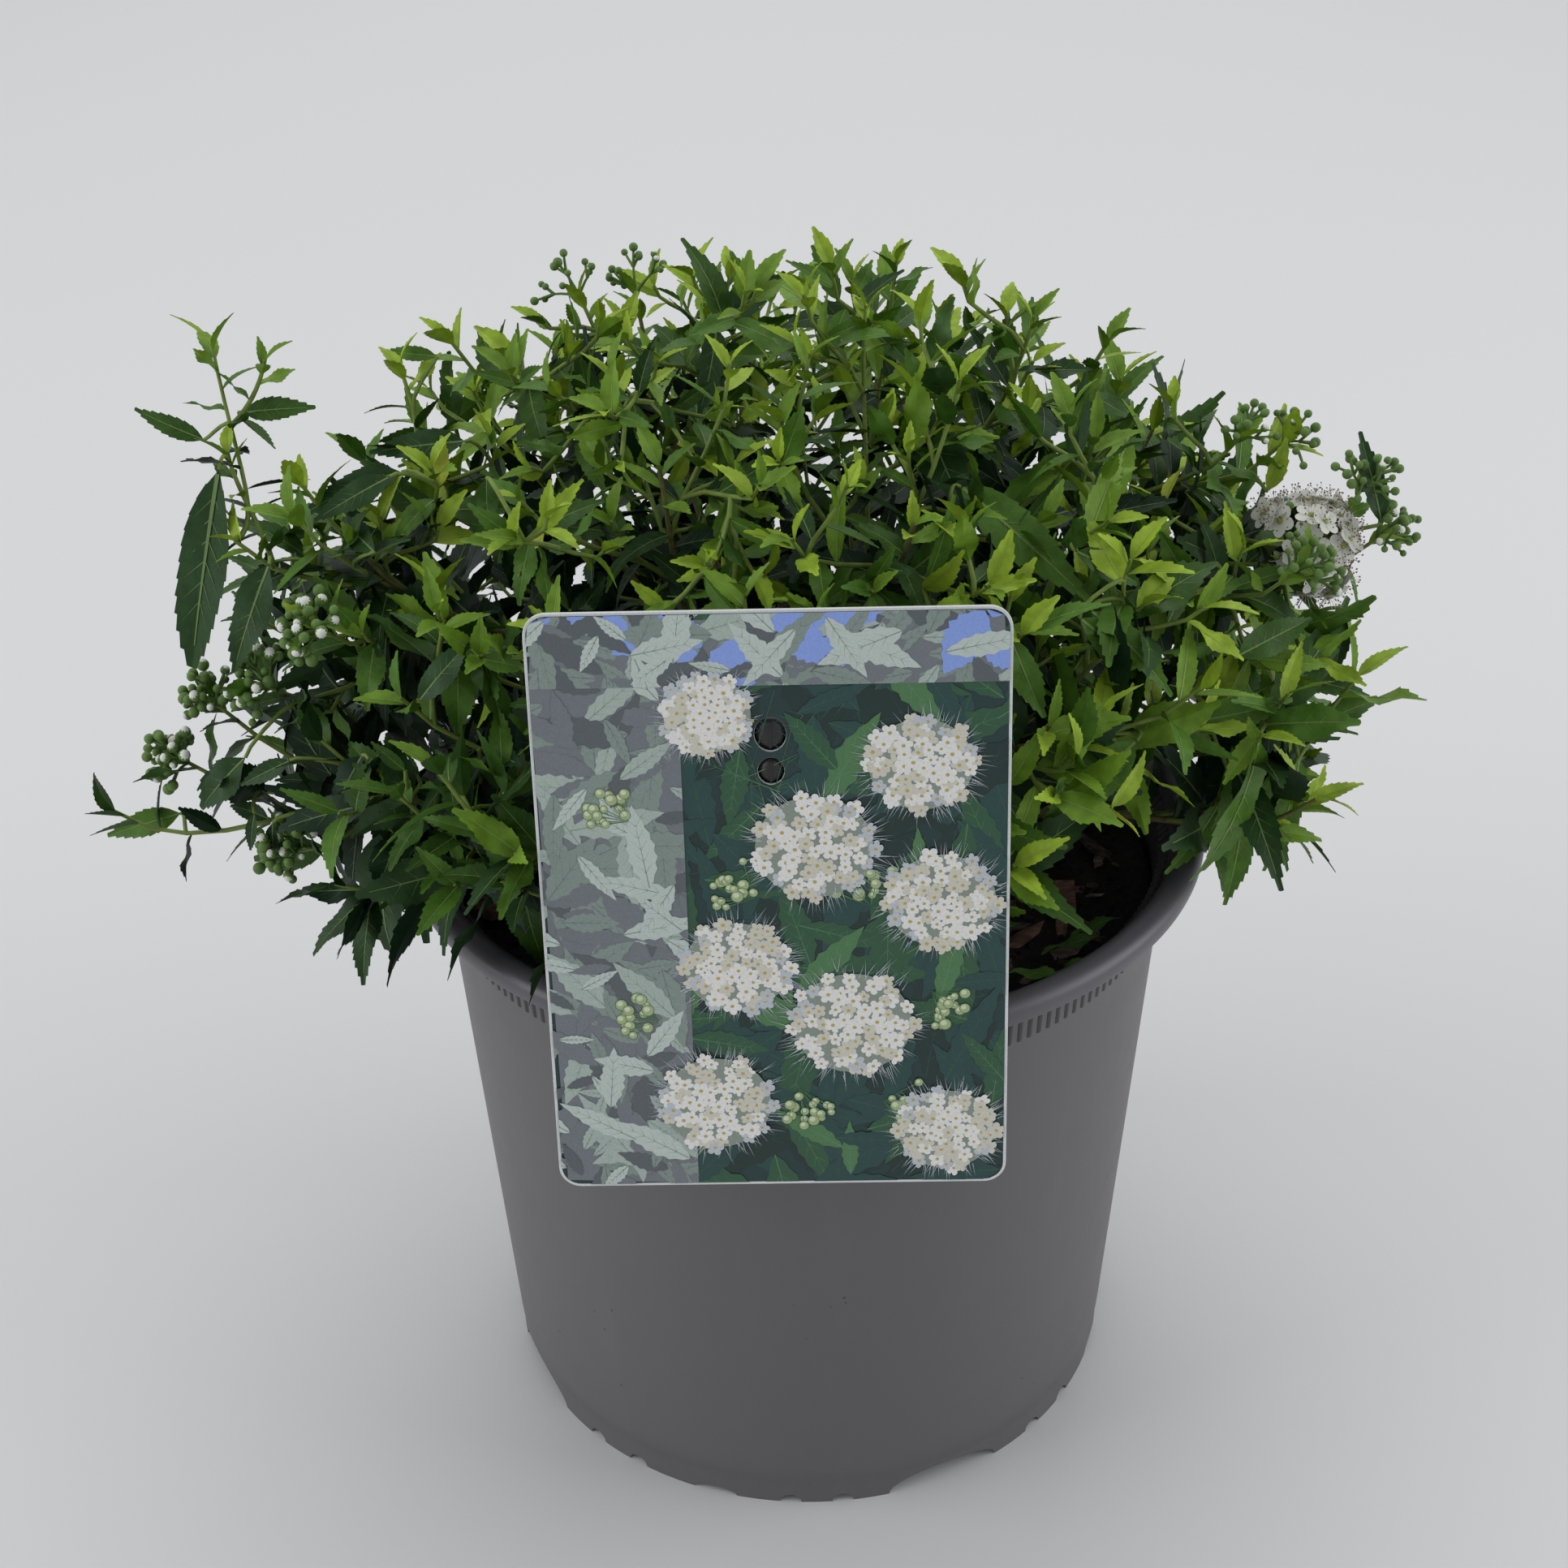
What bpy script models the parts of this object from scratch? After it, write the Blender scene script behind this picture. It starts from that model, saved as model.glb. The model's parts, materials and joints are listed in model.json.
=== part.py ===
"""A spirea shrub in a nursery pot, with its potting soil and its picture label on a holder.

Metres, +Z up. The origin is the centre of the pot's flat underside, and the label hangs in front, at -Y.
The woody stems rise from one root crown, and each ends where it enters its own mass of leafy shoots.
"""

import math
import random

import bmesh
import bpy
import numpy as np
from mathutils import Matrix, Vector

COLLECTION = "potted_spirea"
GAP = 0.0003
GOLDEN_ANGLE = math.radians(137.508)
FRONT = math.radians(-90)

# Pot: a straight cone with a rolled lip, a notched foot and a central pad that it stands on
POT_HEIGHT = 0.1557
POT_SIDES = 40
POT_WALL = 0.0014
RIM_RADIUS = 0.0950
RIM_INNER_RADIUS = 0.0880
LIP_UNDERSIDE = 0.1507
LIP_ROUND_HEIGHT = 0.0029
LIP_UNDERCUT = 0.0007
LIP_STEPS = 5
NECK_HEIGHT = 0.1475
NECK_RADIUS = 0.0864
NECK_FLARE = 0.0014
FOOT_RADIUS = 0.0776
FOOT_BAND_HEIGHT = 0.0080
FOOT_BAND_INSET = 0.0004
FOOT_BAND_BEVEL = 0.0008
FOOT_EXTRA_WALL = 0.0006
FLOOR_RISE = 0.0066
PAD_RADIUS = 0.0300
PAD_SLOPE_RADIUS = 0.0350
DRAIN_HOLES = 8
DRAIN_HOLE_RADIUS = 0.0035
DRAIN_HOLE_SIDES = 8
DRAIN_CIRCLE_RADIUS = 0.0560

# Notches round the foot, four times the same group: angle from the group's arch, half width, height
FIRST_ARCH = math.radians(-65.4)
ARCH_GROUPS = 4
NOTCH_SIDES = 10
NOTCH_DEPTH = 0.0100
FOOT_NOTCHES = (
    (0.0, 0.0148, 0.0055),
    (21.0, 0.0026, 0.0024),
    (31.0, 0.0026, 0.0024),
    (47.0, 0.0055, 0.0018),
    (61.0, 0.0026, 0.0024),
    (70.5, 0.0026, 0.0024),
)

# Potting soil
SOIL_LEVEL = 0.1385
SOIL_UNEVENNESS = 0.0022
SOIL_FLAT_RADIUS = 0.0180
SOIL_WAVES_FROM = 0.0120
SOIL_EDGE_DROP = 0.0040
SOIL_RINGS = (0.0775, 0.0620, 0.0450, 0.0280)
SOIL_SIDES = 28

# Picture label: a thin card that leans back on the rim, with two holes for the bosses of its holder
LABEL_WIDTH = 0.0928
LABEL_HEIGHT = 0.1254
LABEL_THICKNESS = 0.0008
LABEL_CORNER = 0.0045
LABEL_CENTRE = Vector((-0.0067, -0.0908, 0.1852))
LABEL_LEAN = math.radians(9.3)
LABEL_TURN = math.radians(-1.2)
LABEL_TILT = math.radians(0.6)
LABEL_HOLES = ((0.0376, 0.0031, 0.0035), (0.0300, 0.0026, 0.0028))
HOLE_SIDES = 14

# Label holder: an upright blade in the soil, behind the label
HOLDER_WIDTH = 0.0130
HOLDER_THICKNESS = 0.0028
HOLDER_FOOT = 0.1100
HOLDER_TOP = 0.2262
HOLDER_CENTRE_X = -0.0068
HOLDER_Y_AT_RIM = -0.0799
HOLDER_LEAN = math.radians(-1.58)
BOSS_LENGTH = 0.0042

# Root crown: the short woody knob that every stem rises from
KNOB_RADIUS = 0.0140
KNOB_CENTRE = Vector((-0.002, 0.004, SOIL_LEVEL + 0.0060))
KNOB_SIDES = 14
KNOB_BANDS = 9

# Crown: a dome round its heart, wider than it is deep, and shallower at the front, behind the label
HEART = Vector((-0.004, 0.0, 0.155))
CROWN_HALF_WIDTH = 0.132
CROWN_HALF_FRONT = 0.097
CROWN_HALF_BACK = 0.122
CROWN_RISE = 0.122
CROWN_DROP = 0.045
CROWN_ROUNDNESS = 1.8
LOWEST_AT_FRONT = math.radians(12)
LOWEST_AT_BACK = math.radians(-13)

# Rings of boughs: name, number, first azimuth, elevation of the foliage, elevation at the root crown
RINGS = (
    ("low", 11, 180.0, 6.0, 13.0),
    ("mid", 8, 0.0, 36.0, 42.0),
    ("top", 4, 45.0, 66.0, 70.0),
)
SITE_REACH = 0.80
BOUGH_REACH = 0.46
BOUGH_RADIUS = 0.0022
BOUGH_TIP_SHARE = 0.62
BOUGH_POINTS = 5
BOUGH_FOOT_PULL = 0.35
BOUGH_TIP_PULL = 0.30
BOUGH_LIFT = 0.35
RING_WAVER = 3.0
RING_WAVER_STEP = 2.4
LOW_FRONT_RAISE = 6.0

# Twigs and leaves
STEM_RADIUS = 0.0013
STEM_TIP_RADIUS = 0.0009
STEM_COLLAR = 0.0025
TWIG_RADIUS = 0.00105
TWIG_TIP_RADIUS = 0.00070
TWIG_POINTS = 4
TWIG_FOOT_PULL = 0.30
STEM_FOOT_PULL = 0.35
TWIG_TIP_PULL = 0.35
LOWEST_TWIG = 0.06
HIGHEST_TWIG = 0.72
TWIG_HEAD_START = 0.42
LEAF_LONG = 0.038
LEAF_SHORT = 0.025
LEAF_WIDTH = 0.40
LEAF_THICKNESS = 0.030
LEAF_WIDEST = 0.42
LEAF_FOLD = 0.05
LEAF_DROOP = -0.05
ROOT_DEPTH = 0.0002
LEAVES_ON_STEM = 5
LEAVES_ON_TWIG = 4
LEAVES_FROM = 0.42
LEAVES_TO = 0.985
SPREAD_BELOW = 68
SPREAD_AT_TIP = 30
LEAF_TRIES = 4
SPACE_MARGIN = 0.0005
TWIG_MARGIN = 0.0016
LEAF_MARGIN = 0.0016
LIMB_MARGIN = 0.0024
FIXED_MARGIN = 0.0022

# What a shoot carries, with the heads of a cluster: number, radius of the core, radius of a head
LEAFY = "leafy"
BUDS = "buds"
FLOWERS = "flowers"
CLUSTERS = {
    BUDS: (5, 0.0038, 0.0026),
    FLOWERS: (9, 0.0072, 0.0044),
}

# Shoots that stand out of the dome: azimuth and elevation in degrees, share of the dome's reach, and load
STANDING_OUT = (
    (-178, 42, 1.27, LEAFY),
    (-175, 3, 1.13, LEAFY),
    (-172, 11, 1.07, BUDS),
    (-165, 23, 1.01, BUDS),
    (-155, 33, 1.02, BUDS),
    (-155, 11, 0.94, BUDS),
    (140, 64, 1.00, BUDS),
    (164, 55, 1.04, LEAFY),
    (50, 71, 1.01, LEAFY),
    (103, 67, 0.98, LEAFY),
    (16, 54, 1.03, LEAFY),
    (-3, 28, 1.03, FLOWERS),
    (2, 32, 1.16, BUDS),
    (7, 39, 1.07, BUDS),
    (-9, 18, 1.01, LEAFY),
    (-17, 9, 0.93, LEAFY),
)

# Leaves that reach past their shoots: where each one's tip is, told in the same way
REACHING_TIPS = (
    (-176, 38, 1.39),
    (180, 46, 1.18),
    (-168, 22, 1.12),
    (-161, 27, 1.13),
    (-176, -3, 1.17),
    (-142, 1, 1.02),
    (-154, -2, 0.99),
    (-134, 8, 1.00),
    (-30, 2, 0.93),
    (-20, 1, 0.94),
    (-8, 16, 1.10),
    (4, 33, 1.25),
    (-50, 45, 1.17),
    (-51, 13, 0.89),
    (170, 52, 1.15),
    (4, 46, 1.09),
)
REACHING_SHORTEST = 0.020
REACHING_LONGEST = 0.046

# Shoots over the rest of the dome: how the golden-angle lattice is spread, shaken and thinned
CROWN_SHOOTS = 90
LATTICE_SPAN = 1.20
AZIMUTH_SHAKE = 0.10
ELEVATION_SHAKE = 0.05
SHORTEST_REACH = 0.90
SHOOT_SPACING = 0.014


def material(name, colour, roughness):
    made = bpy.data.materials.new(name)
    made.use_nodes = True
    surface = made.node_tree.nodes["Principled BSDF"]
    surface.inputs["Base Color"].default_value = (*colour, 1.0)
    surface.inputs["Roughness"].default_value = roughness
    return made


def clear_scene():
    for old in list(bpy.data.objects):
        bpy.data.objects.remove(old, do_unlink=True)


def new_collection(name, hidden=False):
    made = bpy.data.collections.new(name)
    bpy.context.scene.collection.children.link(made)
    made.hide_render = hidden
    return made


def place(name, data, collection, finish=None):
    made = bpy.data.objects.new(name, data)
    collection.objects.link(made)
    if finish is not None:
        data.materials.append(finish)
    return made


def as_helper(helper):
    helper.hide_render = True
    helper.display_type = "WIRE"
    return helper


def mesh_from_bmesh(name, bm):
    mesh = bpy.data.meshes.new(name)
    bm.to_mesh(mesh)
    bm.free()
    return mesh


def shade_round(mesh, sharp=35.0):
    mesh.shade_smooth()
    mesh.set_sharp_from_angle(angle=math.radians(sharp))


def baked(source):
    """The mesh that an object shows, with the caps of a curve welded on."""
    graph = bpy.context.evaluated_depsgraph_get()
    mesh = bpy.data.meshes.new_from_object(source.evaluated_get(graph))
    bm = bmesh.new()
    bm.from_mesh(mesh)
    bmesh.ops.remove_doubles(bm, verts=bm.verts, dist=1e-6)
    bmesh.ops.recalc_face_normals(bm, faces=bm.faces)
    bm.to_mesh(mesh)
    bm.free()
    return mesh


def boolean(target, operation, operand, solver="EXACT"):
    cut = target.modifiers.new(operation.lower(), "BOOLEAN")
    cut.operation = operation
    cut.solver = solver
    if isinstance(operand, bpy.types.Collection):
        cut.operand_type = "COLLECTION"
        cut.collection = operand
    else:
        cut.object = operand
    return cut


def outer_wall_radius(z):
    return FOOT_RADIUS + (NECK_RADIUS - FOOT_RADIUS) * z / NECK_HEIGHT


def inner_wall_radius(z):
    return outer_wall_radius(z) - POT_WALL


def pot_profile():
    """Half section, from the middle of the inside floor, over the lip and down to the underside."""
    floor_top = FLOOR_RISE + POT_WALL
    profile = [
        (0.0, POT_WALL),
        (PAD_RADIUS - POT_WALL, POT_WALL),
        (PAD_SLOPE_RADIUS - POT_WALL, floor_top),
        (inner_wall_radius(floor_top), floor_top),
        (inner_wall_radius(NECK_HEIGHT), NECK_HEIGHT),
        (RIM_INNER_RADIUS - LIP_UNDERCUT, LIP_UNDERSIDE),
    ]
    lip_half = (RIM_RADIUS - RIM_INNER_RADIUS) / 2
    for step in range(LIP_STEPS + 1):
        turn = math.pi * (1 - step / LIP_STEPS)
        r = RIM_INNER_RADIUS + lip_half + lip_half * math.cos(turn)
        z = POT_HEIGHT - LIP_ROUND_HEIGHT * (1 - math.sin(turn))
        profile.append((r, z))
    band_top = FOOT_BAND_HEIGHT + FOOT_BAND_BEVEL
    profile += [
        (RIM_RADIUS - LIP_UNDERCUT, LIP_UNDERSIDE),
        (NECK_RADIUS + NECK_FLARE, NECK_HEIGHT + NECK_FLARE),
        (NECK_RADIUS, NECK_HEIGHT),
        (outer_wall_radius(band_top), band_top),
        (outer_wall_radius(FOOT_BAND_HEIGHT) - FOOT_BAND_INSET, FOOT_BAND_HEIGHT),
        (FOOT_RADIUS, 0.0),
        (inner_wall_radius(0.0) - FOOT_EXTRA_WALL, 0.0),
        (inner_wall_radius(FLOOR_RISE) - FOOT_EXTRA_WALL, FLOOR_RISE),
        (PAD_SLOPE_RADIUS, FLOOR_RISE),
        (PAD_RADIUS, 0.0),
        (0.0, 0.0),
    ]
    return profile


def turned(name, profile, sides, collection, finish):
    """A solid of revolution, from a half section with a Screw."""
    bm = bmesh.new()
    corners = [bm.verts.new((r, 0.0, z)) for r, z in profile]
    for first, second in zip(corners, corners[1:]):
        bm.edges.new((first, second))
    made = place(name, mesh_from_bmesh(name, bm), collection, finish)
    screw = made.modifiers.new("turn", "SCREW")
    screw.axis = "Z"
    screw.steps = sides
    screw.render_steps = sides
    screw.use_merge_vertices = True
    screw.merge_threshold = 0.00001
    screw.use_smooth_shade = True
    return made


def cylinder(sides, size):
    """An elliptical cylinder about the origin, from its two half widths and its length along Z."""
    bm = bmesh.new()
    bmesh.ops.create_cone(bm, segments=sides, radius1=1.0, radius2=1.0, depth=1.0, cap_ends=True)
    bmesh.ops.scale(bm, verts=bm.verts, vec=size)
    return bm


def notch_cutter(name, azimuth, half_width, height, cutters):
    """A lying elliptical cylinder, half of it above the floor, that crosses the foot's wall."""
    bm = cylinder(NOTCH_SIDES, (half_width, height, NOTCH_DEPTH))
    bmesh.ops.rotate(bm, verts=bm.verts, matrix=Matrix.Rotation(math.pi / 2, 3, "X"))
    bmesh.ops.translate(bm, verts=bm.verts, vec=(0.0, -FOOT_RADIUS, 0.0))
    bmesh.ops.rotate(bm, verts=bm.verts, matrix=Matrix.Rotation(azimuth - FRONT, 3, "Z"))
    return as_helper(place(name, mesh_from_bmesh(name, bm), cutters))


def drain_cutter(name, azimuth, cutters):
    bm = cylinder(DRAIN_HOLE_SIDES, (DRAIN_HOLE_RADIUS, DRAIN_HOLE_RADIUS, 4 * POT_WALL))
    where = Matrix.Rotation(azimuth, 3, "Z") @ Vector((DRAIN_CIRCLE_RADIUS, 0.0, FLOOR_RISE))
    bmesh.ops.translate(bm, verts=bm.verts, vec=where)
    return as_helper(place(name, mesh_from_bmesh(name, bm), cutters))


def build_pot(collection):
    plastic = material("pot_plastic", (0.105, 0.098, 0.092), 0.5)
    pot = turned("pot", pot_profile(), POT_SIDES, collection, plastic)
    cutters = new_collection("pot_cutters", hidden=True)
    for group in range(ARCH_GROUPS):
        arch = FIRST_ARCH + group * math.tau / ARCH_GROUPS
        for number, (turn, half_width, height) in enumerate(FOOT_NOTCHES):
            name = f"cut_foot_{group}_{number}"
            notch_cutter(name, arch + math.radians(turn), half_width, height, cutters)
    for hole in range(DRAIN_HOLES):
        drain_cutter(f"cut_drain_{hole}", (hole + 0.5) * math.tau / DRAIN_HOLES, cutters)
    boolean(pot, "DIFFERENCE", cutters)
    return pot


def soil_wave(x, y):
    """Height of the soil's surface over its level, flat under the root crown."""
    away = min(1.0, max(0.0, (math.hypot(x, y) - SOIL_FLAT_RADIUS) / SOIL_WAVES_FROM))
    wave = math.sin(95 * x + 1.3) * math.cos(82 * y - 0.4) + 0.6 * math.sin(170 * x - 140 * y)
    return SOIL_UNEVENNESS * away * wave / 1.6


def build_soil(collection, holder_box):
    """Fills the pot's inside, the gap clear of its floor and wall, with an uneven top."""
    floor_top = FLOOR_RISE + POT_WALL + GAP
    side_clear = 1 / math.cos(math.pi / POT_SIDES)
    profile = [
        (0.0, floor_top),
        (inner_wall_radius(floor_top) / side_clear - 2 * GAP, floor_top),
        (inner_wall_radius(SOIL_LEVEL) / side_clear - 2 * GAP, SOIL_LEVEL - SOIL_EDGE_DROP),
    ]
    profile += [(ring, SOIL_LEVEL) for ring in (*SOIL_RINGS, 0.0)]
    peat = material("peat_soil", (0.030, 0.020, 0.014), 0.95)
    bm = bmesh.new()
    corners = [bm.verts.new((r, 0.0, z)) for r, z in profile]
    edges = [bm.edges.new(pair) for pair in zip(corners, corners[1:])]
    bmesh.ops.spin(
        bm,
        geom=corners + edges,
        axis=(0, 0, 1),
        cent=(0, 0, 0),
        angle=math.tau,
        steps=SOIL_SIDES,
        use_merge=True,
    )
    bmesh.ops.remove_doubles(bm, verts=bm.verts, dist=1e-6)
    bmesh.ops.recalc_face_normals(bm, faces=bm.faces)
    for vert in bm.verts:
        if vert.co.z > SOIL_LEVEL - 1e-5:
            vert.co.z += soil_wave(vert.co.x, vert.co.y)
    soil = place("soil", mesh_from_bmesh("soil", bm), collection, peat)
    boolean(soil, "DIFFERENCE", holder_box)
    return soil


def label_frame():
    """The label's own axes in its middle: right, up its face, and out to the front."""
    lean = Matrix.Rotation(math.pi / 2 - LABEL_LEAN, 4, "X")
    turn = Matrix.Rotation(LABEL_TURN, 4, "Z")
    tilt = Matrix.Rotation(LABEL_TILT, 4, "Z")
    return Matrix.Translation(LABEL_CENTRE) @ turn @ lean @ tilt


def closed_outline(curve, points):
    spline = curve.splines.new("POLY")
    spline.points.add(len(points) - 1)
    for corner, (x, y) in zip(spline.points, points):
        corner.co = (x, y, 0.0, 1.0)
    spline.use_cyclic_u = True


def rounded_rectangle(width, height, radius, steps=5):
    points = []
    for quarter, (side_x, side_y) in enumerate(((1, 1), (-1, 1), (-1, -1), (1, -1))):
        for step in range(steps + 1):
            turn = (quarter + step / steps) * math.pi / 2
            x = side_x * (width / 2 - radius) + radius * math.cos(turn)
            y = side_y * (height / 2 - radius) + radius * math.sin(turn)
            points.append((x, y))
    return points


def oval(centre_y, half_width, half_height):
    turns = [math.tau * step / HOLE_SIDES for step in range(HOLE_SIDES)]
    return [(half_width * math.cos(t), centre_y + half_height * math.sin(t)) for t in turns]


def build_label(collection):
    card = bpy.data.curves.new("label", "CURVE")
    card.dimensions = "2D"
    card.fill_mode = "BOTH"
    card.extrude = LABEL_THICKNESS / 2
    closed_outline(card, rounded_rectangle(LABEL_WIDTH, LABEL_HEIGHT, LABEL_CORNER))
    for centre_y, half_width, half_height in LABEL_HOLES:
        closed_outline(card, oval(centre_y, half_width, half_height))
    printed = material("label_card", (0.07, 0.16, 0.11), 0.35)
    label = place("label", card, collection, printed)
    label.matrix_world = label_frame()
    return label


def box_mesh(name, size):
    bm = bmesh.new()
    bmesh.ops.create_cube(bm, size=1.0)
    bmesh.ops.scale(bm, verts=bm.verts, vec=size)
    return mesh_from_bmesh(name, bm)


def holder_matrix():
    middle = (HOLDER_FOOT + HOLDER_TOP) / 2
    at_rim = Vector((HOLDER_CENTRE_X, HOLDER_Y_AT_RIM, POT_HEIGHT))
    lean = Matrix.Rotation(-HOLDER_LEAN, 4, "X")
    up = lean @ Vector((0, 0, 1))
    return Matrix.Translation(at_rim + up * (middle - POT_HEIGHT)) @ lean


def build_holder(collection, cutters):
    """The blade with a boss through each hole of the label, and the box that cuts its slot."""
    size = (HOLDER_WIDTH, HOLDER_THICKNESS, HOLDER_TOP - HOLDER_FOOT)
    holder = place("label_holder", box_mesh("label_holder", size), collection)
    holder.data.materials.append(material("holder_plastic", (0.012, 0.012, 0.013), 0.4))
    holder.matrix_world = holder_matrix()
    bosses = new_collection("holder_bosses", hidden=True)
    for number, (centre_y, half_width, half_height) in enumerate(LABEL_HOLES):
        bm = cylinder(HOLE_SIDES, (half_width - GAP, half_height - GAP, BOSS_LENGTH))
        boss = place(f"boss_{number}", mesh_from_bmesh("boss", bm), bosses)
        depth = LABEL_THICKNESS / 2 + GAP - BOSS_LENGTH / 2
        boss.matrix_world = label_frame() @ Matrix.Translation((0, centre_y, depth))
        as_helper(boss)
    boolean(holder, "UNION", bosses)
    slot_size = (HOLDER_WIDTH + 2 * GAP, HOLDER_THICKNESS + 2 * GAP, HOLDER_TOP - HOLDER_FOOT + 2 * GAP)
    slot = place("cut_holder_slot", box_mesh("cut_holder_slot", slot_size), cutters)
    slot.matrix_world = holder_matrix()
    return as_helper(slot)


def build_root_crown(collection):
    """A knob, cut flat where it sits on the soil."""
    bm = bmesh.new()
    bmesh.ops.create_uvsphere(
        bm, u_segments=KNOB_SIDES, v_segments=KNOB_BANDS, radius=KNOB_RADIUS
    )
    bmesh.ops.translate(bm, verts=bm.verts, vec=KNOB_CENTRE)
    seat = Vector((0, 0, SOIL_LEVEL + GAP))
    everything = bm.verts[:] + bm.edges[:] + bm.faces[:]
    cut = bmesh.ops.bisect_plane(
        bm, geom=everything, plane_co=seat, plane_no=(0, 0, -1), clear_outer=True
    )
    rim = [item for item in cut["geom_cut"] if isinstance(item, bmesh.types.BMEdge)]
    bmesh.ops.contextual_create(bm, geom=rim)
    bmesh.ops.recalc_face_normals(bm, faces=bm.faces)
    bark = material("root_bark", (0.10, 0.062, 0.038), 0.9)
    mesh = mesh_from_bmesh("root_crown", bm)
    shade_round(mesh)
    return place("root_crown", mesh, collection, bark)


def direction(azimuth, elevation):
    flat = math.cos(elevation)
    return Vector((flat * math.cos(azimuth), flat * math.sin(azimuth), math.sin(elevation)))


def crown_point(azimuth, elevation, reach=1.0):
    """A point of the crown's outer form, as seen from its heart, or a share of the way to it."""
    ahead = direction(azimuth, elevation)
    half_depth = CROWN_HALF_BACK if ahead.y > 0 else CROWN_HALF_FRONT
    half_height = CROWN_RISE if ahead.z > 0 else CROWN_DROP
    level = math.hypot(ahead.x / CROWN_HALF_WIDTH, ahead.y / half_depth)
    upright = abs(ahead.z / half_height)
    total = level**CROWN_ROUNDNESS + upright**CROWN_ROUNDNESS
    return HEART + ahead * (reach * total ** (-1 / CROWN_ROUNDNESS))


def bend(start, first, last, end, count):
    """Points along the cubic curve that these four control."""
    points = []
    for step in range(count):
        t = step / (count - 1)
        s = 1 - t
        points.append(s**3 * start + 3 * s * s * t * first + 3 * s * t * t * last + t**3 * end)
    return points


class Bough:
    """One limb from the root crown to the foot of its own mass of foliage."""

    def __init__(self, ring, number, azimuth, elevation, start_elevation):
        self.name = f"{ring}_{number:02d}"
        self.site = crown_point(azimuth, elevation, SITE_REACH)
        self.tip = crown_point(azimuth, elevation, BOUGH_REACH)
        ahead = direction(azimuth, start_elevation)
        self.start = KNOB_CENTRE + ahead * (KNOB_RADIUS + GAP)
        length = (self.tip - self.start).length
        outward = (self.site - self.tip).normalized()
        leaving = (outward + Vector((0, 0, BOUGH_LIFT))).normalized()
        first = self.start + ahead * length * BOUGH_FOOT_PULL
        last = self.tip - leaving * length * BOUGH_TIP_PULL
        self.points = bend(self.start, first, last, self.tip, BOUGH_POINTS)
        self.ahead = (self.points[-1] - self.points[-2]).normalized()
        self.radii = [
            BOUGH_RADIUS * (1 - (1 - BOUGH_TIP_SHARE) * step / (BOUGH_POINTS - 1))
            for step in range(BOUGH_POINTS)
        ]

    def build(self, collection, finish):
        limb = bpy.data.curves.new(f"bough_{self.name}", "CURVE")
        limb.dimensions = "3D"
        limb.bevel_depth = BOUGH_RADIUS
        limb.bevel_resolution = 1
        limb.use_fill_caps = True
        spline = limb.splines.new("POLY")
        spline.points.add(len(self.points) - 1)
        for point, co, radius in zip(spline.points, self.points, self.radii):
            point.co = (*co, 1.0)
            point.radius = radius / BOUGH_RADIUS
        return place(f"bough_{self.name}", limb, collection, finish)


def all_boughs():
    boughs = []
    for ring, count, first, elevation, start_elevation in RINGS:
        for number in range(count):
            azimuth = math.radians(first + 360 * number / count)
            raised = elevation + RING_WAVER * math.sin(RING_WAVER_STEP * number)
            if ring == "low" and math.sin(azimuth) < -0.3:
                raised += LOW_FRONT_RAISE
            elevations = math.radians(raised), math.radians(start_elevation)
            boughs.append(Bough(ring, number + 1, azimuth, *elevations))
    return boughs


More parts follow.
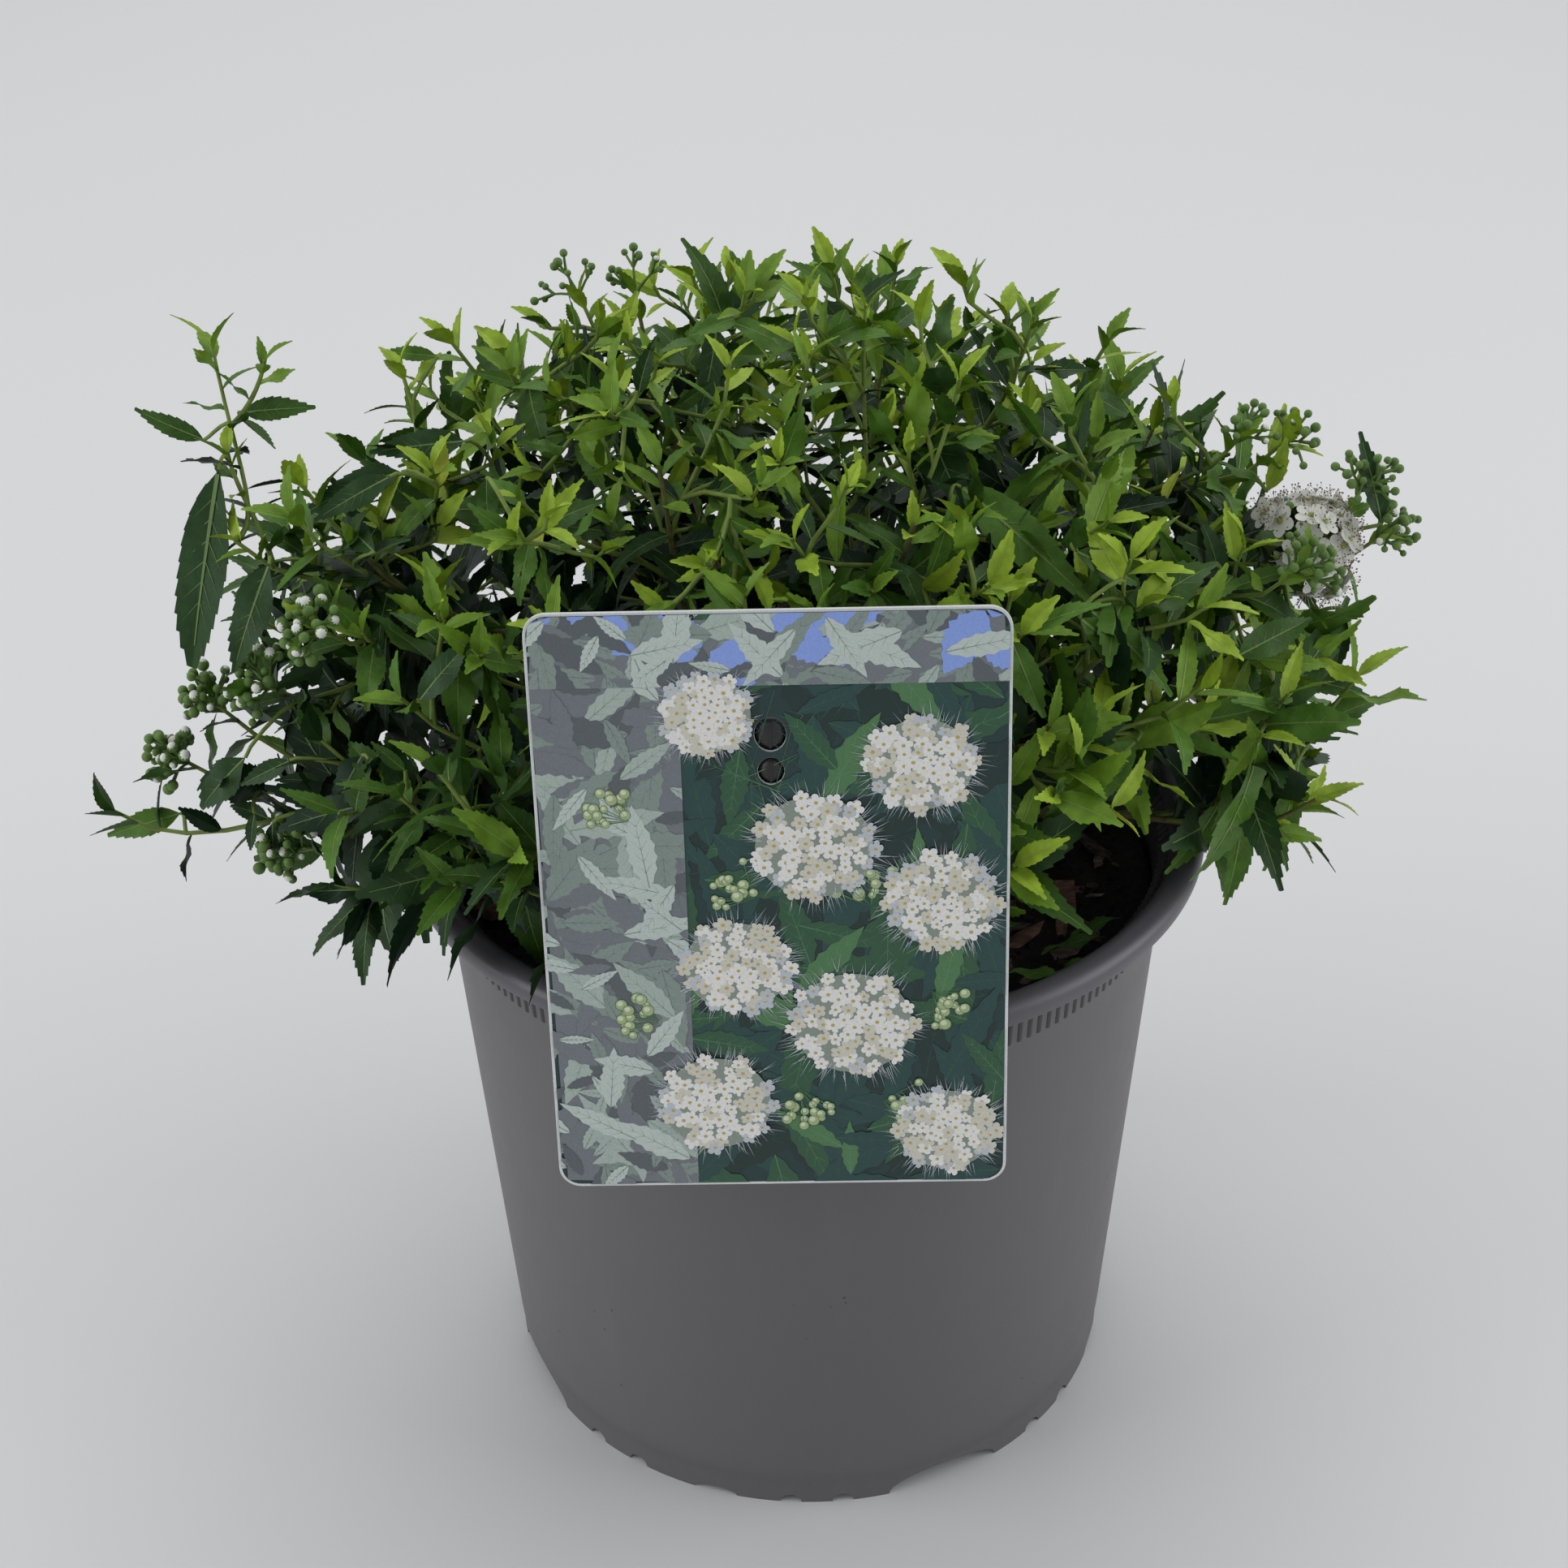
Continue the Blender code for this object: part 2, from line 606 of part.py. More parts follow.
class Surroundings:
    """What a twig or a leaf may not touch: the other masses' spaces, the limbs, pot, soil and label."""

    def __init__(self, boughs):
        self.sites = np.array([bough.site for bough in boughs])
        starts = [point for bough in boughs for point in bough.points[:-1]]
        ends = [point for bough in boughs for point in bough.points[1:]]
        self.starts = np.array(starts)
        self.spans = np.array(ends) - self.starts
        self.lengths = (self.spans**2).sum(axis=1)
        self.radii = np.array([radius for bough in boughs for radius in bough.radii[:-1]])
        self.to_label = np.array(label_frame().inverted())
        self.to_holder = np.array(holder_matrix().inverted())

    def in_space(self, points, own, margin):
        others = np.delete(self.sites, own, axis=0)
        across = others - self.sites[own]
        distance = np.linalg.norm(across, axis=1)
        middle = (others + self.sites[own]) / 2
        beyond = ((points[:, None] - middle) * across).sum(axis=2) / distance
        return beyond.max(axis=1) < -margin

    def off_limbs(self, points, margin):
        offset = points[:, None] - self.starts
        share = np.clip((offset * self.spans).sum(axis=2) / self.lengths, 0.0, 1.0)
        away = np.linalg.norm(offset - share[..., None] * self.spans, axis=2)
        return (away - self.radii).min(axis=1) > margin

    def off_pot(self, points, margin):
        out = np.hypot(points[:, 0], points[:, 1])
        height = points[:, 2]
        lip_inner = RIM_INNER_RADIUS - LIP_UNDERCUT
        inner = np.where(height > NECK_HEIGHT, lip_inner, inner_wall_radius(height))
        in_wall = (height < POT_HEIGHT + margin) & (out > inner - margin)
        in_wall &= out < RIM_RADIUS + margin
        in_soil = (out < inner) & (height < SOIL_LEVEL + SOIL_UNEVENNESS + margin)
        on_knob = np.linalg.norm(points - np.array(KNOB_CENTRE), axis=1) < KNOB_RADIUS + margin
        return ~(in_wall | in_soil | on_knob)

    def off_label(self, points, margin):
        whole = np.column_stack([points, np.ones(len(points))])
        local = (whole @ self.to_label.T)[:, :3]
        behind = (np.abs(local[:, 0]) < LABEL_WIDTH / 2 + margin) & (local[:, 2] > -margin)
        behind &= np.abs(local[:, 1]) < LABEL_HEIGHT / 2 + margin
        local = np.abs((whole @ self.to_holder.T)[:, :3])
        on_blade = local[:, 0] < HOLDER_WIDTH / 2 + margin
        on_blade &= local[:, 1] < HOLDER_THICKNESS / 2 + margin
        on_blade &= local[:, 2] < (HOLDER_TOP - HOLDER_FOOT) / 2 + margin
        return ~(behind | on_blade)

    def allows(self, points, own, corners=None):
        """Which points are free. The corners, where given, have to keep to the mass's own space too."""
        held = points if corners is None else corners
        if not self.in_space(held, own, SPACE_MARGIN).all():
            return np.zeros(len(points), bool)
        free = self.off_limbs(points, LIMB_MARGIN)
        return free & self.off_pot(points, FIXED_MARGIN) & self.off_label(points, FIXED_MARGIN)


def small_ball(sides):
    bm = bmesh.new()
    bmesh.ops.create_uvsphere(bm, u_segments=sides, v_segments=2, radius=1.0)
    return bm


def leaf_blade():
    """One leaf of unit length along +X: six corners, widest below its middle, keeled along its midrib."""
    bm = small_ball(4)
    for vert in bm.verts:
        along, across, out = vert.co
        if abs(along) > 0.5:
            vert.co = (0.0, 0.0, 0.0) if along < 0 else (1.0, 0.0, LEAF_DROOP)
        elif abs(across) > 0.5:
            vert.co = (LEAF_WIDEST, across * LEAF_WIDTH / 2, LEAF_FOLD)
        else:
            vert.co = (LEAF_WIDEST, 0.0, out * LEAF_THICKNESS / 2)
    return mesh_from_bmesh("leaf_blade", bm)


def floret():
    """An open flower of unit radius, five-sided and flat."""
    bm = small_ball(5)
    bmesh.ops.scale(bm, verts=bm.verts, vec=(1.0, 1.0, 0.35))
    return mesh_from_bmesh("floret", bm)


def ball_samples():
    """Places on the unit ball that have to be clear of everything."""
    return np.vstack([np.zeros(3), np.eye(3), -np.eye(3)])


def leaf_samples():
    """Places on the unit leaf that have to be clear of everything."""
    half = LEAF_WIDTH / 2
    rows = ((0.12, 0.0), (0.25, 0.55), (LEAF_WIDEST, 1.0), (0.62, 0.6), (0.82, 0.3), (1.0, 0.0))
    places = []
    for along, share in rows:
        fold = LEAF_FOLD * share
        droop = LEAF_DROOP * max(0.0, along - LEAF_WIDEST) / (1 - LEAF_WIDEST)
        for side in (-1, -0.5, 0, 0.5, 1) if share else (0,):
            places.append((along, side * share * half, fold * abs(side) + droop))
    return np.array(places)


def frame_along(ahead, face):
    """Axes with +X ahead and +Z as near to the given facing as can be."""
    ahead = ahead.normalized()
    side = face.cross(ahead)
    if side.length < 1e-4:
        side = Vector((1, 0, 0)).cross(ahead)
    side.normalize()
    return Matrix((ahead, side, ahead.cross(side))).transposed()


class Mass:
    """One mass of leafy shoots: a stem that carries on from its bough, its twigs, leaves and buds."""

    def __init__(self, bough, own, surroundings, shapes, guides):
        self.bough = bough
        self.own = own
        self.around = surroundings
        self.shapes = shapes
        self.guides = guides
        self.random = random.Random(1000 + own)
        self.twigs = []
        self.kept = np.zeros((0, 3))
        self.samples = leaf_samples()

    def curve_between(self, start, ahead, end, pull):
        """Points of a bend that leaves the start along a direction and turns up towards its end."""
        length = (end - start).length
        upward = ((end - HEART).normalized() + Vector((0, 0, 1))).normalized()
        last = end - upward * length * TWIG_TIP_PULL
        return bend(start, start + ahead * length * pull, last, end, TWIG_POINTS)

    def trimmed(self, points, limb_margin=TWIG_MARGIN, kept=1):
        """The stretch of a twig that is free all the way, past its first points, which are kept."""
        checks = 5
        for before, after in zip(points[kept - 1 :], points[kept:]):
            places = np.array([before.lerp(after, (step + 1) / checks) for step in range(checks)])
            free = self.around.in_space(places, self.own, TWIG_MARGIN)
            free &= self.around.off_pot(places, FIXED_MARGIN)
            free &= self.around.off_label(places, FIXED_MARGIN)
            free &= self.around.off_limbs(places, limb_margin)
            if not free.all():
                break
            kept += 1
        return points[:kept]

    def add_twig(self, points, base_radius, tip_radius):
        twig = bpy.data.curves.new(f"twig_{self.bough.name}", "CURVE")
        twig.dimensions = "3D"
        twig.bevel_mode = "OBJECT"
        twig.bevel_object = self.guides["triangle"]
        twig.use_fill_caps = True
        spline = twig.splines.new("POLY")
        spline.points.add(len(points) - 1)
        for number, (corner, co) in enumerate(zip(spline.points, points)):
            corner.co = (*co, 1.0)
            share = number / (len(points) - 1)
            corner.radius = base_radius + (tip_radius - base_radius) * share
        made = place(f"twig_{self.bough.name}", twig, self.guides["workshop"])
        self.twigs.append(made)

    def add_piece(self, shape, matrix, size, samples, corners=None):
        """Keeps a leaf or a head of a cluster if it is clear of everything."""
        turn = np.array(matrix.to_3x3()) * np.array(size)
        origin = np.array(matrix.to_translation())
        places = samples @ turn.T + origin
        held = places if corners is None else corners @ turn.T + origin
        if not self.around.allows(places, self.own, held).all():
            return False
        made = place(shape.name, shape, self.guides["union"])
        made.matrix_world = matrix @ Matrix.Diagonal((*size, 1.0))
        return True

    def add_leaf(self, root, ahead, face, length):
        """Keeps a leaf if it is clear of everything, and of the leaves that this mass has."""
        matrix = Matrix.Translation(root) @ frame_along(ahead, face).to_4x4()
        corners = np.array([vert.co for vert in self.shapes[LEAFY].vertices])
        turn = np.array(matrix.to_3x3()) * length
        places = self.samples @ turn.T + np.array(root)
        outer = places[1:]
        if len(self.kept):
            near = np.linalg.norm(outer[:, None] - self.kept, axis=2).min()
            if near < LEAF_MARGIN:
                return False
        size = (length, length, length)
        if self.add_piece(self.shapes[LEAFY], matrix, size, self.samples, corners):
            self.kept = np.concatenate([self.kept, outer])
            return True
        return False

    def leaves_along(self, points, count):
        """Leaves in a spiral, long and spreading below, short and upright at the tip."""
        turn = self.random.uniform(0, math.tau)
        spans = [(b - a).length for a, b in zip(points, points[1:])]
        total = sum(spans)
        for number in range(count):
            share = LEAVES_FROM + (LEAVES_TO - LEAVES_FROM) * number / (count - 1)
            walk = share * total
            segment = 0
            while segment < len(spans) - 1 and walk > spans[segment]:
                walk -= spans[segment]
                segment += 1
            along = (points[segment + 1] - points[segment]).normalized()
            root = points[segment] + along * min(walk, spans[segment] * 0.98)
            length = LEAF_LONG + (LEAF_SHORT - LEAF_LONG) * share**1.3
            length *= self.random.uniform(0.88, 1.12)
            spread = math.radians(SPREAD_BELOW + (SPREAD_AT_TIP - SPREAD_BELOW) * share)
            for attempt in range(LEAF_TRIES):
                side = along.orthogonal().normalized()
                side.rotate(Matrix.Rotation(turn + attempt * 1.1, 3, along))
                ahead = along * math.cos(spread) + side * math.sin(spread)
                face = along * 0.8 + Vector((0, 0, 0.5)) - side * 0.3
                scale = 1.0 if attempt < 2 else 0.78
                if self.add_leaf(root - ahead * ROOT_DEPTH, ahead, face, length * scale):
                    break
            turn += GOLDEN_ANGLE

    def add_reaching_leaf(self, tip, twigs):
        """One long leaf from the nearest twig to a given tip, if the tip lies in this mass's space."""
        if not self.around.in_space(np.array([tip]), self.own, SPACE_MARGIN).all():
            return
        roots = []
        for points in twigs:
            for before, after in zip(points[1:], points[2:]):
                roots += [before.lerp(after, share) for share in (0.1, 0.3, 0.5, 0.7, 0.9)]
        in_reach = [r for r in roots if REACHING_SHORTEST < (tip - r).length < REACHING_LONGEST]
        for root in sorted(in_reach, key=lambda spot: (tip - spot).length):
            ahead = tip - root
            face = Vector((0, 0, 1)) + (root - HEART).normalized() * 0.6
            if self.add_leaf(root - ahead.normalized() * ROOT_DEPTH, ahead, face, ahead.length):
                return

    def add_cluster(self, tip, ahead, kind):
        """A dome of buds or open flowers at a shoot's tip, set round a core that the tip runs into."""
        heads, core, head_radius = CLUSTERS[kind]
        head = self.shapes[kind]
        axes = ahead.to_track_quat("Z", "Y").to_matrix().to_4x4()
        middle = tip + ahead * core * 0.6
        at_middle = Matrix.Translation(middle) @ axes
        samples = ball_samples()
        if not self.add_piece(self.shapes[BUDS], at_middle, (core, core, core), samples):
            return
        turn = self.random.uniform(0, math.tau)
        for number in range(heads):
            lean = math.radians(95) * math.sqrt((number + 0.3) / heads)
            side = ahead.orthogonal().normalized()
            side.rotate(Matrix.Rotation(turn + number * GOLDEN_ANGLE, 3, ahead))
            out = (ahead * math.cos(lean) + side * math.sin(lean)).normalized()
            outward = out.to_track_quat("Z", "Y").to_matrix().to_4x4()
            at_head = Matrix.Translation(middle + out * core * 0.93) @ outward
            size = (head_radius, head_radius, head_radius)
            self.add_piece(head, at_head, size, samples)

    def grow(self, targets):
        """The stem to the first target, and a twig to each of the others."""
        stem_start = self.bough.tip + self.bough.ahead * GAP
        lead = min(targets, key=lambda target: (target[0] - self.bough.site).length)
        collar = stem_start + self.bough.ahead * STEM_COLLAR
        bent = self.curve_between(collar, self.bough.ahead, lead[0], STEM_FOOT_PULL)
        stem = [stem_start, *bent]
        stem = self.trimmed(stem, 0.0, 2)
        self.add_twig(stem, STEM_RADIUS, STEM_TIP_RADIUS)
        grown = [(stem, LEAVES_ON_STEM, lead[1])]
        axis = stem[-1] - stem[0]
        for target in targets:
            if target is lead:
                continue
            end, kind = target
            share = (end - stem[0]).dot(axis) / axis.length_squared - TWIG_HEAD_START
            share = min(HIGHEST_TWIG, max(LOWEST_TWIG, share))
            place_on = share * (len(stem) - 1)
            segment = min(int(place_on), len(stem) - 2)
            along = stem[segment + 1] - stem[segment]
            start = stem[segment] + along * (place_on - segment)
            along.normalize()
            toward = (end - start).normalized()
            leaving = (along + toward).normalized()
            points = self.trimmed(self.curve_between(start, leaving, end, TWIG_FOOT_PULL))
            if len(points) > 2:
                self.add_twig(points, TWIG_RADIUS, TWIG_TIP_RADIUS)
                grown.append((points, LEAVES_ON_TWIG, kind))
        for azimuth, elevation, reach in REACHING_TIPS:
            tip = crown_point(math.radians(azimuth), math.radians(elevation), reach)
            self.add_reaching_leaf(tip, [points for points, *_ in grown])
        for points, count, kind in grown:
            ahead = (points[-1] - points[-2]).normalized()
            if kind != LEAFY:
                self.add_cluster(points[-1], ahead, kind)
            self.leaves_along(points, count)

    def fused(self, collection, finish):
        """Joins stem, twigs, leaves and buds into one closed body."""
        meshes = [baked(twig) for twig in self.twigs]
        for twig in self.twigs:
            bpy.data.objects.remove(twig, do_unlink=True)
        name = f"foliage_{self.bough.name}"
        mass = place(name, meshes[0], collection, finish)
        for mesh in meshes[1:]:
            place("twig", mesh, self.guides["union"])
        union = boolean(mass, "UNION", self.guides["union"], "MANIFOLD")
        mesh = baked(mass)
        mass.modifiers.remove(union)
        mass.data = mesh
        mesh.name = name
        for piece in list(self.guides["union"].objects):
            bpy.data.objects.remove(piece, do_unlink=True)
        drop_loose(mesh)
        return mass


def drop_loose(mesh):
    """Leaves only the largest shell: a scrap goes, and the wall of a sealed hollow goes, which fills it."""
    bm = bmesh.new()
    bm.from_mesh(mesh)
    left = set(bm.faces)
    shells = []
    while left:
        shell = set()
        edge = [left.pop()]
        while edge:
            face = edge.pop()
            shell.add(face)
            for neighbour in (f for e in face.edges for f in e.link_faces):
                if neighbour in left:
                    left.remove(neighbour)
                    edge.append(neighbour)
        shells.append(shell)
    largest = max(shells, key=len)
    extra = [face for shell in shells if shell is not largest for face in shell]
    bmesh.ops.delete(bm, geom=extra, context="FACES")
    bm.to_mesh(mesh)
    bm.free()


def shoot_targets():
    """Where shoots end: evenly over the dome by the golden angle, and those that stand out of it."""
    chance = random.Random(7)
    targets = []
    for azimuth, elevation, reach, kind in STANDING_OUT:
        targets.append((crown_point(math.radians(azimuth), math.radians(elevation), reach), kind))
    number = 0
    while len(targets) < CROWN_SHOOTS + len(STANDING_OUT):
        azimuth = number * GOLDEN_ANGLE + chance.uniform(-AZIMUTH_SHAKE, AZIMUTH_SHAKE)
        level = 1 - LATTICE_SPAN * (number + 0.5) / CROWN_SHOOTS
        number += 1
        if level < -1:
            break
        elevation = math.asin(level) + chance.uniform(-ELEVATION_SHAKE, ELEVATION_SHAKE)
        front = (1 - math.sin(azimuth)) / 2
        if elevation < LOWEST_AT_BACK + (LOWEST_AT_FRONT - LOWEST_AT_BACK) * front:
            continue
        end = crown_point(azimuth, elevation, chance.uniform(SHORTEST_REACH, 1.0))
        if all((end - other).length > SHOOT_SPACING for other, _ in targets):
            targets.append((end, LEAFY))
    return targets


def triangle_guide(guides):
    """The three-sided section that every twig has."""
    curve = bpy.data.curves.new("twig_section", "CURVE")
    curve.dimensions = "2D"
    turns = [math.tau * side / 3 for side in range(3)]
    closed_outline(curve, [(math.cos(turn), math.sin(turn)) for turn in turns])
    return as_helper(place("twig_section", curve, guides))


def build_crown(collection):
    boughs = all_boughs()
    bark = material("bough_bark", (0.16, 0.115, 0.055), 0.8)
    for bough in boughs:
        bough.build(collection, bark)
    guides = new_collection("guides", hidden=True)
    tools = {
        "triangle": triangle_guide(guides),
        "workshop": new_collection("workshop", hidden=True),
        "union": new_collection("mass_pieces", hidden=True),
    }
    shapes = {
        LEAFY: leaf_blade(),
        BUDS: mesh_from_bmesh("bud", small_ball(4)),
        FLOWERS: floret(),
    }
    around = Surroundings(boughs)
    targets = shoot_targets()
    ends = np.array([end for end, _ in targets])
    nearest = np.linalg.norm(ends[:, None] - around.sites, axis=2).argmin(axis=1)
    green = material("leaf_green", (0.095, 0.22, 0.035), 0.5)
    for own, bough in enumerate(boughs):
        mass = Mass(bough, own, around, shapes, tools)
        mass.grow([target for target, near in zip(targets, nearest) if near == own])
        mass.fused(collection, green)


def main():
    clear_scene()
    collection = new_collection(COLLECTION)
    cutters = new_collection("cutters", hidden=True)
    build_pot(collection)
    slot = build_holder(collection, cutters)
    build_soil(collection, slot)
    build_label(collection)
    build_root_crown(collection)
    build_crown(collection)


if __name__ == "__main__":
    main()
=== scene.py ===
"""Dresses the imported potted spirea: pot, soil, picture label, stems, shoots, leaves and blossom."""

from __future__ import annotations

import json
import logging
import math
import random
from collections.abc import Iterable, Iterator, Sequence
from contextlib import contextmanager
from dataclasses import dataclass, field
from enum import Enum
from functools import cache
from itertools import pairwise

import bmesh
import bpy
import numpy as np
from mathutils import Matrix, Quaternion, Vector, noise

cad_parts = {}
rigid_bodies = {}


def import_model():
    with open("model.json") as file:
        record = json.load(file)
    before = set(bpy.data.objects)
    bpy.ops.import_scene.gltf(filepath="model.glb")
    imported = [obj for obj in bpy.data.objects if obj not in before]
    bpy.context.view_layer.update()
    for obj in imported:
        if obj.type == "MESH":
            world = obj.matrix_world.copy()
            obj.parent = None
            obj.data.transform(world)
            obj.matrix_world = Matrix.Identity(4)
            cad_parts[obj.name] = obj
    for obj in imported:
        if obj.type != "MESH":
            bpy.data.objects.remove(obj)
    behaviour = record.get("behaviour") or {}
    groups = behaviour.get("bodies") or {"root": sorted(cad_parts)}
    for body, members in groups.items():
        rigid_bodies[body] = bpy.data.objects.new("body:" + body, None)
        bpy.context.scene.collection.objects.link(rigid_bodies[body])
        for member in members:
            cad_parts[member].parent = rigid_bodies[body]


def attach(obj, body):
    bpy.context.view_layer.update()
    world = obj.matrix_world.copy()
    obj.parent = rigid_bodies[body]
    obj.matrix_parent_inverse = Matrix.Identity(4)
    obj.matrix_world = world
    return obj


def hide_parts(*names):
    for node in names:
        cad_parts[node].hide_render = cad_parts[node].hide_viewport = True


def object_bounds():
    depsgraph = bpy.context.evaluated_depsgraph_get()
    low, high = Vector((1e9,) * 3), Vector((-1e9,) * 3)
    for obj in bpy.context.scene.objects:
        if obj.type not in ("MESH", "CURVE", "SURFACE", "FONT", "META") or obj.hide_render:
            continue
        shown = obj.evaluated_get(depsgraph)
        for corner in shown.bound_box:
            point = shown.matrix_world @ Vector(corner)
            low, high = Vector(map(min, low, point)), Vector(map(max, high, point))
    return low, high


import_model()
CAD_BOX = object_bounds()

log = logging.getLogger("spirea")

Colour = tuple[float, float, float]
Point2 = tuple[float, float]
Point3 = tuple[float, float, float]
Mesh = bpy.types.Mesh

GAP = 0.0003
GOLDEN_ANGLE = math.radians(137.508)
UP = Vector((0.0, 0.0, 1.0))


def clamp(share: float) -> float:
    """A share kept between 0 and 1."""
    return min(1.0, max(0.0, share))


# Nodes: arithmetic on sockets, and one way to add any node


class Value:
    """A node's output that takes part in arithmetic. Each operator adds one Math node."""

    def __init__(self, nodes: Nodes, socket: bpy.types.NodeSocket) -> None:
        """Keeps the output, and the tree's builder for new nodes."""
        self.nodes = nodes
        self.socket = socket

    def math(self, operation: str, *operands: Number) -> Value:
        """A Math node's result."""
        return self.nodes.node("ShaderNodeMath", *operands, settings={"operation": operation})

    def __add__(self, other: Number) -> Value:
        """This plus the other."""
        return self.math("ADD", self, other)

    def __radd__(self, other: Number) -> Value:
        """The other plus this."""
        return self.math("ADD", other, self)

    def __sub__(self, other: Number) -> Value:
        """This less the other."""
        return self.math("SUBTRACT", self, other)

    def __rsub__(self, other: Number) -> Value:
        """The other less this."""
        return self.math("SUBTRACT", other, self)

    def __mul__(self, other: Number) -> Value:
        """This times the other."""
        return self.math("MULTIPLY", self, other)

    def __rmul__(self, other: Number) -> Value:
        """The other times this."""
        return self.math("MULTIPLY", other, self)

    def __neg__(self) -> Value:
        """This with its sign changed."""
        return self.math("MULTIPLY", self, -1.0)

    def between(self, low: float, high: float) -> Value:
        """A smooth step from 0 at the low value to 1 at the high one."""
        kind = {"interpolation_type": "SMOOTHSTEP"}
        return self.nodes.node("ShaderNodeMapRange", self, low, high, settings=kind)


Number = float | Value


class Nodes:
    """Fills a node tree: one method adds any kind of node."""

    def __init__(self, tree: bpy.types.NodeTree) -> None:
        """Keeps the tree."""
        self.tree = tree

    def node(
        self,
        kind: str,
        *first: object,
        settings: dict[str, object] | None = None,
        output: str | int = 0,
        **others: object,
    ) -> Value:
        """Adds a node.

        Args:
            kind: The node's type name.
            first: Numbers, colours, data or links for its first inputs, in order.
            settings: Its own settings, which are set before the inputs.
            output: Which of its outputs is wanted, by name or place.
            others: The same for inputs by name, with underscores for spaces.

        Returns:
            The wanted output.
        """
        made = self.tree.nodes.new(kind)
        for name, setting in (settings or {}).items():
            setattr(made, name, setting)
        for key, value in (*enumerate(first), *others.items()):
            self.feed(self.pick(made.inputs, key), value)
        return Value(self, self.pick(made.outputs, output))

    @staticmethod
    def pick(sockets: Sequence[bpy.types.NodeSocket], key: str | int) -> bpy.types.NodeSocket:
        """The socket at a place, or the one in use that has a name."""
        named = (s for s in sockets if s.enabled and s.name == str(key).replace("_", " "))
        return sockets[key] if isinstance(key, int) else next(named)

    def feed(self, socket: bpy.types.NodeSocket, value: object) -> None:
        """Links a value to an input, or sets the input where the value is plain.

        Args:
            socket: The input.
            value: A node's value, a number, a colour, a vector or data.
        """
        if isinstance(value, Value):
            self.tree.links.new(value.socket, socket)
        else:
            whole = socket.type == "RGBA" and len(value) == 3
            socket.default_value = (*value, 1.0) if whole else value


class Shader(Nodes):
    """The nodes of one material, round its Principled BSDF."""

    def __init__(self, name: str) -> None:
        """Makes the material.

        Args:
            name: The material's name.
        """
        self.material = bpy.data.materials.new(name)
        self.material.use_nodes = True
        super().__init__(self.material.node_tree)
        self.surface = self.tree.nodes["Principled BSDF"]
        self.place = self.node("ShaderNodeTexCoord", output="Object")

    def set(self, **values: object) -> None:
        """Sets the surface's inputs, with underscores in their names for spaces."""
        for name, value in values.items():
            self.feed(self.surface.inputs[name.replace("_", " ")], value)

    def height(self) -> Value:
        """The height of the place on the piece."""
        return self.node("ShaderNodeSeparateXYZ", self.place, output="Z")

    def stretched(self, scale: Sequence[float]) -> Value:
        """The place on the piece, stretched along each axis."""
        return self.node("ShaderNodeMapping", Vector=self.place, Scale=scale)

    def speckle(self, scale: float, detail: float = 2.0, at: Value | None = None) -> Value:
        """Soft noise from 0 to 1, by its waves per metre and the finer waves on them."""
        where = at or self.place
        return self.node("ShaderNodeTexNoise", Vector=where, Scale=scale, Detail=detail)

    def cells(self, scale: float) -> Value:
        """Distance to the middle of the nearest of many cells."""
        return self.node("ShaderNodeTexVoronoi", Vector=self.place, Scale=scale)

    def mix(self, share: Number, first: object, second: object) -> Value:
        """A colour between two, by the second one's share."""
        values = {"Factor": share, "A": first, "B": second, "output": "Result"}
        return self.node("ShaderNodeMix", settings={"data_type": "RGBA"}, **values)

    def bump(self, height: Value, strength: float, depth: float) -> None:
        """Roughens the surface by a height from 0 to 1 that stands for a depth in metres."""
        relief = self.node("ShaderNodeBump", Height=height, Strength=strength, Distance=depth)
        self.set(Normal=relief)


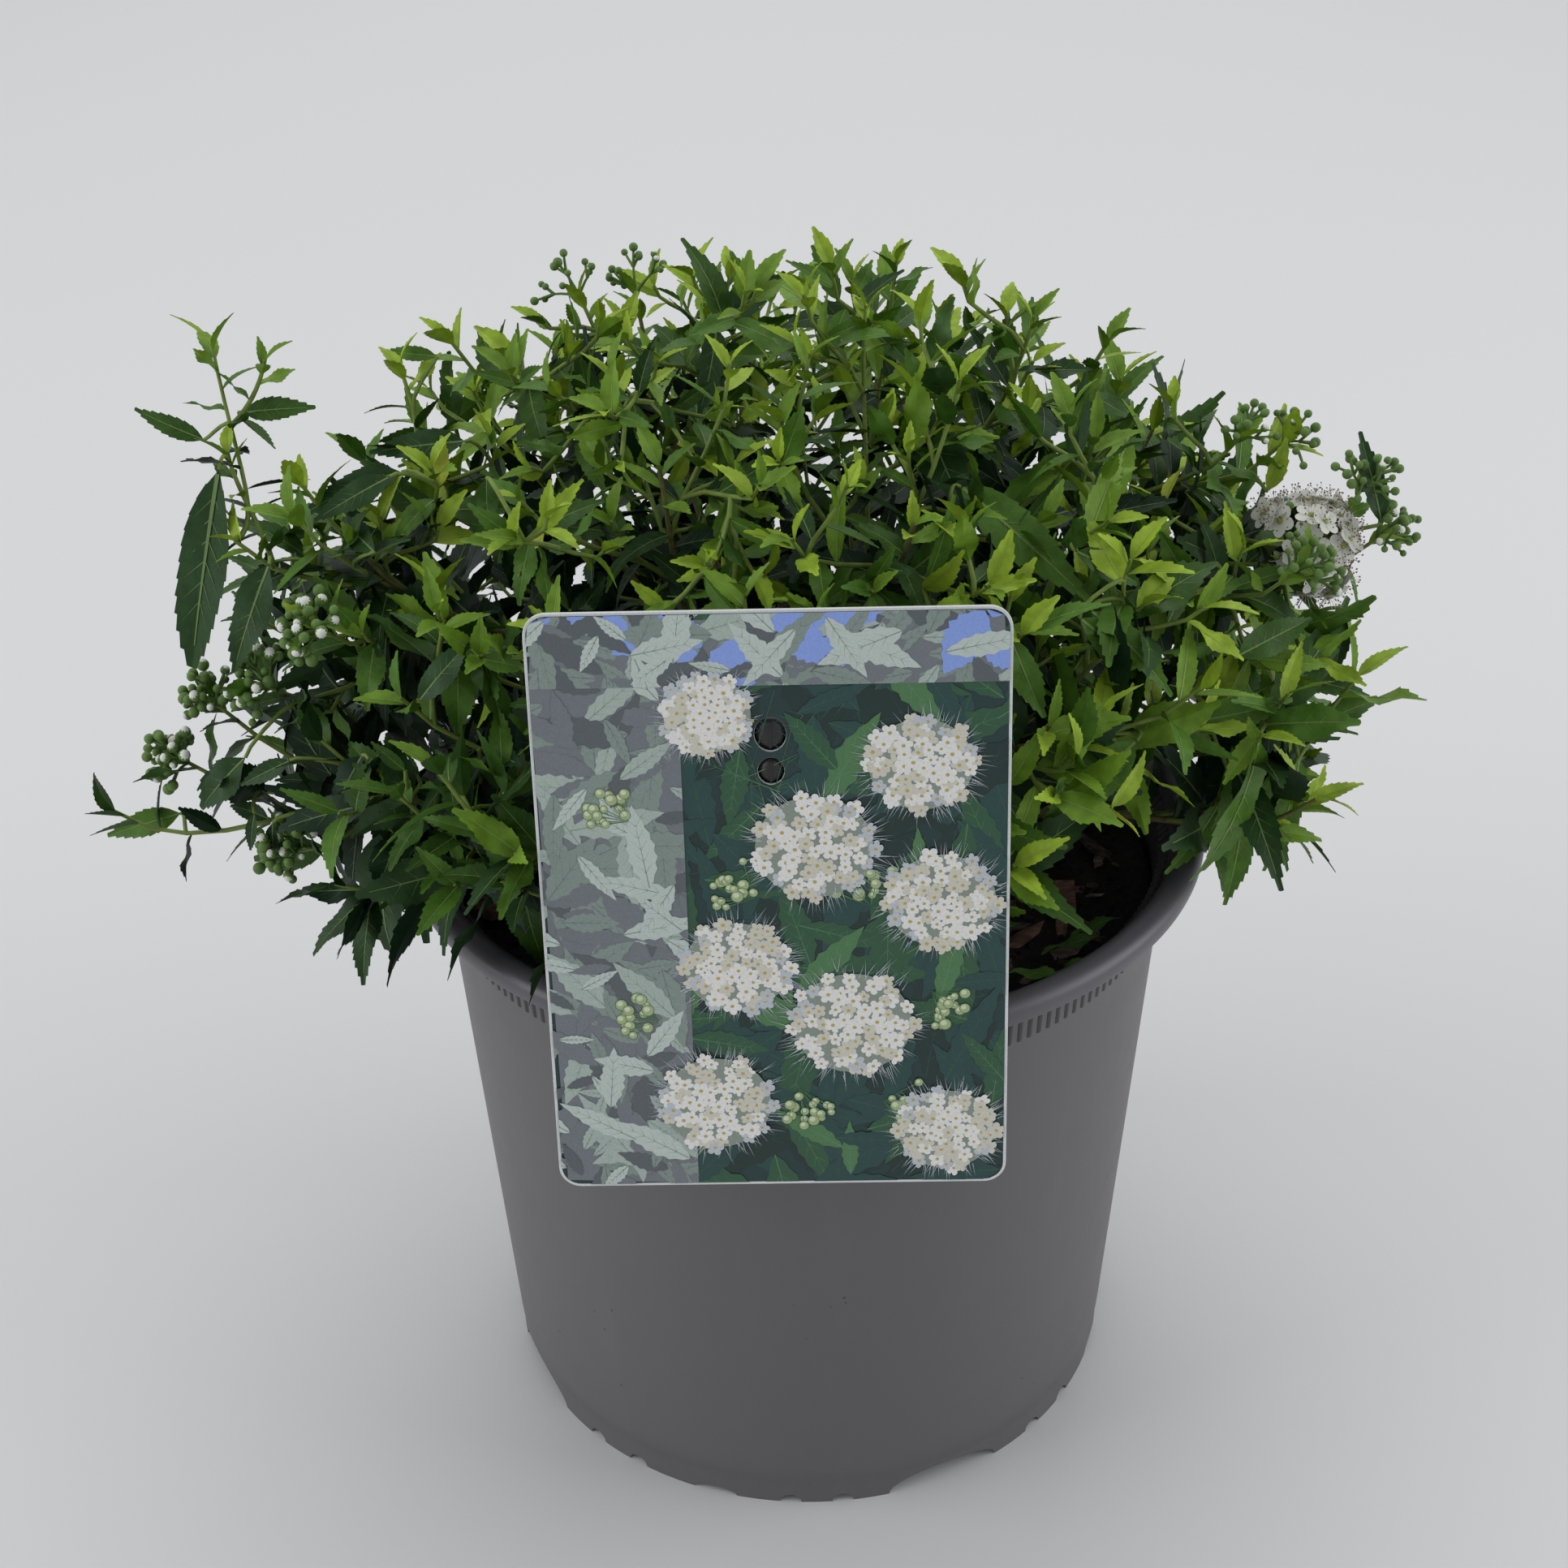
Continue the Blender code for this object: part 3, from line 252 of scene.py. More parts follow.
class Recipe(Nodes):
    """A geometry node tree with named inputs, which ends in Realize Instances and Set Material."""

    KINDS = {"Geometry": "Geometry", "Shapes": "Collection", "Finish": "Material"}
    WHOLE_NUMBERS = ("Count", "Seed")

    def __init__(self, name: str, *inputs: str) -> None:
        """Makes the tree.

        Args:
            name: The tree's name.
            inputs: Names of its inputs besides the geometry and the finish.
        """
        super().__init__(bpy.data.node_groups.new(name, "GeometryNodeTree"))
        self.tree.is_modifier = True
        for wanted in ("Geometry", "Finish", *inputs):
            number = "Int" if wanted in self.WHOLE_NUMBERS else "Float"
            self.socket(wanted, "INPUT", self.KINDS.get(wanted, number))
        self.socket("Geometry", "OUTPUT", "Geometry")
        self.start = self.tree.nodes.new("NodeGroupInput")

    def socket(self, name: str, side: str, kind: str) -> None:
        """Adds an input or an output to the tree."""
        self.tree.interface.new_socket(name, in_out=side, socket_type=f"NodeSocket{kind}")

    def given(self, name: str) -> Value:
        """The value of one of the tree's inputs."""
        return Value(self, self.start.outputs[name])

    def stored(self, name: str, kind: str) -> Value:
        """An attribute that the geometry carries."""
        return self.node("GeometryNodeInputNamedAttribute", name, settings={"data_type": kind})

    def joined_xyz(self, x: Number = 0.0, y: Number = 0.0, z: Number = 0.0) -> Value:
        """A vector from three numbers."""
        return self.node("ShaderNodeCombineXYZ", x, y, z)

    def copies(self, points: Value, **values: object) -> Value:
        """Copies of shapes from the input "Shapes" at points.

        Args:
            points: Where they go.
            values: What else the copies need, such as their turn and scale.

        Returns:
            The copies.
        """
        settings = {"transform_space": "ORIGINAL"}
        box = self.given("Shapes"), True, True
        shapes = self.node("GeometryNodeCollectionInfo", *box, settings=settings)
        values |= {"Points": points, "Instance": shapes, "Pick_Instance": True}
        return self.node("GeometryNodeInstanceOnPoints", **values)

    def end(self, shape: Value, smooth: bool) -> Recipe:
        """Ends the tree with real meshes, shaded and in the finish.

        Args:
            shape: What the tree has made.
            smooth: Whether it is shaded round.

        Returns:
            The recipe.
        """
        shape = self.node("GeometryNodeRealizeInstances", shape)
        if smooth:
            shape = self.node("GeometryNodeSetShadeSmooth", shape)
        finish = self.given("Finish")
        shape = self.node("GeometryNodeSetMaterial", Geometry=shape, Material=finish)
        self.feed(self.tree.nodes.new("NodeGroupOutput").inputs["Geometry"], shape)
        return self

    def cast(self, carrier: Mesh, finish: Finish, **values: object) -> Mesh:
        """Runs the tree on a mesh.

        Args:
            carrier: The mesh that the tree starts from.
            finish: What the result is made of.
            values: The tree's other inputs, by name.

        Returns:
            The result as a plain mesh.
        """
        values["Finish"] = finish.material()
        bench = on_bench(carrier.name, carrier)
        growth = bench.modifiers.new("growth", "NODES")
        growth.node_group = self.tree
        for item in self.tree.interface.items_tree:
            if item.in_out == "INPUT" and item.name in values:
                growth[item.identifier] = values[item.name]
        return baked(bench)


@cache
def spray_recipe() -> Recipe:
    """Copies of shapes at points that carry a turn, a size and a shape's number.

    Returns:
        The recipe.
    """
    recipe = Recipe("sprays", "Shapes")
    index, size = recipe.stored("shape", "INT"), recipe.stored("size", "FLOAT")
    kept = {"Instance_Index": index, "Rotation": recipe.stored("turn", "QUATERNION")}
    return recipe.end(recipe.copies(recipe.given("Geometry"), Scale=size, **kept), smooth=False)


@cache
def tube_recipe() -> Recipe:
    """Round tubes along a mesh's edges, as thick as its points say.

    Returns:
        The recipe.
    """
    recipe = Recipe("tubes", "Count")
    line = recipe.node("GeometryNodeMeshToCurve", recipe.given("Geometry"))
    ring = recipe.node("GeometryNodeCurvePrimitiveCircle", Resolution=recipe.given("Count"))
    values = {"Scale": recipe.stored("radius", "FLOAT"), "Fill_Caps": True}
    tubes = recipe.node("GeometryNodeCurveToMesh", Curve=line, Profile_Curve=ring, **values)
    return recipe.end(tubes, smooth=True)


@cache
def ring_recipe() -> Recipe:
    """Upright round ribs on a ring, leaning out with the wall that they stand on.

    Returns:
        The recipe.
    """
    recipe = Recipe("rib_ring", "Count", "Radius", "Height", "Rib", "Rise", "Lean")
    count, radius = recipe.given("Count"), recipe.given("Radius")
    ring = recipe.node("GeometryNodeMeshCircle", Vertices=count, Radius=radius)
    rise = recipe.joined_xyz(z=recipe.given("Rise"))
    ring = recipe.node("GeometryNodeTransform", Geometry=ring, Translation=rise)
    size = {"Radius": recipe.given("Rib"), "Depth": recipe.given("Height")}
    rib = recipe.node("GeometryNodeMeshCylinder", Vertices=8, **size)
    lean = recipe.joined_xyz(y=recipe.given("Lean"))
    rib = recipe.node("GeometryNodeTransform", Geometry=rib, Rotation=lean)
    spot = recipe.node("GeometryNodeInputPosition")
    x, y = (recipe.node("ShaderNodeSeparateXYZ", spot, output=axis) for axis in "XY")
    turn = recipe.joined_xyz(z=y.math("ARCTAN2", y, x))
    copies = {"Points": ring, "Instance": rib, "Rotation": turn}
    return recipe.end(recipe.node("GeometryNodeInstanceOnPoints", **copies), smooth=False)


@cache
def litter_recipe() -> Recipe:
    """Shapes strewn over a surface, turned at will.

    Returns:
        The recipe.
    """
    recipe = Recipe("litter", "Shapes", "Density", "Seed", "Smallest", "Largest", "Tilt")
    seed, tilt = recipe.given("Seed"), recipe.given("Tilt")
    values = {"Mesh": recipe.given("Geometry"), "Density": recipe.given("Density"), "Seed": seed}
    points = recipe.node("GeometryNodeDistributePointsOnFaces", **values)

    def drawn(kind: str, low: Value, high: Value, seed: Value) -> Value:
        """A random value between two."""
        values = {"Min": low, "Max": high, "Seed": seed, "output": "Value"}
        return recipe.node("FunctionNodeRandomValue", settings={"data_type": kind}, **values)

    low, high = recipe.joined_xyz(-tilt, -tilt), recipe.joined_xyz(tilt, tilt, math.tau)
    turn = drawn("FLOAT_VECTOR", low, high, seed)
    size = drawn("FLOAT", recipe.given("Smallest"), recipe.given("Largest"), seed + 1.0)
    return recipe.end(recipe.copies(points, Rotation=turn, Scale=size), smooth=False)


# Finishes


@dataclass(frozen=True)
class Finish:
    """What a surface is made of. Kinds of finish fill in paint()."""

    name: str

    def material(self) -> bpy.types.Material:
        """The material, made once.

        Returns:
            The material.
        """
        kept = bpy.data.materials.get(self.name)
        if kept is None:
            shader = Shader(self.name)
            self.paint(shader)
            kept = shader.material
        return kept

    def paint(self, shader: Shader) -> None:
        """Fills in the material's nodes."""
        raise NotImplementedError


@dataclass(frozen=True)
class PotPlastic(Finish):
    """Moulded recycled plastic: matte on the wall, glossier on the lip, with specks of dirt. The
    lip's darker, bluer colour is painted light: a dark band with a bluish sheen.
    """

    name: str = "pot_plastic_worn"
    wall: Colour = (0.116, 0.112, 0.119)
    # painted light: the lip's darker, bluer tint stands for the dark band and bluish sheen on its
    # roll
    lip: Colour = (0.092, 0.088, 0.102)
    dirt: Colour = (0.022, 0.018, 0.016)
    dust: Colour = (0.17, 0.165, 0.16)
    lip_from: float = 0.1480
    lip_full: float = 0.1512

    def paint(self, shader: Shader) -> None:
        """Mixes wall and lip by height, then adds dust and dirt. The lip's colour is painted light, a
        darker band with a bluish sheen.

        Args:
            shader: The material's nodes.
        """
        on_lip = shader.height().between(self.lip_from, self.lip_full)
        streaks = shader.speckle(1.0, 3.0, shader.stretched((55.0, 55.0, 9.0)))
        specks = 1.0 - shader.cells(210.0).between(0.055, 0.085)
        sparse = shader.speckle(24.0).between(0.60, 0.66)
        # painted light: the lip colour paints a dark band and bluish sheen over the rolled lip
        colour = shader.mix(on_lip, self.wall, self.lip)
        colour = shader.mix(streaks.between(0.52, 0.80) * 0.20, colour, self.dust)
        shader.set(Base_Color=shader.mix(specks * sparse * 0.8, colour, self.dirt))
        shader.set(Roughness=0.47 - on_lip * 0.13 + shader.speckle(90.0, 4.0) * 0.10)
        shader.bump(shader.speckle(1500.0), 0.10, 0.0002)


@dataclass(frozen=True)
class Peat(Finish):
    """Dark moist peat."""

    name: str = "peat_crumbly"
    dark: Colour = (0.003, 0.0024, 0.0022)
    light: Colour = (0.014, 0.0098, 0.0078)

    def paint(self, shader: Shader) -> None:
        """Mixes crumbs of two browns.

        Args:
            shader: The material's nodes.
        """
        crumbs = shader.speckle(420.0, 5.0).between(0.40, 0.70)
        shader.set(Base_Color=shader.mix(crumbs, self.dark, self.light), Roughness=0.95)
        shader.bump(shader.speckle(700.0, 6.0), 0.9, 0.0012)


@dataclass(frozen=True)
class Chip(Finish):
    """A chip of bark or a crumb of fibre."""

    name: str
    colour: Colour
    streak: Colour

    def paint(self, shader: Shader) -> None:
        """Draws short streaks along the chip.

        Args:
            shader: The material's nodes.
        """
        grain = shader.speckle(1.0, 4.0, shader.stretched((240.0, 700.0, 700.0)))
        colour = shader.mix(grain.between(0.35, 0.7), self.colour, self.streak)
        shader.set(Base_Color=colour, Roughness=0.88)
        shader.bump(grain, 0.5, 0.0005)


@dataclass(frozen=True)
class Ink(Finish):
    """A plain ink or the bare card, under a thin gloss. It is uneven by a hair, as print is."""

    name: str
    colour: Colour
    roughness: float = 0.36

    def paint(self, shader: Shader) -> None:
        """Mixes the colour with a slightly deeper one.

        Args:
            shader: The material's nodes.
        """
        deep = tuple(0.88 * part for part in self.colour)
        grain = shader.speckle(2600.0, 1.0).between(0.25, 0.75)
        shader.set(Base_Color=shader.mix(grain, deep, self.colour), Roughness=self.roughness)


@dataclass(frozen=True)
class BlackPlastic(Finish):
    """Black moulded plastic of the label's holder, with a soft sheen."""

    name: str = "holder_black"
    deep: Colour = (0.008, 0.008, 0.009)
    scuffed: Colour = (0.020, 0.019, 0.019)

    def paint(self, shader: Shader) -> None:
        """Scuffs the black a little.

        Args:
            shader: The material's nodes.
        """
        scuffs = shader.speckle(300.0, 3.0)
        shader.set(Base_Color=shader.mix(scuffs, self.deep, self.scuffed))
        shader.set(Roughness=0.34 + scuffs * 0.16)
        shader.bump(shader.speckle(2000.0), 0.08, 0.0002)


@dataclass(frozen=True)
class Bark(Finish):
    """Brown bark with pale lengthwise cracks, greener away from the root crown."""

    name: str = "stem_bark"
    brown: Colour = (0.070, 0.042, 0.024)
    grey: Colour = (0.165, 0.120, 0.080)
    green: Colour = (0.120, 0.135, 0.045)
    green_from: float = 0.160
    green_full: float = 0.225

    def paint(self, shader: Shader) -> None:
        """Mixes by height over the soil, and streaks the bark.

        Args:
            shader: The material's nodes.
        """
        streaks = shader.speckle(1.0, 5.0, shader.stretched((900.0, 900.0, 160.0)))
        woody = shader.mix(streaks.between(0.38, 0.66), self.brown, self.grey)
        greener = shader.height().between(self.green_from, self.green_full) * 0.7
        shader.set(Base_Color=shader.mix(greener, woody, self.green), Roughness=0.82)
        shader.bump(streaks, 0.8, 0.0006)


@dataclass(frozen=True)
class Foliage(Finish):
    """A leaf, shoot, bud or petal: one plain colour with a faint mottle and a puckered skin."""

    name: str
    colour: Colour
    roughness: float = 0.52
    mottle: float = 0.16
    pucker: float = 0.35

    def paint(self, shader: Shader) -> None:
        """Mottles the colour and puckers the surface.

        Args:
            shader: The material's nodes.
        """
        deep = tuple((1.0 - self.mottle) * part for part in self.colour)
        pale = tuple(min(1.0, (1.0 + self.mottle) * part) for part in self.colour)
        patches = shader.speckle(330.0).between(0.3, 0.7)
        shader.set(Base_Color=shader.mix(patches, deep, pale))
        shader.set(Roughness=self.roughness, Specular_IOR_Level=0.24)
        shader.bump(shader.speckle(1100.0), self.pucker, 0.0003)


@dataclass(frozen=True)
class StageFloor(Finish):
    """The plain pale floor that the pot stands on."""

    name: str = "pale_floor"
    colour: Colour = (0.62, 0.62, 0.625)

    def paint(self, shader: Shader) -> None:
        """Sets one pale grey."""
        shader.set(Base_Color=self.colour, Roughness=0.7)


# Meshes


def mesh_from(bm: bmesh.types.BMesh) -> Mesh:
    """Ends a bmesh as a mesh.

    Args:
        bm: The bmesh, which is freed.

    Returns:
        The mesh.
    """
    mesh = bpy.data.meshes.new("mesh")
    bm.to_mesh(mesh)
    bm.free()
    return mesh


def smooth(mesh: Mesh, sharp: float = 32.0) -> Mesh:
    """Shades a mesh round, apart from sharp edges.

    Args:
        mesh: The mesh.
        sharp: The angle in degrees from which an edge is sharp.

    Returns:
        The same mesh.
    """
    mesh.shade_smooth()
    mesh.set_sharp_from_angle(angle=math.radians(sharp))
    return mesh


def closed(bm: bmesh.types.BMesh) -> bmesh.types.BMesh:
    """Merges a bmesh's doubles and turns its faces outwards.

    Args:
        bm: The bmesh.

    Returns:
        The same bmesh.
    """
    bmesh.ops.remove_doubles(bm, verts=bm.verts, dist=1e-6)
    bmesh.ops.recalc_face_normals(bm, faces=bm.faces)
    return bm


def lathe(profile: Sequence[Point2], sides: int) -> Mesh:
    """A solid of revolution.

    Args:
        profile: Radius and height of each corner of the half section, in order.
        sides: How many sides the turn has.

    Returns:
        The closed mesh, faces outwards.
    """
    bm = bmesh.new()
    corners = [bm.verts.new((radius, 0.0, height)) for radius, height in profile]
    edges = [bm.edges.new(pair) for pair in pairwise(corners)]
    turn = {"axis": (0, 0, 1), "cent": (0, 0, 0), "angle": math.tau, "steps": sides}
    bmesh.ops.spin(bm, geom=corners + edges, use_merge=True, **turn)
    return mesh_from(closed(bm))


def on_bench(name: str, data: bpy.types.ID) -> bpy.types.Object:
    """An object in the scene, to work on.

    Args:
        name: The object's name.
        data: Its mesh, curve, lamp or lens.

    Returns:
        The object.
    """
    made = bpy.data.objects.new(name, data)
    bpy.context.scene.collection.objects.link(made)
    return made


def baked(source: bpy.types.Object) -> Mesh:
    """What an object shows, as a plain mesh with its place in it.

    Args:
        source: The object, which is removed.

    Returns:
        The mesh.
    """
    graph = bpy.context.evaluated_depsgraph_get()
    mesh = bpy.data.meshes.new_from_object(source.evaluated_get(graph))
    mesh.transform(source.matrix_world)
    bpy.data.objects.remove(source, do_unlink=True)
    return mesh


def cut_sheet(
    outlines: Sequence[Sequence[Point2]], place: Matrix, **settings: object
) -> Mesh:
    """A flat sheet with holes.

    Args:
        outlines: The sheet's outline, then those of its holes.
        place: The sheet's place and turn.
        settings: The flat curve's own settings, such as how thick it is.

    Returns:
        The mesh, in place.
    """
    curve = bpy.data.curves.new("sheet", "CURVE")
    for key, value in {"dimensions": "2D", **settings}.items():
        setattr(curve, key, value)
    for points in outlines:
        spline = curve.splines.new("POLY")
        spline.points.add(len(points) - 1)
        spline.points.foreach_set("co", [part for x, y in points for part in (x, y, 0.0, 1.0)])
        spline.use_cyclic_u = True
    blank = on_bench("sheet", curve)
    blank.matrix_world = place
    bpy.context.view_layer.update()
    return baked(blank)


def joined(meshes: Sequence[Mesh]) -> Mesh:
    """One mesh from several, each with its own finish kept.

    Args:
        meshes: The parts.

    Returns:
        The whole.
    """
    finishes: list[bpy.types.Material | None] = []
    bm = bmesh.new()
    for mesh in meshes:
        before = len(bm.faces)
        bm.from_mesh(mesh)
        bm.faces.ensure_lookup_table()
        own = list(mesh.materials) or [None]
        for face in bm.faces[before:]:
            finish = own[face.material_index]
            if finish not in finishes:
                finishes.append(finish)
            face.material_index = finishes.index(finish)
    whole = mesh_from(bm)
    for finish in finishes:
        whole.materials.append(finish)
    return whole


def show(
    name: str,
    mesh: Mesh,
    finish: Finish | None = None,
    replaces: Sequence[str] = (),
) -> None:
    """Puts a finished piece on the part.

    Args:
        name: The piece's name.
        mesh: Its mesh, in place.
        finish: What it is made of, where the mesh doesn't say.
        replaces: The CAD nodes that it stands for.
    """
    mesh.name = name
    if finish is not None:
        mesh.materials.clear()
        mesh.materials.append(finish.material())
    piece = on_bench(name, mesh)
    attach(piece, "root")
    if replaces:
        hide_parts(*replaces)
    mesh.calc_loop_triangles()
    log.info("%s: %d triangles, in place of %s", name, len(mesh.loop_triangles), list(replaces))


@contextmanager
def shape_box(shapes: Sequence[Mesh]) -> Iterator[bpy.types.Collection]:
    """A hidden collection of small shapes that a geometry tree copies.

    Args:
        shapes: The shapes, in the order of their numbers.

    Yields:
        The collection, which is emptied and removed after use.
    """
    box = bpy.data.collections.new("shapes")
    bpy.context.scene.collection.children.link(box)
    box.hide_render = True
    for number, mesh in enumerate(shapes):
        box.objects.link(bpy.data.objects.new(f"shape_{number:02d}", mesh))
    yield box
    for shape in list(box.objects):
        bpy.data.objects.remove(shape, do_unlink=True)
    bpy.data.collections.remove(box)


@dataclass
class Placements:
    """Where the copies of a set of shapes go: place, turn, size and shape's number."""

    rows: list[tuple[float, ...]] = field(default_factory=list)

    def add(self, place: Vector, turn: Quaternion, size: float, shape: int = 0) -> None:
        """Adds one copy, by the place of its origin, its turn, scale and shape's number."""
        self.rows.append((*place, *turn, size, shape))

    def cast(self, shapes: Sequence[Mesh], finish: Finish) -> Mesh:
        """Makes the copies.

        Args:
            shapes: The shapes.
            finish: What they are made of.

        Returns:
            The copies as one plain mesh.
        """
        rows = np.array(self.rows, np.float32)
        carrier = bpy.data.meshes.new("places")
        carrier.from_pydata(rows[:, :3].tolist(), [], [])
        columns = {"turn": rows[:, 3:7], "size": rows[:, 7], "shape": rows[:, 8].astype(np.int32)}
        for (key, column), kind in zip(columns.items(), ("QUATERNION", "FLOAT", "INT")):
            carrier.attributes.new(key, kind, "POINT").data.foreach_set("value", column.ravel())
        with shape_box(shapes) as box:
            return spray_recipe().cast(carrier, finish, Shapes=box)


# Pot


@dataclass
class Pot:
    """The nursery pot: a straight cone with a rolled lip, strokes under it and a notched foot. The
    strokes are low ribs, dark with painted shade of the grooves under the lip.
    """

    height: float = 0.1557
    wall: float = 0.0014
    rim_radius: float = 0.0950
    rim_inner_radius: float = 0.0880
    lip_underside: float = 0.1507
    lip_round: float = 0.0029
    lip_undercut: float = 0.0007
    neck_height: float = 0.1475
    neck_radius: float = 0.0864
    neck_flare: float = 0.0014
    flare_step: float = 0.0006
    flare_rise: float = 0.0024
    foot_radius: float = 0.0776
    foot_band: float = 0.0080
    foot_band_inset: float = 0.0004
    foot_band_slope: float = 0.0008
    foot_extra_wall: float = 0.0006
    floor_rise: float = 0.0066
    pad_radius: float = 0.0300
    pad_slope_radius: float = 0.0350
    drain_holes: int = 8
    drain_radius: float = 0.0035
    drain_circle: float = 0.0560
    first_arch: float = math.radians(-65.4)
    arch_groups: int = 4
    sides: int = 240
    strokes: int = 198
    stroke_low: float = 0.1376
    stroke_high: float = 0.1478
    stroke_radius: float = 0.00120
    stroke_show: float = 0.00028
    notches: tuple[Point3, ...] = (
        (0.0, 0.0148, 0.0055),
        (21.0, 0.0026, 0.0024),
        (31.0, 0.0026, 0.0024),
        (47.0, 0.0055, 0.0018),
        (61.0, 0.0026, 0.0024),
        (70.5, 0.0026, 0.0024),
    )
    notch_depth: float = 0.0100
    drain_depth: float = 0.0056
    lip_steps: int = 16
    finish: PotPlastic = PotPlastic()
    # painted shade: the strokes' dark colour stands for the shade in the grooves under the lip
    stroke_finish: Ink = Ink("pot_stroke_dark", (0.058, 0.055, 0.060), 0.7)

    def outer(self, z: float | np.ndarray) -> float | np.ndarray:
        """The wall's outer radius at a height."""
        return self.foot_radius + (self.neck_radius - self.foot_radius) * z / self.neck_height

    def inner(self, z: float | np.ndarray) -> float | np.ndarray:
        """The wall's inner radius at a height."""
        return self.outer(z) - self.wall

    def flare_top(self) -> Point2:
        """Radius and height of the flared neck's upper end."""
        radius = self.neck_radius + self.neck_flare + self.flare_step
        return radius, self.neck_height + self.flare_rise

    def profile(self) -> list[Point2]:
        """Half section, from the middle of the inside floor, over the lip and down to the foot.

        Returns:
            Radius and height of each corner.
        """
        floor = self.floor_rise + self.wall
        points = [
            (0.0, self.wall),
            (self.pad_radius - self.wall, self.wall),
            (self.pad_slope_radius - self.wall, floor),
            *((self.inner(z), z) for z in (floor, 0.0400, 0.1000, self.neck_height)),
            (self.rim_inner_radius - self.lip_undercut, self.lip_underside),
        ]
        half = (self.rim_radius - self.rim_inner_radius) / 2
        for step in range(self.lip_steps + 1):
            turn = math.pi * (1 - step / self.lip_steps)
            radius = self.rim_inner_radius + half * (1 + math.cos(turn))
            points.append((radius, self.height - self.lip_round * (1 - math.sin(turn))))
        band_top = self.foot_band + self.foot_band_slope
        mid_flare = self.neck_radius + self.neck_flare * 0.6
        return points + [
            (self.rim_radius - 0.0001, self.lip_underside + 0.0007),
            (self.rim_radius - 0.0003, self.lip_underside + 0.0002),
            (self.rim_radius - self.lip_undercut, self.lip_underside),
            self.flare_top(),
            (mid_flare, self.neck_height + self.flare_rise / 2),
            (self.neck_radius, self.neck_height),
            *((self.outer(z), z) for z in (0.1300, 0.0900, 0.0500, 0.0140, band_top)),
            (self.outer(self.foot_band) - self.foot_band_inset, self.foot_band),
            (self.foot_radius, 0.0),
            (self.inner(0.0) - self.foot_extra_wall, 0.0),
            (self.inner(self.floor_rise) - self.foot_extra_wall, self.floor_rise),
            (self.pad_slope_radius, self.floor_rise),
            (self.pad_radius, 0.0),
            (0.0, 0.0),
        ]

    @staticmethod
    def drill(
        bm: bmesh.types.BMesh, place: Matrix, radius: float, depth: float, sides: int
    ) -> None:
        """Adds one round cutter in its place."""
        ends = {"radius1": radius, "radius2": radius, "depth": depth, "cap_ends": True}
        bmesh.ops.create_cone(bm, segments=sides, matrix=place, **ends)

    def cutters(self) -> Mesh:
        """What the foot's notches and the drain holes are cut with.

        Returns:
            The cutters as one mesh.
        """
        bm = bmesh.new()
        for group in range(self.arch_groups):
            arch = self.first_arch + group * math.tau / self.arch_groups
            for turn, half_width, height in self.notches:
                place = Matrix.Rotation(arch + math.radians(turn), 4, "Z")
                place @= Matrix.Translation((self.foot_radius, 0.0, 0.0))
                place @= Matrix.Rotation(math.pi / 2, 4, "Y")
                place @= Matrix.Diagonal((height, half_width, self.notch_depth, 1.0))
                self.drill(bm, place, 1.0, 1.0, 32)
        for hole in range(self.drain_holes):
            place = Matrix.Rotation((hole + 0.5) * math.tau / self.drain_holes, 4, "Z")
            place @= Matrix.Translation((self.drain_circle, 0.0, self.floor_rise))
            self.drill(bm, place, self.drain_radius, self.drain_depth, 24)
        return mesh_from(bm)

    def shell(self) -> Mesh:
        """The turned shell with its notches and drain holes.

        Returns:
            The shell.
        """
        shell = on_bench("pot_shell", lathe(self.profile(), self.sides))
        knife = on_bench("pot_knife", self.cutters())
        cut = shell.modifiers.new("cut", "BOOLEAN")
        cut.operation = "DIFFERENCE"
        cut.solver = "EXACT"
        cut.object = knife
        mesh = baked(shell)
        bpy.data.objects.remove(knife, do_unlink=True)
        return smooth(mesh)

    def stroke_ring(self, low: Point2, high: Point2) -> Mesh:
        """One ring of strokes.

        Args:
            low: Radius and height of the wall at their lower end.
            high: The same at their upper end.

        Returns:
            The ring, proud of the wall by a hair.
        """
        lean = math.atan2(high[0] - low[0], high[1] - low[1])
        sunk = (self.stroke_radius - self.stroke_show) / math.cos(lean)
        values = {
            "Count": self.strokes,
            "Radius": (low[0] + high[0]) / 2 - sunk,
            "Height": math.dist(low, high),
            "Rib": self.stroke_radius,
            "Rise": (low[1] + high[1]) / 2,
            "Lean": lean,
        }
        carrier = bpy.data.meshes.new("pot_strokes")
        return ring_recipe().cast(carrier, self.stroke_finish, **values)

    def build(self) -> None:
        """Makes the shell and the two rings of strokes under its lip, dark with painted shade."""
        show("pot_body", self.shell(), self.finish, ["pot"])
        wall_low, wall_top = ((self.outer(z), z) for z in (self.stroke_low, self.stroke_high))
        neck = self.neck_radius, self.neck_height
        rings = [self.stroke_ring(wall_low, wall_top), self.stroke_ring(neck, self.flare_top())]
        show("pot_strokes", smooth(joined(rings), 50.0))


# Soil


@dataclass(frozen=True)
class Litter:
    """How one kind of litter lies on the soil: pieces per square metre, sizes, and tilt."""

    per_m2: float
    smallest: float
    largest: float
    tilt: float


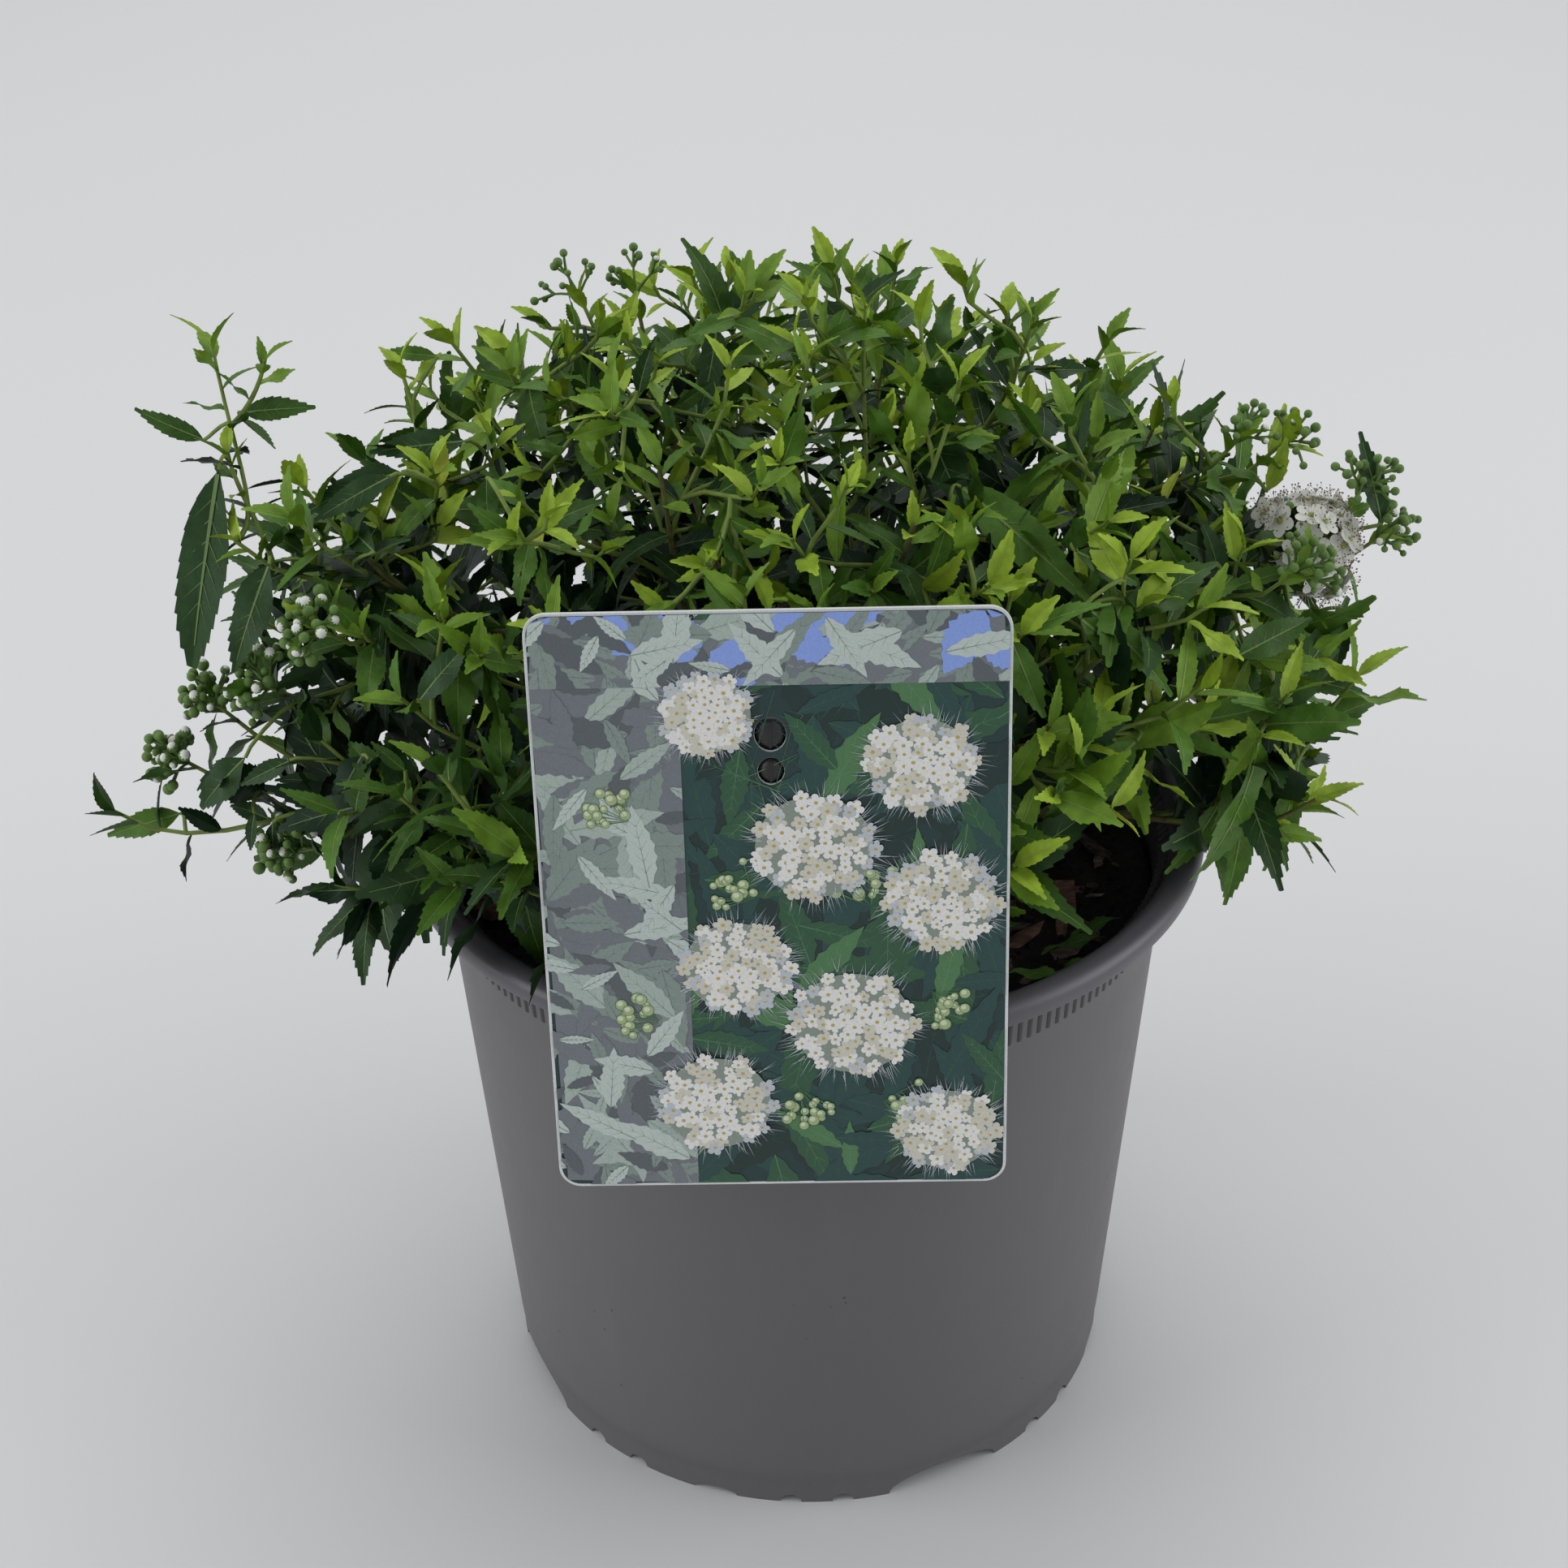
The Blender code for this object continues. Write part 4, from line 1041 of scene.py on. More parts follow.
@dataclass
class Soil:
    """Peat with bark chips and crumbs; the crown lays a few fallen leaves on it."""

    pot: Pot
    level: float = 0.1385
    unevenness: float = 0.0022
    flat_radius: float = 0.0180
    waves_from: float = 0.0120
    edge_drop: float = 0.0040
    crumb_height: float = 0.0011
    rings: int = 44
    sides: int = 150
    edge_width: float = 0.0022
    edge_fade: float = 0.0040
    crumb_waves: float = 260.0
    litter_from: float = 0.0160
    litter_radius: float = 0.0795
    litter_lift: float = 0.0002
    chips: Litter = Litter(4400.0, 0.0050, 0.0210, 0.5)
    crumbs: Litter = Litter(70000.0, 0.0008, 0.0030, 3.0)
    peat: Peat = Peat()
    chip_finishes: tuple[Chip, ...] = (
        Chip("bark_chip_red", (0.110, 0.052, 0.038), (0.235, 0.128, 0.098)),
        Chip("bark_chip_brown", (0.030, 0.019, 0.015), (0.090, 0.062, 0.048)),
        Chip("bark_chip_grey", (0.105, 0.080, 0.068), (0.250, 0.195, 0.165)),
    )
    crumb_finish: Chip = Chip("peat_crumb", (0.0035, 0.0026, 0.0022), (0.014, 0.010, 0.008))

    def wave(self, x: float, y: float) -> float:
        """The surface's height over its level, flat under the root crown.

        Args:
            x: The place's distance to the right of the pot's axis.
            y: Its distance behind the axis.

        Returns:
            The height.
        """
        away = clamp((math.hypot(x, y) - self.flat_radius) / self.waves_from)
        swell = math.sin(95 * x + 1.3) * math.cos(82 * y - 0.4)
        swell += 0.6 * math.sin(170 * x - 140 * y)
        return self.unevenness * away * swell / 1.6

    def body(self) -> Mesh:
        """The whole fill of the pot, with a crumbly top.

        Returns:
            The closed mesh.
        """
        floor = self.pot.floor_rise + self.pot.wall + GAP
        top_radius = self.pot.inner(self.level) - 2 * GAP
        points = [
            (0.0, floor),
            (self.pot.inner(floor) - 2 * GAP, floor),
            (top_radius, self.level - self.edge_drop),
        ]
        inner = top_radius - self.edge_width
        points += [(inner * (1 - ring / self.rings), self.level) for ring in range(self.rings + 1)]
        mesh = lathe(points, self.sides)
        for vert in mesh.vertices:
            x, y, z = vert.co
            if z > self.level - 1e-5:
                rough = noise.fractal(Vector((x, y, 0.0)) * self.crumb_waves, 0.8, 2.1, 4)
                fade = min(1.0, (top_radius - math.hypot(x, y)) / self.edge_fade)
                vert.co.z += self.wave(x, y) + self.crumb_height * rough * fade
        return smooth(mesh, 60.0)

    def top_disc(self) -> Mesh:
        """A disc on the soil's surface, for the litter to lie on.

        Returns:
            The disc, with a hole for the root crown.
        """
        bm = bmesh.new()
        bmesh.ops.create_grid(bm, x_segments=40, y_segments=40, size=self.litter_radius)
        bare = [v for v in bm.verts if not self.litter_from <= v.co.xy.length <= self.litter_radius]
        bmesh.ops.delete(bm, geom=bare, context="VERTS")
        for vert in bm.verts:
            vert.co.z = self.level + self.wave(vert.co.x, vert.co.y) + self.litter_lift
        return mesh_from(bm)

    @staticmethod
    def chip(seed: int, flatness: float, slimness: float) -> Mesh:
        """A broken chip of unit length.

        Args:
            seed: Which chip.
            flatness: Its thickness as a share of its length.
            slimness: Its width as a share of its length.

        Returns:
            A closed mesh of a few dozen faces.
        """
        chance = random.Random(seed)
        bm = bmesh.new()
        bmesh.ops.create_icosphere(bm, subdivisions=1, radius=0.5)
        for vert in bm.verts:
            shift = chance.uniform(0.72, 1.22)
            vert.co = Vector((vert.co.x, vert.co.y * slimness, vert.co.z * flatness)) * shift
        return mesh_from(bm)

    def strewn(
        self, shapes: Sequence[Mesh], finish: Chip, kind: Litter, seed: int
    ) -> Mesh:
        """Litter on the soil's surface.

        Args:
            shapes: What is strewn.
            finish: What it is made of.
            kind: How it lies.
            seed: Which of the many ways to strew it.

        Returns:
            The litter as one plain mesh.
        """
        sizes = {"Smallest": kind.smallest, "Largest": kind.largest, "Tilt": kind.tilt}
        with shape_box(shapes) as box:
            values = {"Density": kind.per_m2, "Seed": seed, "Shapes": box}
            return litter_recipe().cast(self.top_disc(), finish, **values, **sizes)

    def build(self) -> None:
        """Makes the bed, its chips and its crumbs."""
        show("soil_bed", self.body(), self.peat, ["soil"])
        shapes = [self.chip(seed, 0.15, 0.22 + 0.04 * seed) for seed in range(6)]
        finishes = enumerate(self.chip_finishes, 3)
        parts = [self.strewn(shapes, finish, self.chips, seed) for seed, finish in finishes]
        show("bark_chips", joined(parts))
        shapes = [self.chip(20 + seed, 0.7, 0.85) for seed in range(4)]
        crumbs = self.strewn(shapes, self.crumb_finish, self.crumbs, 9)
        show("peat_crumbs", crumbs)


# Label


class Shade(Enum):
    """The inks of the label's print, each with its plain colour."""

    GROUND = (0.012, 0.040, 0.040)
    DEEP = (0.008, 0.030, 0.026)
    TEAL = (0.016, 0.062, 0.058)
    LEAF = (0.026, 0.095, 0.046)
    BRIGHT = (0.075, 0.200, 0.075)
    VEIN = (0.120, 0.240, 0.130)
    BAND = (0.175, 0.195, 0.215)
    BAND_LEAF = (0.235, 0.300, 0.265)
    BAND_PALE = (0.400, 0.480, 0.430)
    BAND_LIGHT = (0.520, 0.600, 0.560)
    BAND_DEEP = (0.105, 0.125, 0.135)
    SKY = (0.250, 0.370, 0.800)
    PETAL = (0.800, 0.800, 0.770)
    PETAL_WARM = (0.640, 0.620, 0.530)
    PETAL_COOL = (0.520, 0.560, 0.600)
    PETAL_SHADE = (0.250, 0.300, 0.250)
    CENTRE = (0.480, 0.400, 0.120)
    BUD = (0.360, 0.460, 0.230)
    BUD_LIGHT = (0.640, 0.700, 0.480)
    BUD_SHADE = (0.085, 0.160, 0.060)


VEIN_INKS = {
    Shade.DEEP: Shade.TEAL,
    Shade.TEAL: Shade.LEAF,
    Shade.LEAF: Shade.BRIGHT,
    Shade.BRIGHT: Shade.VEIN,
    Shade.BAND_LEAF: Shade.BAND,
    Shade.BAND_PALE: Shade.BAND_LEAF,
    Shade.BAND_LIGHT: Shade.BAND_LEAF,
}


def turned(at: Point2, angle: float, outline: Iterable[Point2]) -> list[Point2]:
    """An outline turned by an angle, with its origin moved to a place."""
    c, s = math.cos(angle), math.sin(angle)
    return [(at[0] + u * c - v * s, at[1] + u * s + v * c) for u, v in outline]


def oval(at: Point2, half_width: float, half_height: float, steps: int) -> list[Point2]:
    """The outline of an ellipse."""
    turns = [math.tau * step / steps for step in range(steps)]
    return [(at[0] + half_width * math.cos(t), at[1] + half_height * math.sin(t)) for t in turns]


def bristle(at: Point2, angle: float, length: float, half: float) -> list[Point2]:
    """The outline of a thin hair from its foot."""
    return turned(at, angle, ((0.0, half), (0.0, -half), (length, 0.0)))


def rounded(width: float, height: float, radius: float, steps: int = 8) -> list[Point2]:
    """The outline of a rectangle with round corners.

    Args:
        width: The rectangle's width.
        height: Its height.
        radius: The corners' radius.
        steps: How many sides a corner has.

    Returns:
        The outline.
    """
    points = []
    for quarter, (side_x, side_y) in enumerate(((1, 1), (-1, 1), (-1, -1), (1, -1))):
        middle = side_x * (width / 2 - radius), side_y * (height / 2 - radius)
        for step in range(steps + 1):
            turn = (quarter + step / steps) * math.pi / 2
            point = middle[0] + radius * math.cos(turn), middle[1] + radius * math.sin(turn)
            points.append(point)
    return points


def toothed_leaf(at: Point2, angle: float, length: float, width: float) -> list[Point2]:
    """The outline of a toothed leaf.

    Args:
        at: The place of its foot.
        angle: Where its tip points.
        length: Its length.
        width: Its width.

    Returns:
        The outline.
    """
    steps = 14
    upper = []
    for step in range(1, steps):
        t = step / steps
        half = width / 2 * math.sin(math.pi * t**0.8) * (1.10 if step % 2 else 0.90)
        upper.append((t * length, half))
    lower = [(u, -half) for u, half in upper]
    return turned(at, angle, [(0.0, 0.0), *lower, (length, 0.0), *reversed(upper)])


def floret(at: Point2, angle: float, radius: float, squash: float) -> list[Point2]:
    """The outline of a five-petalled flower, seen a little from one side.

    Args:
        at: The place of its middle.
        angle: How it is turned.
        radius: Its radius.
        squash: Its height as a share of its width.

    Returns:
        The outline.
    """
    steps = 30
    outline = []
    for step in range(steps):
        t = math.tau * step / steps
        reach = radius * (0.62 + 0.38 * abs(math.cos(2.5 * t)) ** 0.7)
        outline.append((reach * math.cos(t), reach * math.sin(t) * squash))
    return turned(at, angle, outline)


@dataclass
class PrintSheet:
    """Flat inked shapes on the label's face, each a hair over the last."""

    half_width: float
    half_height: float
    corner: float
    card: float
    holes: list[Point3]
    pen: float = 0.0
    step: float = 0.0000004
    window: tuple[float, float, float, float] | None = None
    shapes: list[tuple[Shade, list[Point2], float]] = field(default_factory=list)

    def clipped(self, points: list[Point2]) -> list[Point2]:
        """An outline cut to the printed area, or to the window in it.

        Args:
            points: The outline.

        Returns:
            What is left of it, which may be nothing.
        """
        whole = (-self.half_width, self.half_width, -self.half_height, self.half_height)
        left, right, low, high = self.window or whole
        limits = ((1, 0, right), (-1, 0, -left), (0, 1, high), (0, -1, -low))
        for nx, ny, limit in limits:
            kept: list[Point2] = []
            for number, (x, y) in enumerate(points):
                before_x, before_y = points[number - 1]
                here = nx * x + ny * y - limit
                before = nx * before_x + ny * before_y - limit
                if here * before < 0:
                    share = before / (before - here)
                    crossing = before_x + (x - before_x) * share, before_y + (y - before_y) * share
                    kept.append(crossing)
                if here <= 0:
                    kept.append((x, y))
            points = kept
            if len(points) < 3:
                return []
        return points

    def in_corner(self, x: float, y: float) -> Point2:
        """A point, pulled back to the card's round corner where it lies past it.

        Args:
            x: The point's place across.
            y: Its place upwards.

        Returns:
            The point.
        """
        mid_x, mid_y = self.half_width - self.corner, self.half_height - self.corner
        past_x, past_y = abs(x) - mid_x, abs(y) - mid_y
        pull = self.corner / max(self.corner, math.hypot(past_x, past_y))
        if min(past_x, past_y) <= 0 or pull == 1:
            return x, y
        return math.copysign(mid_x + past_x * pull, x), math.copysign(mid_y + past_y * pull, y)

    def add(self, shade: Shade, points: list[Point2], lifts: int = 0) -> None:
        """Inks one outline on top of what is there, unless it meets a hole.

        Args:
            shade: The ink.
            points: The outline.
            lifts: How many hairs the pen is lifted by first.
        """
        self.pen += lifts * self.step
        points = self.clipped(points)
        for middle, a, b in self.holes:
            if any((x / a) ** 2 + ((y - middle) / b) ** 2 < 1 for x, y in points):
                return
        if points:
            self.shapes.append((shade, points, self.card + self.pen))

    def mesh(self, place: Matrix) -> Mesh:
        """All the shapes as one mesh, a finish for each ink.

        Args:
            place: The sheet's place and turn.

        Returns:
            The mesh.
        """
        inks = list(Shade)
        bm = bmesh.new()
        for shade, points, level in self.shapes:
            outline = [self.in_corner(x, y) for x, y in points]
            face = bm.faces.new([bm.verts.new((x, y, level)) for x, y in outline])
            face.material_index = inks.index(shade)
            if self.area(outline) < 0:
                face.normal_flip()
        mesh = mesh_from(bm)
        for shade in inks:
            mesh.materials.append(Ink(f"ink_{shade.name.lower()}", shade.value).material())
        mesh.transform(place)
        return mesh

    @staticmethod
    def area(points: Sequence[Point2]) -> float:
        """An outline's signed area."""
        pairs = zip(points, [*points[1:], points[0]])
        return sum(ax * by - bx * ay for (ax, ay), (bx, by) in pairs) / 2


@dataclass
class Artwork:
    """The label's generic print: leaves, a pale band, sprigs of buds and domes of blossom.

    A dome is placed by its middle and radius, and a sprig by its foot and direction.
    """

    sheet: PrintSheet
    band_top: float
    band_side: float
    chance: random.Random
    squash: float = 0.92
    sky_leaves: tuple[int, int] = (76, 96)
    light_from: float = 0.88
    cluster_hairs: int = 130
    cluster_florets: int = 66
    sprig_buds: int = 17
    clusters: tuple[Point3, ...] = (
        (0.0290, 0.0310, 0.0118),
        (0.0080, 0.0140, 0.0135),
        (0.0330, 0.0020, 0.0125),
        (-0.0080, -0.0120, 0.0122),
        (0.0150, -0.0250, 0.0140),
        (-0.0130, -0.0430, 0.0130),
        (0.0340, -0.0500, 0.0115),
        (-0.0120, 0.0420, 0.0098),
    )
    sprigs: tuple[Point3, ...] = (
        (0.0190, 0.0010, 1.9),
        (-0.0040, 0.0030, 2.6),
        (0.0310, -0.0180, -0.9),
        (0.0040, -0.0400, -1.2),
        (-0.0240, -0.0240, 2.9),
        (0.0210, -0.0430, -0.3),
        (-0.0280, 0.0200, 2.4),
    )

    def leaf(self, shade: Shade, at: Point2, angle: float, length: float, width: float) -> None:
        """Inks a leaf, with a midrib and side veins where its shade has them.

        Args:
            shade: The leaf's ink.
            at: The place of its foot.
            angle: Where its tip points.
            length: Its length.
            width: Its width.
        """
        self.sheet.add(shade, toothed_leaf(at, angle, length, width), 1)
        if shade not in VEIN_INKS:
            return
        shade = VEIN_INKS[shade]
        self.sheet.add(shade, bristle(at, angle, length * 0.93, 0.00013), 1)
        c, s = math.cos(angle), math.sin(angle)
        for number in range(5):
            out = length * (0.18 + 0.14 * number)
            foot = at[0] + c * out, at[1] + s * out
            for side in (-1, 1):
                self.sheet.add(shade, bristle(foot, angle + side * 0.65, length * 0.17, 0.00006))

    def leaves(self) -> None:
        """Inks the ground: leaves at all angles, deep ones first."""
        layers = (
            (120, (Shade.DEEP, Shade.TEAL), 0.034),
            (90, (Shade.TEAL, Shade.LEAF), 0.026),
            (60, (Shade.LEAF, Shade.BRIGHT, Shade.TEAL), 0.021),
        )
        draw = self.chance.uniform
        w, h = self.sheet.half_width, self.sheet.half_height
        for count, shades, longest in layers:
            for _ in range(count):
                at = draw(-0.6, 1.1) * w, draw(-1.1, 0.9) * h
                angle, length = draw(0, math.tau), longest * draw(0.6, 1.1)
                shade = self.chance.choice(shades)
                self.leaf(shade, at, angle, length, length * draw(0.22, 0.34))

    def band(self) -> None:
        """Inks the pale band along the top and down the left side, full of faint leaves."""
        w, h = self.sheet.half_width, self.sheet.half_height
        top, side = self.band_top, self.band_side
        shades = (Shade.BAND_DEEP, Shade.BAND, Shade.BAND_LEAF, Shade.BAND_LEAF, Shade.BAND_PALE)
        pen, draw = self.sheet.pen, self.chance.uniform
        for window, count in (((-w, w, top, h), 150), ((-w, side, -h, top), 210)):
            left, right, low, high = window
            self.sheet.window, self.sheet.pen = window, pen
            self.sheet.add(Shade.BAND, [(left, low), (right, low), (right, high), (left, high)], 1)
            for number in range(count):
                x, y = draw(left, right), draw(low, high)
                angle, length = draw(0, math.tau), draw(0.007, 0.019)
                width = length * draw(0.22, 0.36)
                shade = self.chance.choice(shades)
                if number in range(*self.sky_leaves) and low == top:
                    y = high - self.chance.random() * 0.007
                    shade, width = Shade.SKY, length * 0.6
                elif number > count * self.light_from:
                    shade = Shade.BAND_LIGHT
                self.leaf(shade, (x, y), angle, length, width)
        self.sheet.window = None

    def cluster(self, spot: Point3) -> None:
        """Inks one dome of blossom: a shaded ground, hairs round it, and florets from its edge in.

        Args:
            spot: The place of its middle, and its radius.
        """
        x, y, radius = spot
        draw = self.chance.uniform

        def away(angle: float, out: float) -> Point2:
            """A place in the dome, at an angle and a distance from its middle."""
            return x + out * math.cos(angle), y + out * math.sin(angle) * self.squash

        self.sheet.add(Shade.PETAL_SHADE, oval((x, y), radius * 0.86, radius * 0.80, 28), 1)
        for number in range(self.cluster_hairs):
            angle = draw(0, math.tau)
            foot = away(angle, radius * draw(0.75, 0.95))
            hair = bristle(foot, angle + draw(-0.4, 0.4), radius * draw(0.16, 0.36), 0.00007)
            self.sheet.add(Shade.PETAL_COOL, hair, int(number == 0))
        shades = (Shade.PETAL, Shade.PETAL, Shade.PETAL_WARM, Shade.PETAL_COOL)
        for number in range(self.cluster_florets):
            share = 1 - (number + 0.5) / self.cluster_florets
            angle = number * GOLDEN_ANGLE + draw(-0.2, 0.2)
            at = away(angle, radius * 0.90 * math.sqrt(share))
            size = draw(0.0015, 0.0021)
            shade = self.chance.choice(shades[1:] if share > 0.6 else shades[:3])
            self.sheet.add(shade, floret(at, draw(0, math.tau), size, draw(0.7, 1.0)), 1)
            self.sheet.add(Shade.CENTRE, oval(at, size * 0.22, size * 0.20, 7), 1)

    def sprig(self, spot: Point3) -> None:
        """Inks one sprig of round buds on thin stalks.

        Args:
            spot: The place of its foot, and where it points.
        """
        x, y, angle = spot
        for _ in range(self.sprig_buds):
            out = 0.0012 + 0.0075 * math.sqrt(self.chance.random())
            swing = angle + self.chance.uniform(-0.9, 0.9)
            at = x + out * math.cos(swing), y + out * math.sin(swing)
            back = math.atan2(y - at[1], x - at[0])
            size = self.chance.uniform(0.0007, 0.0012)
            light = at[0] - size * 0.2, at[1] + size * 0.25
            self.sheet.add(Shade.BRIGHT, bristle(at, back, out, 0.00012), 1)
            self.sheet.add(Shade.BUD_SHADE, oval(at, size * 1.12, size * 1.12, 12), 1)
            self.sheet.add(Shade.BUD, oval(at, size, size, 12), 1)
            self.sheet.add(Shade.BUD_LIGHT, oval(light, size * 0.55, size * 0.5, 9), 1)

    def fill(self) -> None:
        """Inks the whole sheet, from the ground up."""
        self.leaves()
        self.band()
        over_leaves = self.sheet.pen
        for spot in self.sprigs:
            self.sheet.pen = over_leaves
            self.sprig(spot)
        over_leaves += 80 * self.sheet.step
        for number, spot in enumerate(self.clusters):
            self.sheet.pen = over_leaves + 140 * self.sheet.step * (number % 3)
            self.cluster(spot)
        log.info("label print: %d shapes", len(self.sheet.shapes))


@dataclass
class Label:
    """The picture label: a thin leaning card with a generic print of blossom and leaves."""

    width: float = 0.0928
    height: float = 0.1254
    thickness: float = 0.0008
    corner: float = 0.0045
    margin: float = 0.0006
    centre: Point3 = (-0.0067, -0.0908, 0.1852)
    lean: float = math.radians(9.3)
    turn: float = math.radians(-1.2)
    tilt: float = math.radians(0.6)
    holes: tuple[Point3, ...] = ((0.0376, 0.0031, 0.0035), (0.0300, 0.0026, 0.0028))
    band_top: float = 0.0150
    band_side: float = 0.0290
    card: Ink = Ink("label_card_white", (0.70, 0.72, 0.72), 0.30)
    edge: float = 0.0001
    ground_lift: float = 0.00001
    print_lift: float = 0.00002
    ground_gap: float = 0.00005
    print_gap: float = 0.0001
    seed: int = 41

    def frame(self) -> Matrix:
        """The label's own axes in its middle: right, up its face, and out to the front.

        Returns:
            The axes as a matrix.
        """
        lean = Matrix.Rotation(math.pi / 2 - self.lean, 4, "X")
        turn = Matrix.Rotation(self.turn, 4, "Z")
        tilt = Matrix.Rotation(self.tilt, 4, "Z")
        return Matrix.Translation(self.centre) @ turn @ lean @ tilt

    def outlines(self, inset: float, wider: float) -> list[list[Point2]]:
        """The card's outline and those of its holes.

        Args:
            inset: How far inside the card's edge the outline lies.
            wider: How much wider the holes are.

        Returns:
            The outlines, the card's own first.
        """
        whole = rounded(self.width - 2 * inset, self.height - 2 * inset, self.corner - inset)
        return [whole, *(oval((0.0, y), a + wider, b + wider, 32) for y, a, b in self.holes)]

    def build(self) -> None:
        """Makes the white card and its print."""
        front, edge = self.thickness / 2, self.edge
        rim = {"extrude": front - edge, "bevel_depth": edge, "offset": -edge}
        card = cut_sheet(self.outlines(0, 0), self.frame(), fill_mode="BOTH", **rim)
        bm = bmesh.new()
        bm.from_mesh(card)
        show("label_card", mesh_from(closed(bm)), self.card, ["label"])
        place = self.frame() @ Matrix.Translation((0, 0, front + self.ground_lift))
        ground = self.outlines(self.margin, self.ground_gap)
        base = cut_sheet(ground, place, fill_mode="FRONT")
        base.materials.clear()
        base.materials.append(Ink("ink_ground", Shade.GROUND.value).material())
        half_width, half_height = self.width / 2 - self.margin, self.height / 2 - self.margin
        holes = [(y, a + self.print_gap, b + self.print_gap) for y, a, b in self.holes]
        corner, level = self.corner - self.margin, front + self.print_lift
        sheet = PrintSheet(half_width, half_height, corner, level, holes)
        band = self.height / 2 - self.band_top, -self.width / 2 + self.band_side
        Artwork(sheet, *band, random.Random(self.seed)).fill()
        show("label_print", joined([base, sheet.mesh(self.frame())]))


def softened(boxes: Sequence[tuple[Sequence[float], Sequence[float]]], bevel: float) -> Mesh:
    """Boxes with softened edges.

    Args:
        boxes: Middle and size of each box.
        bevel: How wide the softened edges are.

    Returns:
        The boxes as one mesh.
    """
    bm = bmesh.new()
    for middle, size in boxes:
        corners = bmesh.ops.create_cube(bm, size=1.0)["verts"]
        bmesh.ops.scale(bm, verts=corners, vec=size)
        bmesh.ops.translate(bm, verts=corners, vec=middle)
    bmesh.ops.bevel(bm, geom=bm.edges[:], offset=bevel, segments=2, affect="EDGES")
    return mesh_from(bm)


@dataclass
class Holder:
    """The label's holder: a ribbed blade in the soil, and a boss in each of the label's holes."""

    label: Label
    width: float = 0.0130
    thickness: float = 0.0028
    foot: float = 0.1100
    top: float = 0.2262
    centre_x: float = -0.0068
    y_at_rim: float = -0.0799
    rim: float = 0.1557
    lean: float = math.radians(1.58)
    soft_edge: float = 0.0003
    boss_length: float = 0.0042
    boss_play: float = 0.0001
    ridge_width: float = 0.0009
    ridge_share: float = 0.80
    ridge_depth: float = 0.0010
    ridge_sunk: float = 0.00035
    ridge_edge: float = 0.00025
    boss_profile: tuple[Point2, ...] = (
        (0.0, 1.0),
        (0.45, 0.97),
        (0.75, 0.88),
        (0.93, 0.70),
        (1.0, 0.45),
        (1.0, 0.0),
        (0.0, 0.0),
    )
    finish: BlackPlastic = BlackPlastic()

    def frame(self) -> Matrix:
        """The blade's own axes in its middle.

        Returns:
            The axes as a matrix.
        """
        middle = (self.foot + self.top) / 2
        at_rim = Vector((self.centre_x, self.y_at_rim, self.rim))
        lean = Matrix.Rotation(self.lean, 4, "X")
        return Matrix.Translation(at_rim + lean @ UP * (middle - self.rim)) @ lean

    def blade(self) -> Mesh:
        """A flat bar with softened edges and a rib down each side of its back.

        Returns:
            The blade in its place.
        """
        length, side = self.top - self.foot, self.width * 0.42
        bar = (0, -self.thickness * 0.22, 0), (self.width, self.thickness * 0.55, length)
        rib = self.width * 0.16, self.thickness, length
        mesh = softened((bar, ((-side, 0, 0), rib), ((side, 0, 0), rib)), self.soft_edge)
        mesh.transform(self.frame())
        return mesh

    def bosses(self) -> list[Mesh]:
        """A domed plug through each hole, with an upright ridge across its face.

        Returns:
            Plugs and ridges in their places.
        """
        parts = []
        front = self.label.thickness / 2 + GAP
        for y, half_width, half_height in self.label.holes:
            plug = lathe(self.boss_profile, 28)
            place = self.label.frame() @ Matrix.Translation((0, y, front - self.boss_length))
            size = half_width - self.boss_play, half_height - self.boss_play, self.boss_length
            plug.transform(place @ Matrix.Diagonal((*size, 1.0)))
            size = self.ridge_width, 2 * half_height * self.ridge_share, self.ridge_depth
            ridge = softened((((0, 0, 0), size),), self.ridge_edge)
            place = self.label.frame() @ Matrix.Translation((0, y, front - self.ridge_sunk))
            ridge.transform(place)
            parts += [smooth(plug, 50.0), ridge]
        return parts

    def build(self) -> None:
        """Makes blade and bosses as one piece."""
        parts = [self.blade(), *self.bosses()]
        whole = smooth(joined(parts), 40.0)
        show("label_holder_blade", whole, self.finish, ["label_holder"])


# Plant


class Tip(Enum):
    """What a shoot carries at its end."""

    LEAFY = "leafy"
    BUDS = "buds"
    FLOWERS = "flowers"


Target = tuple[Vector, Tip]


class Age(Enum):
    """Ages and kinds of leaf, each with the plain colour of its group. SHADE is painted shade, the
    colour of leaves that lie in shade.
    """

    TIP = (0.265, 0.385, 0.026)
    YOUNG = (0.135, 0.248, 0.018)
    FRESH = (0.066, 0.155, 0.015)
    MATURE = (0.032, 0.088, 0.009)
    DEEP = (0.016, 0.051, 0.010)
    # painted shade: the colour of a leaf that lies in shade
    SHADE = (0.008, 0.029, 0.010)
    GOLD = (0.360, 0.420, 0.040)
    BROWN = (0.045, 0.026, 0.012)


LEAF_ORDER = (Age.TIP, Age.YOUNG, Age.FRESH, Age.MATURE, Age.DEEP, Age.SHADE)


